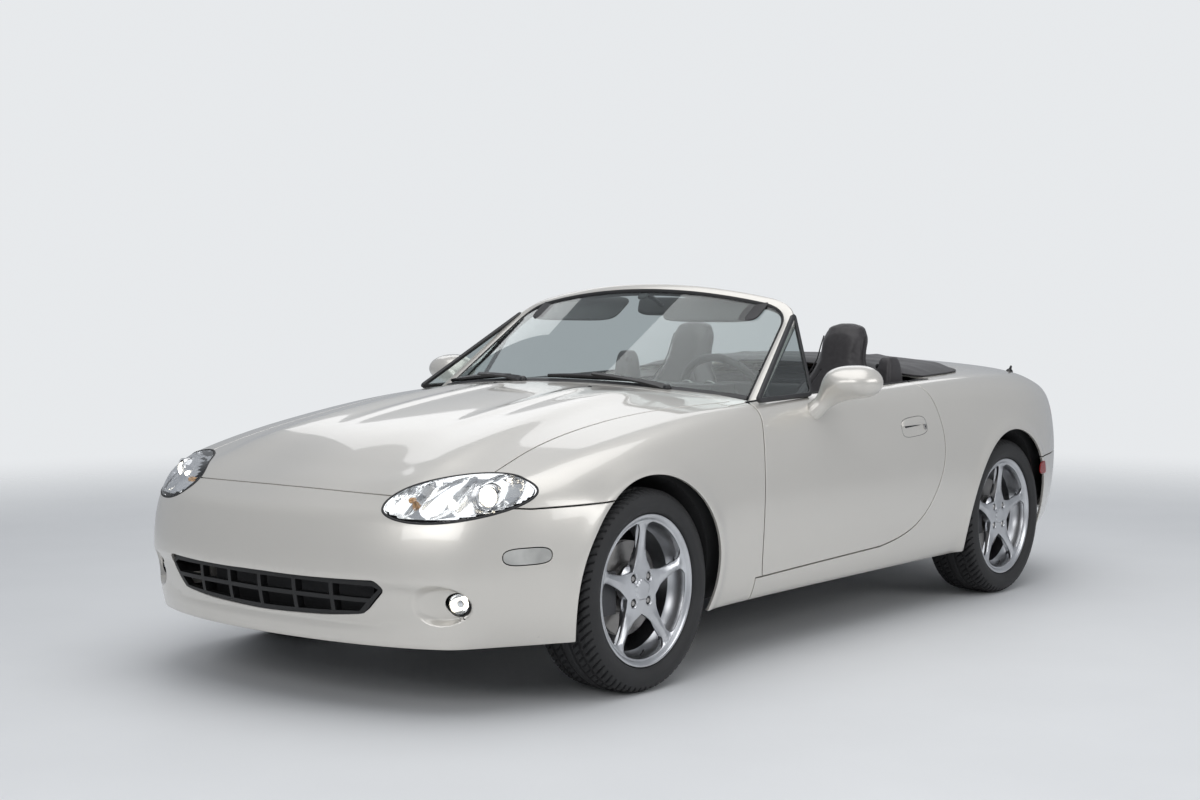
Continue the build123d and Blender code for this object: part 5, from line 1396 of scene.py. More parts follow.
# Opening between two spokes.
def windowCurve(k):
    mid = math.pi / 2 + math.pi / 5 + k * 2 * math.pi / 5
    r = np.linspace(70.5, 197.0, 90)
    reach = math.pi / 5 - np.arcsin(np.clip(spokeHalf(r) / r, 0, 0.999))
    reach = np.maximum(reach, 0.002)
    arc = np.linspace(reach[-1], -reach[-1], 40)
    one = onFace(r, mid + reach)
    rim = onFace(197.0, mid + arc)
    two = onFace(r[::-1], mid - reach[::-1])
    return np.vstack([one, rim[1:], two[1:], one[:1]])


# Hole of lug k.
def lugCurve(k):
    a = math.radians(45 + 90 * k)
    t = np.linspace(0, 2 * math.pi, 40)
    y = wheel["lugCircle"] * math.cos(a) + wheel["lugHole"] * np.cos(t)
    z = wheel["lugCircle"] * math.sin(a) + wheel["lugHole"] * np.sin(t)
    return rows3(faceHeight(y, z), y, z)


ringT = np.linspace(0, 2 * math.pi, 240)
wheelLoops = [[onFace(203.0, ringT)]] + [[windowCurve(k)] for k in range(wheel["spokes"])]
wheelLoops += [[lugCurve(k)] for k in range(wheel["lugs"])]
wheelFace = shell("wheel_face", wheelLoops, wheelChart(), alloy, step=4.6, edge=3.4, gap=0.0, roll=1.8,
                  thick=30.0, surface=faceSurface, normalOf=faceNormal)
faceVerts = pointsOf(wheelFace) * 1000
faceFaces = [tuple(p.vertices) for p in wheelFace.data.polygons]
faceNorms = np.array([tuple(n.vector) for n in wheelFace.data.corner_normals])
vertNorm = np.zeros_like(faceVerts)
cornerVert = np.zeros(len(wheelFace.data.loops), np.int32)
wheelFace.data.loops.foreach_get("vertex_index", cornerVert)
vertNorm[cornerVert] = faceNorms
bpy.data.objects.remove(wheelFace)

rimProfile = [(202, 78), (206, 82), (211, 86.5), (215, 88), (219, 87.6), (220, 85), (219.5, 79), (210, 77),
              (203.4, 72), (203.2, 44), (190, 28), (189, -46), (203, -64), (203.2, -73), (219.5, -78),
              (220, -87), (217, -88), (209, -87), (196, -78), (194, -60), (181, -46), (180.5, 26),
              (194, 43), (195, 60), (197, 72), (199.5, 77)]
discProfile = [(20, 24), (66, 24), (72, 21), (75, 12.4), (136, 12.2), (138, 11), (138, 5), (134, 4),
               (134, -1), (138, -2), (138, -8), (136, -8.2), (64, -8), (60, 12), (20, 12)]
nutProfile = [(0, 13), (5.5, 12.6), (8.2, 10.5), (8.6, 9), (8.6, -6), (0, -6)]
valveProfile = [(0, 20), (2.6, 19.4), (3.2, 17), (3.2, 6), (5.0, 3), (5.2, 0), (0, 0)]
darkCast = makeMetal("brake_iron", (0.16, 0.155, 0.15), 0.5, metal=0.8)
discSteel = makeMetal("brake_disc", (0.30, 0.29, 0.28), 0.35, (1.0, 14.0, 14.0), 260.0)
treadProfile = np.array([(203.5, 73), (212, 77), (221, 80), (222.5, 88), (226, 94), (229, 96), (233, 97.5),
                         (240, 100.5), (246, 102), (252, 102.3), (258, 101.8), (264, 100.6), (270, 98.5),
                         (276, 95.5), (281, 91.8), (285, 87.5), (288, 83), (290, 78)], float)
tx = np.arange(76.0, -0.5, -2.0)
tz = 290.6 + 4.4 * (1 - (tx / 78) ** 2)
halfTread = np.vstack([treadProfile, np.stack([tz, tx], -1)])
fullTread = np.vstack([halfTread, halfTread[-2::-1] * (1, -1)])
lining = np.array([(203.5, -60), (214, -74), (240, -90), (270, -86), (284, -60), (286, 0), (284, 60),
                   (270, 86), (240, 90), (214, 74), (203.5, 60)], float)
section = np.vstack([fullTread, lining])


tread = {"points": 576, "grooves": (-52.0, -17.0, 17.0, 52.0), "cuts": 72, "depth": 6.0}


# Tyre section turned about the axle. Four grooves run round it, and 72 cuts a turn cross the shoulders
# and the bands between.
def tyreVerts():
    count = tread["points"]
    a = np.arange(count) * 2 * math.pi / count
    r = section[:, 0][:, None] + 0 * a
    x = section[:, 1][:, None] + 0 * a
    onTread = (np.arange(len(section)) < len(fullTread))[:, None]
    groove = np.zeros_like(r)
    for gx in tread["grooves"]:
        groove = np.maximum(groove, np.clip((5.2 - np.abs(x - gx)) / 1.2, 0, 1))
    step = 2 * math.pi / tread["cuts"]
    shift = 0.16 * np.sign(x) * np.clip(np.abs(x) - 20, 0, 80) / 60
    wave = ((a[None, :] + shift) / step) % 1.0
    cut = np.clip((0.16 - np.abs(wave - 0.5)) / 0.05, 0, 1)
    shoulder = np.clip((np.abs(x) - 58) / 3, 0, 1) * (r > 276)
    middle = np.clip((np.abs(x) - 22) / 3, 0, 1) * np.clip((50 - np.abs(x)) / 3, 0, 1) * (r > 276)
    groove = np.maximum(groove, cut * np.maximum(shoulder, middle * 0.9))
    r = r - tread["depth"] * groove * onTread * (r > 276)
    side = (r < 262) & (r > 226) & onTread
    rib = 0.5 * np.exp(-((np.abs(r - 236) % 9) / 1.6) ** 2)
    x = x + np.sign(x) * rib * side
    return np.stack([x, r * np.cos(a)[None, :], r * np.sin(a)[None, :]], -1).reshape(-1, 3), count


tyrePoints, tyreCount = tyreVerts()
tyreFaces = ringFaces(len(section), tyreCount, closed=True)
for end, axleY, track in wheel["axles"]:
    for side in ("left", "right"):
        sign = 1 if side == "left" else -1
        body = "wheel_%s_%s" % (end, side)
        centre = np.array([sign * track / 2, axleY, wheel["axleZ"]])
        flipped = faceFaces if sign > 0 else [f[::-1] for f in faceFaces]
        face = makeMesh("alloy_%s_%s" % (end, side), faceVerts * (sign, 1, 1) + centre, flipped, alloy,
                        body, vertNorm * (sign, 1, 1))
        rim = lathe("rim_%s_%s" % (end, side), rimProfile + rimProfile[:1], centre, (sign, 0, 0), alloy,
                    body, 128)
        disc = lathe("disc_%s_%s" % (end, side), discProfile + discProfile[:1], centre, (sign, 0, 0),
                     discSteel, body, 96)
        for k in range(4):
            a = math.radians(45 + 90 * k)
            lathe("lug_%s_%s_%d" % (end, side, k), nutProfile,
                  centre + (sign * 52, 50 * math.cos(a), 50 * math.sin(a)), (sign, 0, 0), bareSteel, body,
                  6, 20.0)
        low = centre + (sign * 66, 0.0, -190.0)
        lathe("valve_%s_%s" % (end, side), valveProfile, low, (sign * 0.45, 0, 0.9), sealRubber, body, 16)
        hubTube = [(0, 22), (60, 22), (60, -10), (19, -14), (19, -60), (0, -60)]
        lathe("hub_%s_%s" % (end, side), hubTube, centre, (sign, 0, 0), darkCast, body, 48)
        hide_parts("wheel_%s_%s" % (end, side))
        faces = tyreFaces if sign > 0 else tyreFaces[:, ::-1]
        tyre = makeMesh("tread_%s_%s" % (end, side), tyrePoints * (sign, 1, 1) + centre, faces, tyreRubber,
                        body)
        tyre.data.set_sharp_from_angle(angle=math.radians(40))
        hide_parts("tyre_%s_%s" % (end, side))
print("wheels")


# Windscreen: points by distance across (u), up the glass (v) and under its outer face (d).
screenForm = {"rake": 34.0, "radius": 2070.0, "headerY": -124.0, "headerZ": 1182.0, "headHalf": 604.0,
              "footHalf": 728.0, "height": 690.0}
rake = math.radians(screenForm["rake"])
upGlass = np.array([0.0, math.cos(rake), math.sin(rake)])
outGlass = np.array([0.0, -math.sin(rake), math.cos(rake)])
header = np.array([0.0, screenForm["headerY"], screenForm["headerZ"]])


# Point of the glass: a cylinder of radius 2070 mm about an axis that leans with the rake.
def onScreen(u, v, d):
    u, v, d = np.broadcast_arrays(np.asarray(u, float), np.asarray(v, float), np.asarray(d, float))
    high = -screenForm["radius"] + np.sqrt((screenForm["radius"] - d) ** 2 - u ** 2)
    return header + rows3(u, 0, 0) + v[..., None] * upGlass + high[..., None] * outGlass


# Half of the screen's edge, from the left foot to the middle of the header, as (u, v).
def screenOutline(inset, foot, corner, count=26):
    slant = (screenForm["footHalf"] - screenForm["headHalf"]) / screenForm["height"]
    top = -inset
    topU = screenForm["headHalf"] - inset * math.sqrt(1 + slant ** 2) + slant * inset
    a = np.array([topU - foot * slant + slant * top, foot])
    b = np.array([topU, top])
    c = np.array([0.0, top])
    back, on = (a - b) / np.linalg.norm(a - b), (c - b) / np.linalg.norm(c - b)
    t = np.linspace(0, 1, count)[:, None]
    bend = (1 - t) ** 2 * (b + back * corner) + 2 * t * (1 - t) * b + t ** 2 * (b + on * corner)
    return np.vstack([np.linspace(a, b + back * corner, 40)[:-1], bend,
                      np.linspace(b + on * corner, c, 40)[1:]])


# The screen's edge from the left foot round to the right one.
def wholeOutline(inset, foot, corner):
    half = screenOutline(inset, foot, corner)
    return np.vstack([half, (half * (-1, 1))[-2::-1]])


barLine = wholeOutline(21.0, -728.0, 105.0)
barPath = onScreen(barLine[:, 0], barLine[:, 1], 0.0)
barOut = barPath - onScreen(barLine[:, 0], barLine[:, 1], 10.0)
frameSection = [(-14, -1.6), (-8, -0.4), (6, 0), (14, -0.9), (18.5, -3.4), (20.6, -7.4), (20.9, -13),
                (19, -20), (-14, -20)]
trimSection = [(-18.5, -15), (-18.5, -29), (-15, -33), (11, -33), (17, -29), (18.6, -20.5), (12, -18),
               (-12, -15)]
sealSection = [(-13.6, -2.2), (-15.5, -0.9), (-20, -1.8), (-24.6, -5.6), (-26, -7.6), (-26, -14.6),
               (-13.6, -14.6)]
bar = sweep("screen_frame", barPath, frameSection, paint, normals=barOut, sharp=48.0)
trim = sweep("screen_trim", barPath, trimSection, cabinPlastic, normals=barOut, sharp=48.0)
rubber = sweep("screen_seal", barPath, sealSection, sealRubber, normals=barOut, sharp=48.0)
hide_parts("windscreen_frame")
# Glass: 60 rows of 61 points from foot to header, in the frame's inner outline.
glassFoot, glassInset, glassThick = -628.0, 43.0, 5.0
cols = np.linspace(-1, 1, 61)
levels = np.linspace(glassFoot, -glassInset - 0.05, 60)
edgeHalf = screenOutline(glassInset, glassFoot, 88.0, 60)
reach = np.interp(levels, edgeHalf[:, 1], edgeHalf[:, 0])
reach[-1] = 520.0
across2 = reach[:, None] * cols
pane = np.vstack([onScreen(across2, levels[:, None], d).reshape(-1, 3) for d in (8.0, 8.0 + glassThick)])
faces = slabFaces(60, 61)[1]
screen = finishMesh("screen_glass", pane, faces, screenGlass, "chassis", 40.0)
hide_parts("windscreen_glass")


# Where the glass plane goes under the skin, as v for every u.
def footOf(u):
    low, high = np.full(len(u), -660.0), np.full(len(u), -440.0)
    for turn in range(30):
        mid = (low + high) / 2
        under = field(onScreen(u, mid, 0.0)) < 0
        low, high = np.where(under, mid, low), np.where(under, high, mid)
    return (low + high) / 2


acrossFoot = np.linspace(-655, 655, 110)
belowScreen = onScreen(acrossFoot, footOf(acrossFoot) + 3.0, 2.0)
finisher = sweep("screen_foot_trim", belowScreen, [(-13, -9), (-13, 1), (-9, 4), (10, 5), (14, 3), (15, -2),
                                                   (15, -9)], blackPlastic, normals=outGlass)

# Wipers: pivot, arm with a bent root, blade carrier and rubber.
wipers = {"pivots": (-180.0, 404.0), "tips": ((-628.0, -498.0), (-72.0, -574.0)),
          "heels": ((-258.0, -560.0), (304.0, -556.0))}
for k in range(2):
    rootU = np.array([wipers["pivots"][k]])
    pivot = onScreen(rootU, footOf(rootU) - 2.0, -4.0).reshape(3)
    tip, heel = np.array(wipers["tips"][k]), np.array(wipers["heels"][k])
    blade0 = onScreen(tip[0], tip[1], -8.0).reshape(3)
    blade1 = onScreen(heel[0], heel[1], -8.0).reshape(3)
    middle = onScreen(*((tip + heel) / 2), -19.0).reshape(3)
    knee = pivot + (middle - pivot) * 0.35 + outGlass * 9
    along = np.array([pivot, pivot + (middle - pivot) * 0.12 + outGlass * 6, knee,
                      pivot + (middle - pivot) * 0.7 + outGlass * 6, middle])
    t = np.linspace(0, 4, 40)
    armPath = np.stack([np.interp(t, range(5), along[:, i]) for i in range(3)], -1)
    arm = sweep("wiper_arm_%d" % k, armPath, [(-9, -4), (-7, 3), (7, 3), (9, -4)], gloss, normals=outGlass,
                scale=np.interp(t, [0, 1, 1.8, 4], [1.7, 1.4, 1.0, 0.7]))
    t = np.linspace(0, 1, 30)[:, None]
    straight = blade0 + (blade1 - blade0) * t + outGlass * (5.0 * np.sin(math.pi * t) + 2)
    carrier = sweep("wiper_blade_%d" % k, straight, [(-7, -1), (-5, 6), (5, 6), (7, -1)], gloss,
                    normals=outGlass, scale=1.0 - 0.45 * np.abs(2 * t[:, 0] - 1) ** 2)
    lip = sweep("wiper_lip_%d" % k, blade0 + (blade1 - blade0) * t + outGlass * 1.0,
                [(-2, -6), (-4, 1), (4, 1), (2, -6)], sealRubber, normals=outGlass)
    cap = lathe("wiper_pivot_%d" % k, [(0, 14), (8, 12), (13, 7), (14, 0), (14, -16), (0, -16)], pivot,
                outGlass, gloss, "chassis", 32)
    if k == 0:
        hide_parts("wipers")
for side in (-1, 1):
    jet = skinZ([side * 205.0], [-725.0])[0]
    lathe("washer_jet_%s" % ("left" if side > 0 else "right"),
          [(0, 4.5), (4, 3.6), (7, 1), (8, -2), (0, -2)], jet, slope(jet[None])[0], gloss, "hood", 24)


# Rounded blocks: an ellipsoid-like form of given half sizes, used for pads, housings and knobs.
# Point at latitude u and longitude v with each cosine and sine taken to the power 2 / power.
def rounded(name, centre, half, power, material, body="chassis", turn=None, count=(40, 64), shape=None,
            flipX=False, sharp=50.0):
    u = np.linspace(-math.pi / 2, math.pi / 2, count[0])
    v = np.arange(count[1]) * 2 * math.pi / count[1]
    uu, vv = np.meshgrid(u, v, indexing="ij")

    def soft(c, p):
        return np.sign(c) * np.abs(c) ** (2.0 / p)
    p = np.stack([soft(np.cos(uu), power) * soft(np.cos(vv), power),
                  soft(np.cos(uu), power) * soft(np.sin(vv), power), soft(np.sin(uu), power)],
                 -1).reshape(-1, 3) * np.asarray(half, float)
    if shape is not None:
        p = shape(p)
    if turn is not None:
        p = p @ np.array(turn.to_matrix()).T
    p = p + np.asarray(centre, float)
    return finishMesh(name, p, ringFaces(*count), material, body, sharp, flipX)


rearView = rounded("interior_mirror_head", (0, -38.0, 1096.0), (112, 15, 32), 5.0, cabinPlastic, "chassis",
                   Euler((math.radians(-15), 0, 0)))
mirrorFace = makeMetal("mirror_glass", (0.80, 0.82, 0.84), 0.03, depth=0.0)
rearGlass = rounded("interior_mirror_glass", (0, -24.5, 1092.4), (106, 2.0, 27), 5.0, mirrorFace, "chassis",
                    Euler((math.radians(-15), 0, 0)))
stalkPath = np.array([onScreen(0.0, -52.0, 17.0).reshape(3), (0, -104, 1126), (0, -78, 1112),
                      (0, -48, 1099)], float)
stalk = sweep("interior_mirror_stalk", stalkPath, circleSection(7.5), cabinPlastic, normals=(1.0, 0, 0))
foot = rounded("interior_mirror_foot", onScreen(0.0, -54.0, 19.0).reshape(3), (20, 24, 6), 3.0,
               cabinPlastic, "chassis", Euler((rake, 0, 0)))
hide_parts("interior_mirror")
for flip, tag, side in reversed(sides):
    middle = onScreen(side * 300.0, -72.0, 42.0).reshape(3)
    visor = rounded("sun_visor_" + tag, middle, (198, 74, 6.5), 5.0, cabinPlastic, "chassis",
                    Euler((rake, 0, 0)))
    if side > 0:
        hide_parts("sun_visors")

# Vent window in a black frame, and the door mirror with its neck.
ventPoints = np.array([(-560.0, 800.0), (-212.0, 806.0), (-112.0, 1090.0)])


# Point in the leaning plane of the vent window.
def ventPlace(y, z, out=0.0):
    lean = math.tan(math.radians(26.0))
    return rows3(731.0 - (np.asarray(z) - 812.0) * lean + out * 0.9, y, np.asarray(z) + out * 0.44)


# Vent window outline set in by inset, with rounded corners.
def triangle(inset, corner):
    centre = ventPoints.mean(0)
    lines = []
    for k in range(3):
        a, b = ventPoints[k], ventPoints[(k + 1) % 3]
        t = (b - a) / np.linalg.norm(b - a)
        nrm = np.array([-t[1], t[0]])
        nrm = nrm * np.sign(np.dot(centre - a, nrm))
        lines.append((a + nrm * inset, t))
    corners = []
    for k in range(3):
        (p, t), (q, s) = lines[k - 1], lines[k]
        m = np.linalg.solve(np.stack([t, -s], 1), q - p)
        corners.append(p + t * m[0])
    out = []
    for k in range(3):
        a, b, c = corners[k - 1], corners[k], corners[(k + 1) % 3]
        r = corner[k]
        p0 = b + (a - b) / np.linalg.norm(a - b) * r
        p1 = b + (c - b) / np.linalg.norm(c - b) * r
        t = np.linspace(0, 1, 8)[:, None]
        out.append((1 - t) ** 2 * p0 + 2 * t * (1 - t) * b + t ** 2 * p1)
        nxt = c + (b - c) / np.linalg.norm(b - c) * corner[(k + 1) % 3]
        out.append(np.linspace(p1, nxt, 18)[1:-1])
    return np.vstack(out)


# Signed distance (mm, near enough) of the door mirror: shell head blended into its neck.
def mirrorHead(p):
    x, y, z = p[:, 0], p[:, 1], p[:, 2]
    q = np.sqrt(((x - 886) / 96) ** 2 + (np.minimum(y + 196, 0) / 96) ** 2
                + ((z - 858) / (54 + 0.03 * (x - 886))) ** 2) - 1
    head = q * 52
    head = smoothMax(head, y + 178, 8.0)
    a, b = np.array([776.0, -262.0, 766.0]), np.array([848.0, -230.0, 846.0])
    run = b - a
    t = np.clip((p - a) @ run / (run @ run), -0.1, 1)
    flare = 9 * np.clip(1 - t / 0.3, 0, 1) ** 2
    neck = np.linalg.norm((p - (a + t[:, None] * run)) * (1.0, 0.8, 1.0), axis=1) - (22 + 20 * t + flare)
    k = 40.0
    return np.minimum(head, neck) - np.maximum(k - np.abs(head - neck), 0) ** 2 / (4 * k)


# Mirror shell: rays out of its inside, halved down to where mirrorHead is zero.
def mirrorMesh():
    root = np.array([846.0, -232.0, 840.0])
    u = np.linspace(-math.pi / 2, math.pi / 2, 72)
    v = np.arange(144) * 2 * math.pi / 144
    uu, vv = np.meshgrid(u, v, indexing="ij")
    axis = np.array([-0.56, -0.46, -0.69])
    axis = axis / np.linalg.norm(axis)
    side = np.cross(axis, (0, 1.0, 0))
    side /= np.linalg.norm(side)
    up = np.cross(axis, side)
    way = (np.sin(uu).reshape(-1, 1) * axis + (np.cos(uu) * np.cos(vv)).reshape(-1, 1) * side
           + (np.cos(uu) * np.sin(vv)).reshape(-1, 1) * up)
    low, high = np.zeros(len(way)), np.full(len(way), 190.0)
    for turn in range(26):
        mid = (low + high) / 2
        out = mirrorHead(root + way * mid[:, None]) > 0
        high = np.where(out, mid, high)
        low = np.where(out, low, mid)
    points = root + way * ((low + high) / 2)[:, None]
    return points, ringFaces(72, 144)


mirrorPoints, mirrorFaces = mirrorMesh()
for flip, tag, sign in sides:
    body = "door_" + tag
    edge = triangle(7.0, (16.0, 22.0, 16.0))
    path = ventPlace(edge[:, 0], edge[:, 1])
    frameBar = sweep("vent_frame_" + tag, path, [(-7, -6), (-7, 4), (-5, 6), (5, 6), (7, 4), (7, -6)],
                     blackPlastic, body, closed=True, normals=(0.9, 0, 0.44), flipX=flip)
    inner = triangle(11.0, (12.0, 18.0, 12.0))
    front, rear = ventPlace(inner[:, 0], inner[:, 1], 2.0), ventPlace(inner[:, 0], inner[:, 1], -2.0)
    m = len(inner)
    glassFaces = [tuple(range(m)), tuple(range(2 * m - 1, m - 1, -1))]
    glassFaces += list(ringFaces(2, m))
    ventGlass = finishMesh("vent_glass_" + tag, np.vstack([front, rear]), glassFaces, screenGlass, body,
                           30.0, flip)
    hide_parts("vent_window_" + tag)
    shellMirror = finishMesh("mirror_shell_" + tag, mirrorPoints, mirrorFaces, paint, body, 50.0, flip)
    glassMirror = lathe("mirror_face_" + tag, [(0, 3), (86, 2.6), (88, 1.6), (89, 0), (0, -2)], (0, 0, 0),
                        (0, 1, 0), mirrorFace, body, 72)
    setPoints(glassMirror, pointsOf(glassMirror) * (0.99, 1.0, 0.52) + np.array([sign * 886, -178.5, 858.0])
              / 1000)
    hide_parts("mirror_" + tag)
mastFoot = skinZ([580.0], [1560.0])[0]
lathe("aerial_nub", [(0, 26), (3, 25.4), (4.4, 23), (5, 16), (5.6, 12), (11, 8), (14, 3), (15, -2),
                     (0, -2)], mastFoot, slope(mastFoot[None])[0], gloss, "chassis", 32)
print("clear_glass")


# Doors: jamb band from the skin inwards, trimmed inner panel, handle and hinge arms.
# Side-view outline (y, z) as a slab from x0 to x1 with a broken edge on the x0 side.
def blockPrism(name, outline, x0, x1, material, body, flipX=False, edge=3.0):
    outline = np.asarray(outline, float)
    mid = outline.mean(0)
    small = outline + (mid - outline) / np.linalg.norm(mid - outline, axis=1, keepdims=True) * edge
    rows = [rows3(x0, small[:, 0], small[:, 1]), rows3(x0 + np.sign(x1 - x0) * edge, outline[:, 0],
                                                       outline[:, 1]),
            rows3(x1, outline[:, 0], outline[:, 1])]
    m = len(outline)
    faces = [tuple(range(m)), tuple(range(3 * m - 1, 2 * m - 1, -1))]
    faces += list(ringFaces(3, m))
    return finishMesh(name, np.vstack(rows), faces, material, body, 32.0, flipX)


doorEdge = loopOf(doorLoop, 14.0, 0.0)[0]
around = doorEdge[:, 1:3]
shifted = np.roll(around, -1, 0) - np.roll(around, 1, 0)
shifted /= np.linalg.norm(shifted, axis=1, keepdims=True)
spin = np.sign(np.sum(around[:, 0] * np.roll(around[:, 1], -1) - np.roll(around[:, 0], -1) * around[:, 1]))
inward = np.stack([-shifted[:, 1], shifted[:, 0]], -1) * spin
bandEdge = around + inward * 7.0
bandEdge[:, 1] = np.minimum(bandEdge[:, 1], doorTop[:, 2].min() - 6.0)
doorDepth = skinX(bandEdge[:, 0], bandEdge[:, 1])
bandOut = doorDepth - rows3(3.4, 0, 0)
bandOut[:, 0] = np.maximum(bandOut[:, 0], 707.0)
bandFaces = ringFaces(2, len(bandEdge))
handleT = np.linspace(0, 2 * math.pi, 120)


handle = {"y": 331.0, "z": 680.0, "halfLength": 88.0, "halfHeight": 33.0, "slope": 0.05, "flapFoot": 684.0}


# Rounded oblong of the handle, rounder on top than below.
def handleOutline(grow=0.0):
    c, s = np.cos(handleT), np.sin(handleT)
    y = handle["y"] + (handle["halfLength"] + grow) * np.sign(c) * np.abs(c) ** 0.62
    z = (handle["z"] + handle["slope"] * (y - handle["y"])
         + (handle["halfHeight"] + grow) * np.sign(s) * np.abs(s) ** np.where(s > 0, 0.62, 0.45))
    return y, z


panelGrain = makePlastic("door_trim", (0.030, 0.029, 0.031), 0.55, 500.0, 0.4)
for flip, tag, sign in sides:
    body = "door_" + tag
    jamb = finishMesh("door_jamb_" + tag,
                      np.vstack([bandOut, rows3(702.0, bandEdge[:, 0], bandEdge[:, 1])]), bandFaces, paint,
                      body, 35.0, flip)
    card = blockPrism("door_card_" + tag, bandEdge + inward * 0.5, 699.0, 706.0, panelGrain, body, flip)
    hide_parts("door_" + tag)
    rest = rounded("door_armrest_" + tag, (690.0, 40.0, 560.0), (14, 220, 26), 4.0, panelGrain, body,
                   flipX=flip)
    cupPull = rounded("door_pull_" + tag, (694.0, -150.0, 640.0), (8, 62, 24), 3.0, gloss, body, flipX=flip)
    binSide = rounded("door_pocket_" + tag, (690.0, -120.0, 390.0), (13, 230, 70), 6.0, panelGrain, body,
                      flipX=flip)
    speaker = lathe("door_speaker_" + tag, [(0, 5), (60, 4), (72, 3), (76, 0), (76, -3), (0, -3)],
                    (sign * 699, -330, 470), (-sign, 0, 0), blackPlastic, body, 64)
    y, z = handleOutline(0.0)
    flapY, flapZ = handleOutline(-2.5)
    flapZ2 = np.maximum(flapZ, handle["flapFoot"])
    mid = skinX([331.0], [697.0])[0]
    rows = []
    for k, (size, lift) in enumerate(((1.03, -2.0), (1.0, 1.2), (0.95, 3.4), (0.75, 4.6), (0.4, 5.0))):
        y = 331 + (flapY - 331) * size
        z = 697 + (flapZ2 - 697) * size
        q = skinX(y, z)
        rows.append(q + slope(q) * lift)
    points = np.vstack(rows + [mid[None] + slope(mid[None]) * 5.1])
    m = 120
    flapFaces = list(ringFaces(5, m))
    flapFaces += [(4 * m + i, 4 * m + (i + 1) % m, 5 * m) for i in range(m)]
    flap = finishMesh("door_handle_" + tag, points, flapFaces, paint, body, 50.0, flip)
    y, z = handleOutline(0.0)
    lipPath = skinX(y, z)
    lipPath = lipPath[:-1]
    # Thin black ring round the handle: painted shade of the gap round the flap.
    rim = sweep("door_handle_shade_ring_" + tag, lipPath - slope(lipPath) * 0.55, circleSection(1.0, 8),
                sealRubber, body, closed=True, normals=slope(lipPath), flipX=flip)
    # Black bar under the flap: painted shadow beneath the handle.
    slitT = np.linspace(0, 1, 40)
    slit = skinX(254 + 134 * slitT, 680 + 6.5 * slitT)
    shadowSlot = sweep("door_handle_shadow_slot_" + tag, slit - slope(slit) * 1.6,
                 [(-4.2, -2), (-4.2, 2.2), (3.4, 2.2), (3.4, -2)], gloss, body, normals=slope(slit),
                 flipX=flip, scale=np.minimum(1.0, 5 * np.minimum(slitT, 1 - slitT) + 0.25))
    key = skinX([404.0], [676.0])[0]
    barrel = lathe("door_lock_" + tag, [(0, 0.6), (4, 0.8), (4.6, 2.4), (9, 3.0), (10.5, 2.2), (11, 0),
                                        (11, -4), (0, -4)], key * (sign, 1, 1),
                   slope(key[None])[0] * (sign, 1, 1), bareSteel, body, 40)
    keyhole = lathe("door_keyhole_" + tag, [(0, 1.6), (4.4, 1.4), (4.4, 0), (0, 0)], key * (sign, 1, 1),
                    slope(key[None])[0] * (sign, 1, 1), gloss, body, 24)
    for z in (400.0, 580.0):
        neck = np.array([(794, -735), (742, -706), (692, -674), (690, -664), (706, -640), (734, -589),
                         (734, -560)], float)
        t = np.linspace(0, len(neck) - 1, 40)
        path = np.stack([np.interp(t, range(len(neck)), neck[:, 0]),
                         np.interp(t, range(len(neck)), neck[:, 1]), np.full(40, z)], -1)
        path[1:-1] = (path[:-2] + path[1:-1] * 2 + path[2:]) / 4
        arm = sweep("door_hinge_%s_%d" % (tag, z), path, [(-6, -17), (-6, 17), (6, 17), (6, -17)], shadedTubPaint,
                    body, flipX=flip)
        eye = lathe("door_hinge_eye_%s_%d" % (tag, z), [(5.6, -18), (9, -18), (9, 18), (5.6, 18),
                                                        (5.6, -18)], (sign * 794, -735, z), (0, 0, 1),
                    shadedTubPaint, body, 32)
for tag, body, hx, hy, hz, toward in (("hood", "hood", 300.0, -694.0, 814.0, (0, -34, 8)),
                                      ("trunk", "trunk_lid", 434.0, 1242.0, 847.0, (0, 36, -8))):
    for sign in (-1, 1):
        spot = np.array([sign * hx, hy, hz])
        name = "%s_hinge_%s" % (tag, "left" if sign > 0 else "right")
        lathe(name + "_eye", [(5.4, -9.5), (9.5, -9.5), (9.5, 9.5), (5.4, 9.5), (5.4, -9.5)], spot,
              (1, 0, 0), shadedTubPaint, body, 32)
        way = np.array(toward, float)
        web = np.array([spot + way * 0.22, spot + way * 0.6, spot + way])
        sweep(name + "_arm", web, [(-9, -3), (-9, 3), (9, 3), (9, -3)], shadedTubPaint, body,
              normals=(0.0, 0, 1.0))
print("doors")

# Tub: dark carpet and undercoat, and where a door or the hood uncovers it, body paint darkened as painted
# shade.
tubMat, tubTree, tubShade = shader("tub_carpet_and_shaded_paint", Roughness=0.75)


# 1 where the source is above the edge (or below it), else 0.
def maskStep(tree, source, edge, above=True):
    gate = addNode(tree, "Math")
    gate.operation = "GREATER_THAN" if above else "LESS_THAN"
    gate.inputs[1].default_value = edge
    tree.links.new(source, gate.inputs[0])
    return gate.outputs[0]


# One operation over several sources.
def combine(tree, operation, *sources):
    out = sources[0]
    for other in sources[1:]:
        link = addNode(tree, "Math")
        link.operation = operation
        tree.links.new(out, link.inputs[0])
        tree.links.new(other, link.inputs[1])
        out = link.outputs[0]
    return out


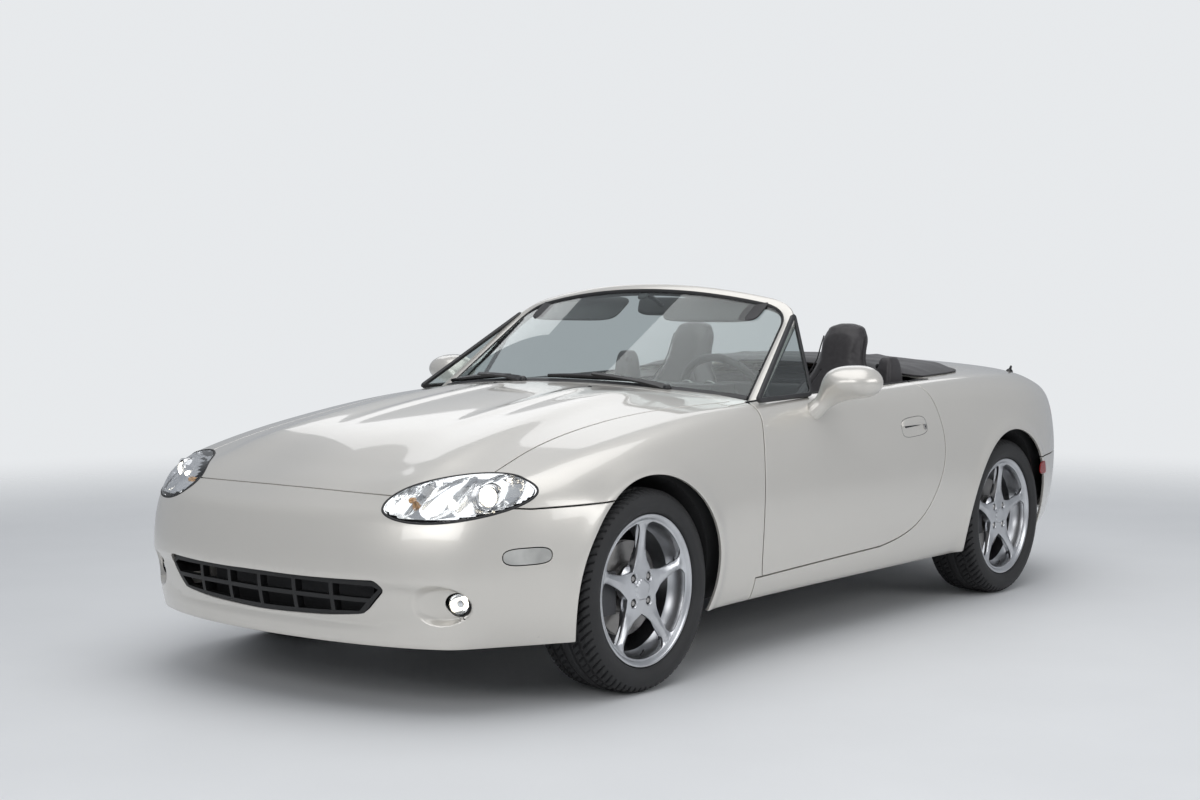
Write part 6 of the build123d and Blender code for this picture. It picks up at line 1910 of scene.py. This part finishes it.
place = addNode(tubTree, "TexCoord")
parts = addNode(tubTree, "SeparateXYZ")
tubTree.links.new(place.outputs["Object"], parts.inputs["Vector"])
wide = addNode(tubTree, "Math")
wide.operation = "ABSOLUTE"
tubTree.links.new(parts.outputs["X"], wide.inputs[0])
xs, ys, zs = wide.outputs[0], parts.outputs["Y"], parts.outputs["Z"]
jambMask = combine(tubTree, "MULTIPLY", maskStep(tubTree, xs, 0.655), maskStep(tubTree, ys, -0.76),
                   maskStep(tubTree, ys, 0.655, False), maskStep(tubTree, zs, 0.2))
bayMask = combine(tubTree, "MULTIPLY", maskStep(tubTree, xs, 0.41, False),
                  maskStep(tubTree, ys, -0.60, False), maskStep(tubTree, zs, 0.28))
shelfMask = combine(tubTree, "MULTIPLY", maskStep(tubTree, zs, 0.69), maskStep(tubTree, ys, -0.55, False))
lidMask = combine(tubTree, "MULTIPLY", maskStep(tubTree, zs, 0.71), maskStep(tubTree, ys, 1.10))
painted = combine(tubTree, "MAXIMUM", jambMask, bayMask, shelfMask, lidMask)
pile = noiseNode(tubTree, 900.0, 3.0)
carpet = addNode(tubTree, "ValToRGB")
carpet.color_ramp.elements[0].color = (0.008, 0.008, 0.009, 1.0)
carpet.color_ramp.elements[1].color = (0.03, 0.03, 0.031, 1.0)
tubTree.links.new(pile.outputs["Fac"], carpet.inputs["Fac"])
blendTub = addNode(tubTree, "Mix")
blendTub.data_type = "RGBA"
# Body colour of the jambs, bay and shelves: the pearl paint darkened as painted shade.
blendTub.inputs[7].default_value = (0.56, 0.54, 0.50, 1.0)
tubTree.links.new(painted, blendTub.inputs[0])
tubTree.links.new(carpet.outputs["Color"], blendTub.inputs[6])
tubTree.links.new(blendTub.outputs[2], tubShade.inputs["Base Color"])
spread(tubTree, painted, tubShade.inputs["Roughness"], 0.85, 0.35)
bumpFrom(tubTree, pile.outputs["Fac"], tubShade, 0.2, 0.001)
for k in range(len(nodes["body_tub"].data.materials)):
    nodes["body_tub"].data.materials[k] = tubMat

# Steering wheel: leather rim, blank pad and four spokes.
steering = {"tilt": 25.0, "hub": (345.0, -150.0, 770.0), "radius": 170.0, "grip": 14.0,
            "spokes": (8.0, 172.0, 236.0, 304.0)}
tilt = math.radians(steering["tilt"])
column = np.array([0.0, math.cos(tilt), math.sin(tilt)])
upWheel = np.array([0.0, -math.sin(tilt), math.cos(tilt)])
hub = np.array(steering["hub"])
a = np.linspace(0, 2 * math.pi, 161)[:-1]
rimPath = hub + steering["radius"] * (np.cos(a)[:, None] * np.array([1.0, 0, 0]) + np.sin(a)[:, None]
                                      * upWheel)
grip = sweep("steering_rim", rimPath, circleSection(steering["grip"], 20), leather, "steering_wheel",
             closed=True, normals=column)
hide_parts("steering_wheel")
padTurn = Euler((math.radians(-65.0), 0, 0))
pad = rounded("steering_pad", hub - column * 2 - upWheel * 6, (66, 56, 22), 3.4, cabinPlastic,
              "steering_wheel", padTurn)
boss = lathe("steering_boss", [(0, -33), (38, -33), (46, -20), (48, -6), (0, -4)], hub, column,
             cabinPlastic, "steering_wheel", 48)
for k, angle in enumerate(steering["spokes"]):
    c, s = math.cos(math.radians(angle)), math.sin(math.radians(angle))
    way = c * np.array([1.0, 0, 0]) + s * upWheel
    t = np.linspace(0, 1, 16)
    path = hub + way[None] * (46 + 122 * t)[:, None] - column[None] * (8 * (1 - t) + 2)[:, None]
    spoke = sweep("steering_spoke_%d" % k, path, circleSection(13.0, 16, 0.42), cabinPlastic,
                  "steering_wheel", normals=column, scale=1.15 - 0.45 * t)

# Instruments and air outlets.
for k, x in enumerate((-560.0, -110.0, 90.0, 560.0)):
    spot = np.array([x, -331.0, 706.0])
    way = np.array([0.0, 0.9, 0.22])
    ring = lathe("air_outlet_%d" % k, [(30, -2), (41, -2), (43, 4), (41, 9), (36, 10), (33, 7), (32, -2),
                                       (30, -2)], spot, way, gloss, "chassis", 48)
    fins = rounded("air_fins_%d" % k, spot + way * 2, (31, 31, 5), 2.0, blackPlastic, "chassis",
                   Euler((math.radians(-76), 0, 0)))
dialFace = makePlastic("dial_face", (0.02, 0.02, 0.022), 0.3, 300.0, 0.02)
for k, x in enumerate((300.0, 392.0)):
    spot = np.array([x, -313.0, 812.0])
    ring = lathe("gauge_ring_%d" % k, [(34, 0), (38, 0), (39, 4), (36, 6), (34, 3), (34, 0)], spot,
                 (0, 0.97, 0.24), bareSteel, "chassis", 48)
    dial = lathe("gauge_dial_%d" % k, [(0, 1.5), (34, 1.5), (34, -1), (0, -1)], spot, (0, 0.97, 0.24),
                 dialFace, "chassis", 48)
print("cabin fittings")


# Belt towers, console, shift lever and parking brake.
made = []
for flip, tag, side in reversed(sides):

    def taper(p):
        lean = np.clip((p[:, 2] + 157) / 314, 0, 1)
        return p * np.stack([1 - 0.18 * lean ** 2, 1 - 0.30 * lean ** 2, np.ones(len(p))], -1)
    made.append(rounded("belt_tower_" + tag, (side * 602.0, 528.0, 758.0), (37, 66, 157), 4.5, leather,
                        shape=taper, count=(60, 80)))
    made.append(rounded("belt_guide_" + tag, (side * 590.0, 500.0, 880.0), (26, 16, 12), 3.0, gloss))
rear = rounded("rear_shelf_trim", (0.0, 622.0, 700.0), (560, 30, 98), 8.0, cabinPlastic)
console = rounded("console", (0.0, 35.0, 474.0), (95, 435, 44), 7.0, cabinPlastic, count=(40, 96))
boot = lathe("shift_boot", [(0, 60), (14, 58), (20, 40), (34, 16), (48, 4), (50, -4), (0, -4)],
             (0, -60, 518), (0, -0.1, 1), leather, "chassis", 48)
lever = sweep("shift_lever", np.array([(0, -62, 560), (0, -68, 590), (0, -71, 612)], float),
              circleSection(7, 16), chrome, normals=(0.0, 1.0, 0))
knob = rounded("shift_knob", (0, -72, 628), (22, 24, 25), 2.3, leather)
brakeArm = sweep("brake_lever", np.array([(-60, 215, 530), (-60, 150, 548), (-60, 60, 566), (-60, 0, 574)],
                                         float), circleSection(13, 20, 0.9), leather,
                 scale=[1.1, 1.0, 0.95, 1.0])
brakeBoot = rounded("brake_boot", (-60, 210, 522), (26, 60, 12), 3.0, leather)
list(made)
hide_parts("interior_trim")
for flip, tag, sign in sides:
    for word, line, body in (("door_belt_seal_", doorTop, "door_" + tag),
                             ("deck_belt_seal_", quarterTop, "chassis")):
        seal = sweep(word + tag, line + (-1.0, 0.0, -1.0), [(-7, -4), (-7, 2.5), (-4, 4.6), (1, 4.2),
                                                            (3.4, 1), (3.4, -4)], sealRubber, body,
                     normals=(0.0, 0, 1.0), flipX=flip)


# Seats: cushion and backrest from their own forms, puffed by a cloth simulation, then sewn channels.
seat = {"x": 352.0, "swell": 0.012, "seamDepth": 3.6, "pipingDepth": 2.0}


# Backrest with its rounded head: closed rings up the spine.
def seatBack():
    table = np.array([
        (345, 455, 198, 62, 0), (400, 466, 200, 64, 0), (470, 484, 201, 62, 0), (560, 506, 202, 58, 0),
        (650, 530, 200, 54, 0), (720, 552, 193, 50, 0), (775, 572, 176, 46, 0), (820, 588, 148, 44, 0),
        (855, 600, 124, 43, 0), (900, 616, 106, 43, 0), (950, 632, 99, 43, 0), (990, 645, 91, 41, 0),
        (1016, 652, 76, 36, 0), (1032, 656, 52, 26, 0), (1038, 657, 26, 14, 0)], float)
    z = np.linspace(345, 1038, 90)
    row = spline(table[:, 0], table[:, 1:4], z)
    count = 84
    t = np.arange(count) * 2 * math.pi / count
    c, s = np.cos(t), np.sin(t)
    x = row[:, 1][:, None] * np.sign(c) * np.abs(c) ** 0.62
    lowPart = np.clip((800 - z) / 90, 0, 1)[:, None]
    bolster = 26.0 * lowPart * bumpAt(np.abs(c)[None, :] - 0.86, 0.20) * (s < 0)[None, :]
    depth = row[:, 2][:, None] * np.sign(s) * np.abs(s) ** 0.72 - bolster
    y = row[:, 0][:, None] + depth
    verts = np.stack([seat["x"] + x, y, np.repeat(z[:, None], count, 1)], -1).reshape(-1, 3)
    faces = list(ringFaces(90, count))
    faces += [tuple(range(count))[::-1], tuple(range(89 * count, 90 * count))]
    return verts, faces


# Cushion: closed rings from front to back, with raised sides.
def seatCushion():
    y = np.linspace(-88, 400, 70)
    count = 84
    t = np.arange(count) * 2 * math.pi / count
    c, s = np.cos(t), np.sin(t)
    end = np.clip(np.minimum(y + 88, 400 - y) / 46, 0, 1)
    size = 0.55 + 0.45 * np.sqrt(1 - (1 - end) ** 2)
    topZ = 400 - 0.085 * (y + 60) - 26 * (1 - end) ** 2
    lowZ = 280 + 20 * (1 - end) ** 2
    mid, half = (topZ + lowZ) / 2, (topZ - lowZ) / 2
    x = (198 * (0.9 + 0.1 * size))[:, None] * np.sign(c) * np.abs(c) ** 0.5
    rise = 22.0 * bumpAt(np.abs(c) - 0.86, 0.2)[None, :] * (s > 0) * np.clip((y + 60) / 90, 0, 1)[:, None]
    z = mid[:, None] + half[:, None] * np.sign(s) * np.abs(s) ** 0.6 + rise
    verts = np.stack([seat["x"] + x, np.repeat(y[:, None], count, 1), z], -1).reshape(-1, 3)
    faces = list(ringFaces(70, count, turned=True))
    faces += [tuple(range(count)), tuple(range(69 * count, 70 * count))[::-1]]
    return verts, faces


# Replaces the piece's mesh by the one its modifiers give, and clears them.
def applied(piece):
    bpy.context.view_layer.update()
    graph = bpy.context.evaluated_depsgraph_get()
    mesh = bpy.data.meshes.new_from_object(piece.evaluated_get(graph))
    old = piece.data
    piece.modifiers.clear()
    piece.data = mesh
    bpy.data.meshes.remove(old)
    return piece


# Cushion remeshed and swollen by the cloth simulation, each point moving no further than cap.
def puffed(piece, cap, voxel=0.006):
    mod = piece.modifiers.new("voxels", "REMESH")
    mod.mode = "VOXEL"
    mod.voxel_size = voxel
    applied(piece)
    start = pointsOf(piece)
    cloth = piece.modifiers.new("cloth", "CLOTH")
    cloth.settings.use_pressure = True
    cloth.settings.uniform_pressure_force = 4.0
    cloth.settings.effector_weights.gravity = 0.0
    cloth.settings.quality = 5
    cloth.point_cache.frame_start = 1
    cloth.point_cache.frame_end = 20
    for step in range(1, 21):
        scene.frame_set(step)
    applied(piece)
    scene.frame_set(1)
    now = pointsOf(piece)
    move = now - start
    size = np.linalg.norm(move, axis=1, keepdims=True)
    setPoints(piece, start + move * np.minimum(1, cap / np.maximum(size, 1e-9)))
    fine = piece.modifiers.new("fine", "SUBSURF")
    fine.levels = 1
    fine.render_levels = 1
    return applied(piece)


# Seams: points move in along their normals by depthOf(points in mm).
def sewn(piece, depthOf):
    points = pointsOf(piece)
    normals = np.zeros(len(points) * 3, np.float32)
    piece.data.vertices.foreach_get("normal", normals)
    setPoints(piece, points - normals.reshape(-1, 3) * depthOf(points * 1000)[:, None] / 1000)


def spineAt(z):
    # Middle of the backrest, front to back, at a height.
    return np.interp(z, [345, 560, 720, 855, 1038], [455, 506, 552, 600, 657])


# Depth of the channels and the side seams of the backrest.
def backSeams(p):
    x, y, z = np.abs(p[:, 0] - seat["x"]), p[:, 1], p[:, 2]
    spineY = spineAt(z)
    front = y < spineY - 8
    half = np.interp(z, [380, 560, 720, 780, 830, 880], [118, 122, 112, 98, 70, 40])
    line = bumpAt(x - half, 3.2) * (z < 860)
    for level in (500.0, 640.0):
        line = np.maximum(line, bumpAt(z - level, 3.2) * (x < half))
    side = np.interp(z, [345, 720, 800, 900, 1000, 1030], [186, 183, 150, 92, 78, 40])
    piping = bumpAt(np.abs(x - side), 2.8) * (z > 360) * (np.abs(y - spineY) > 6)
    return seat["seamDepth"] * line * front + seat["pipingDepth"] * piping * front


# Depth of the cushion's channels and its border seam.
def cushionSeams(p):
    x, y, z = np.abs(p[:, 0] - seat["x"]), p[:, 1], p[:, 2]
    top = z > 330
    line = bumpAt(x - 122, 3.2)
    for level in (70.0, 210.0):
        line = np.maximum(line, bumpAt(y - level, 3.2) * (x < 122))
    return seat["seamDepth"] * line * top + seat["pipingDepth"] * bumpAt(z - 322, 3.0)


def mirrored(piece, name, body):
    # Left seat's piece copied to the right side.
    other = bpy.data.objects.new(name, piece.data.copy())
    scene.collection.objects.link(other)
    setPoints(other, pointsOf(piece) * (-1, 1, 1))
    other.data.flip_normals()
    other.data.update()
    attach(other, body)
    return other


for word, build, seams in (("backrest", seatBack, backSeams), ("cushion", seatCushion, cushionSeams)):
    verts, faces = build()
    piece = finishMesh("seat_%s_left" % word, verts, faces, leather, "chassis", 60.0)
    puffed(piece, seat["swell"])
    sewn(piece, seams)
    piece.data.polygons.foreach_set("use_smooth", np.ones(len(piece.data.polygons), bool))
    piece.data.update()
    if not piece.data.materials:
        piece.data.materials.append(leather)
    twin = mirrored(piece, "seat_%s_right" % word, "chassis")
    for made, tag in ((piece, "left"), (twin, "right")):
        if word == "backrest":
            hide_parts("seat_" + tag)
    print(word, len(piece.data.vertices))
thread = circleSection(2.6, 10)
sideZ = np.linspace(420.0, 985.0, 60)
sideHalf = np.interp(sideZ, [420, 560, 650, 720, 775, 820, 855, 900, 950, 985],
                     [196, 200, 197, 190, 172, 145, 121, 103, 97, 91])
for flip, tag, sign in sides:
    for x in (-1, 1):
        path = rows3(seat["x"] + x * (sideHalf + 0.5), spineAt(sideZ) - 8.0, sideZ)
        pipe = sweep("seat_piping_%s_%s" % (tag, "out" if x > 0 else "in"), path, thread, leather,
                     normals=(float(x), 0, 0), flipX=flip)
    rail = [(-20, 236), (430, 236), (430, 262), (410, 282), (0, 282), (-20, 262)]
    for x0 in (190.0, 480.0):
        track = blockPrism("seat_track_%s_%d" % (tag, x0), rail, x0, x0 + 34.0, iron, "chassis", flip, 2.0)
print("seats")

# Folded-roof cover: one vinyl sheet drawn over the stack, hemmed at its edge.
coverX = np.linspace(-1, 1, 141)
coverT = np.linspace(0.0, 1.0, 70)
cx, ct = np.meshgrid(coverX, coverT, indexing="ij")
side = np.interp(ct, [0, 0.5, 0.82, 0.93, 1.0], [663, 652, 630, 604, 560])
front = 640.0 + 26.0 * np.clip((np.abs(cx) - 0.9) / 0.1, 0, 1) ** 2
back = 1092.0 - 34.0 * np.abs(cx) ** 7
cy = front + (back - front) * ct
cx = cx * side
ground = skinZ(cx.ravel(), cy.ravel())[:, 2].reshape(cx.shape)
edgeX = np.clip((side - np.abs(cx)) / 110, 0, 1)
edgeY = np.clip(np.minimum(cy - front, back - cy) / 60, 0, 1)
dome = 17.0 * np.sin(math.pi / 2 * edgeX) * np.sin(math.pi / 2 * edgeY)
fold = np.zeros_like(cx)
for k, (fx, fy, turn, wave, size) in enumerate(((420, 760, 0.5, 34, 2.4), (-430, 780, -0.55, 36, 2.4),
                                               (120, 950, 0.12, 46, 1.5), (-160, 900, -0.1, 50, 1.6),
                                               (500, 980, 0.9, 28, 1.8), (-500, 960, -0.9, 28, 1.8))):
    d = (cy - fy) * math.cos(turn) - (cx - fx) * math.sin(turn)
    reach = np.hypot(cx - fx, cy - fy)
    fold = fold + size * np.exp(-(d / wave) ** 2) * np.exp(-(reach / 210) ** 2)
ridge = 5.0 * bumpAt(np.abs(cx) - 330 + 0.18 * (cy - 668), 26.0) * np.clip((cy - 690) / 120, 0, 1)
bow = 4.5 * bumpAt(cy - 752, 26.0) + 3.5 * bumpAt(cy - 905, 34.0)
high = ground + 3.6 + dome + (fold + ridge + bow) * np.minimum(edgeX, edgeY) ** 0.5
verts = np.stack([cx, cy, high], -1).reshape(-1, 3)
lowSide = verts - (0, 0, 2.4)
ringIds, faces = slabFaces(*cx.shape, turned=True)
cover = finishMesh("roof_cover", np.vstack([verts, lowSide]), faces, coverFabric, "chassis", 50.0)
hemPath = verts[ringIds][::2]
hem = sweep("roof_cover_hem", hemPath + (0, 0, 0.5), circleSection(4.2, 12, 0.8), coverFabric, closed=True)
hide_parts("tonneau_cover")
well = rounded("roof_stack", (0.0, 875.0, 806.0), (520, 190, 16), 5.0, coverFabric)
print("cover")


# Top of the engine: two ribbed cam covers, plug leads in the valley between them and the oil cap.
engineTop = {"coverX": 64.0, "coverY": -1150.0, "coverZ": 684.0, "half": (56.0, 196.0, 42.0), "plugs": 4}
castAlloy = makeMetal("cast_alloy", (0.34, 0.34, 0.35), 0.5, scale=700.0, depth=0.3)
for flip, tag, side in reversed(sides):
    centre = (side * engineTop["coverX"], engineTop["coverY"], engineTop["coverZ"])
    cover = rounded("cam_cover_" + tag, centre, engineTop["half"], 5.0, castAlloy)
    for k in range(5):
        ribX = centre[0] + (k - 2) * 17.0
        run = np.stack([np.full(30, ribX), np.linspace(-1315.0, -985.0, 30),
                        np.full(30, 724.5 - 0.4 * abs(k - 2))], -1)
        rib = sweep("cam_rib_%s_%d" % (tag, k), run, [(-3, -3), (-2, 3), (2, 3), (3, -3)], castAlloy)
leadY = np.linspace(-1290.0, -1010.0, engineTop["plugs"])
for k, y in enumerate(leadY):
    lathe("plug_boot_%d" % k, [(0, 26), (9, 25), (11, 20), (12, 0), (12, -14), (0, -14)], (0.0, y, 692.0),
          (0.0, 0.0, 1.0), blackPlastic, "chassis", 24)
    t = np.linspace(0, 1, 40)
    bendOut = np.stack([6.0 * np.sin(math.pi * t) + (8.0 * k - 12.0) * t, y + (-952.0 - y) * t,
                        712.0 + 9.0 * np.sin(math.pi * t) - 6.0 * t], -1)
    sweep("plug_lead_%d" % k, bendOut, circleSection(3.6), sealRubber)
rounded("coil_pack", (0.0, -944.0, 702.0), (44.0, 14.0, 23.0), 6.0, blackPlastic)
lathe("oil_cap", [(0, 16), (17, 16), (19, 13), (20, 3), (24, 2), (24, -8), (0, -8)], (64.0, -1040.0, 726.0),
      (0.0, 0.0, 1.0), blackPlastic, "chassis", 40)
print("engine")


# Floor and its finish.
floorMesh = bpy.data.meshes.new("floor")
floorMesh.from_pydata([(-60, -60, 0), (60, -60, 0), (60, 60, 0), (-60, 60, 0)], [], [(0, 1, 2, 3)])
floor = bpy.data.objects.new("floor", floorMesh)
scene.collection.objects.link(floor)
floorMat, floorTree, floorShade = shader("studio_floor", Roughness=0.55)
floorNoise = noiseNode(floorTree, 2.0, 3.0)
rampTo(floorTree, floorNoise.outputs["Fac"], floorShade.inputs["Base Color"],
       [(0.3, (0.72, 0.73, 0.74)), (0.7, (0.74, 0.75, 0.76))])
away = addNode(floorTree, "TexCoord")
reach = addNode(floorTree, "VectorMath")
reach.operation = "LENGTH"
floorTree.links.new(away.outputs["Object"], reach.inputs[0])
fade = addNode(floorTree, "MapRange", From_Min=3.4, From_Max=7.5, To_Min=1.0, To_Max=0.0)
fade.interpolation_type = "SMOOTHSTEP"
floorTree.links.new(reach.outputs["Value"], fade.inputs["Value"])
floorTree.links.new(fade.outputs["Result"], floorShade.inputs["Alpha"])
floorMesh.materials.append(floorMat)

print("finish")
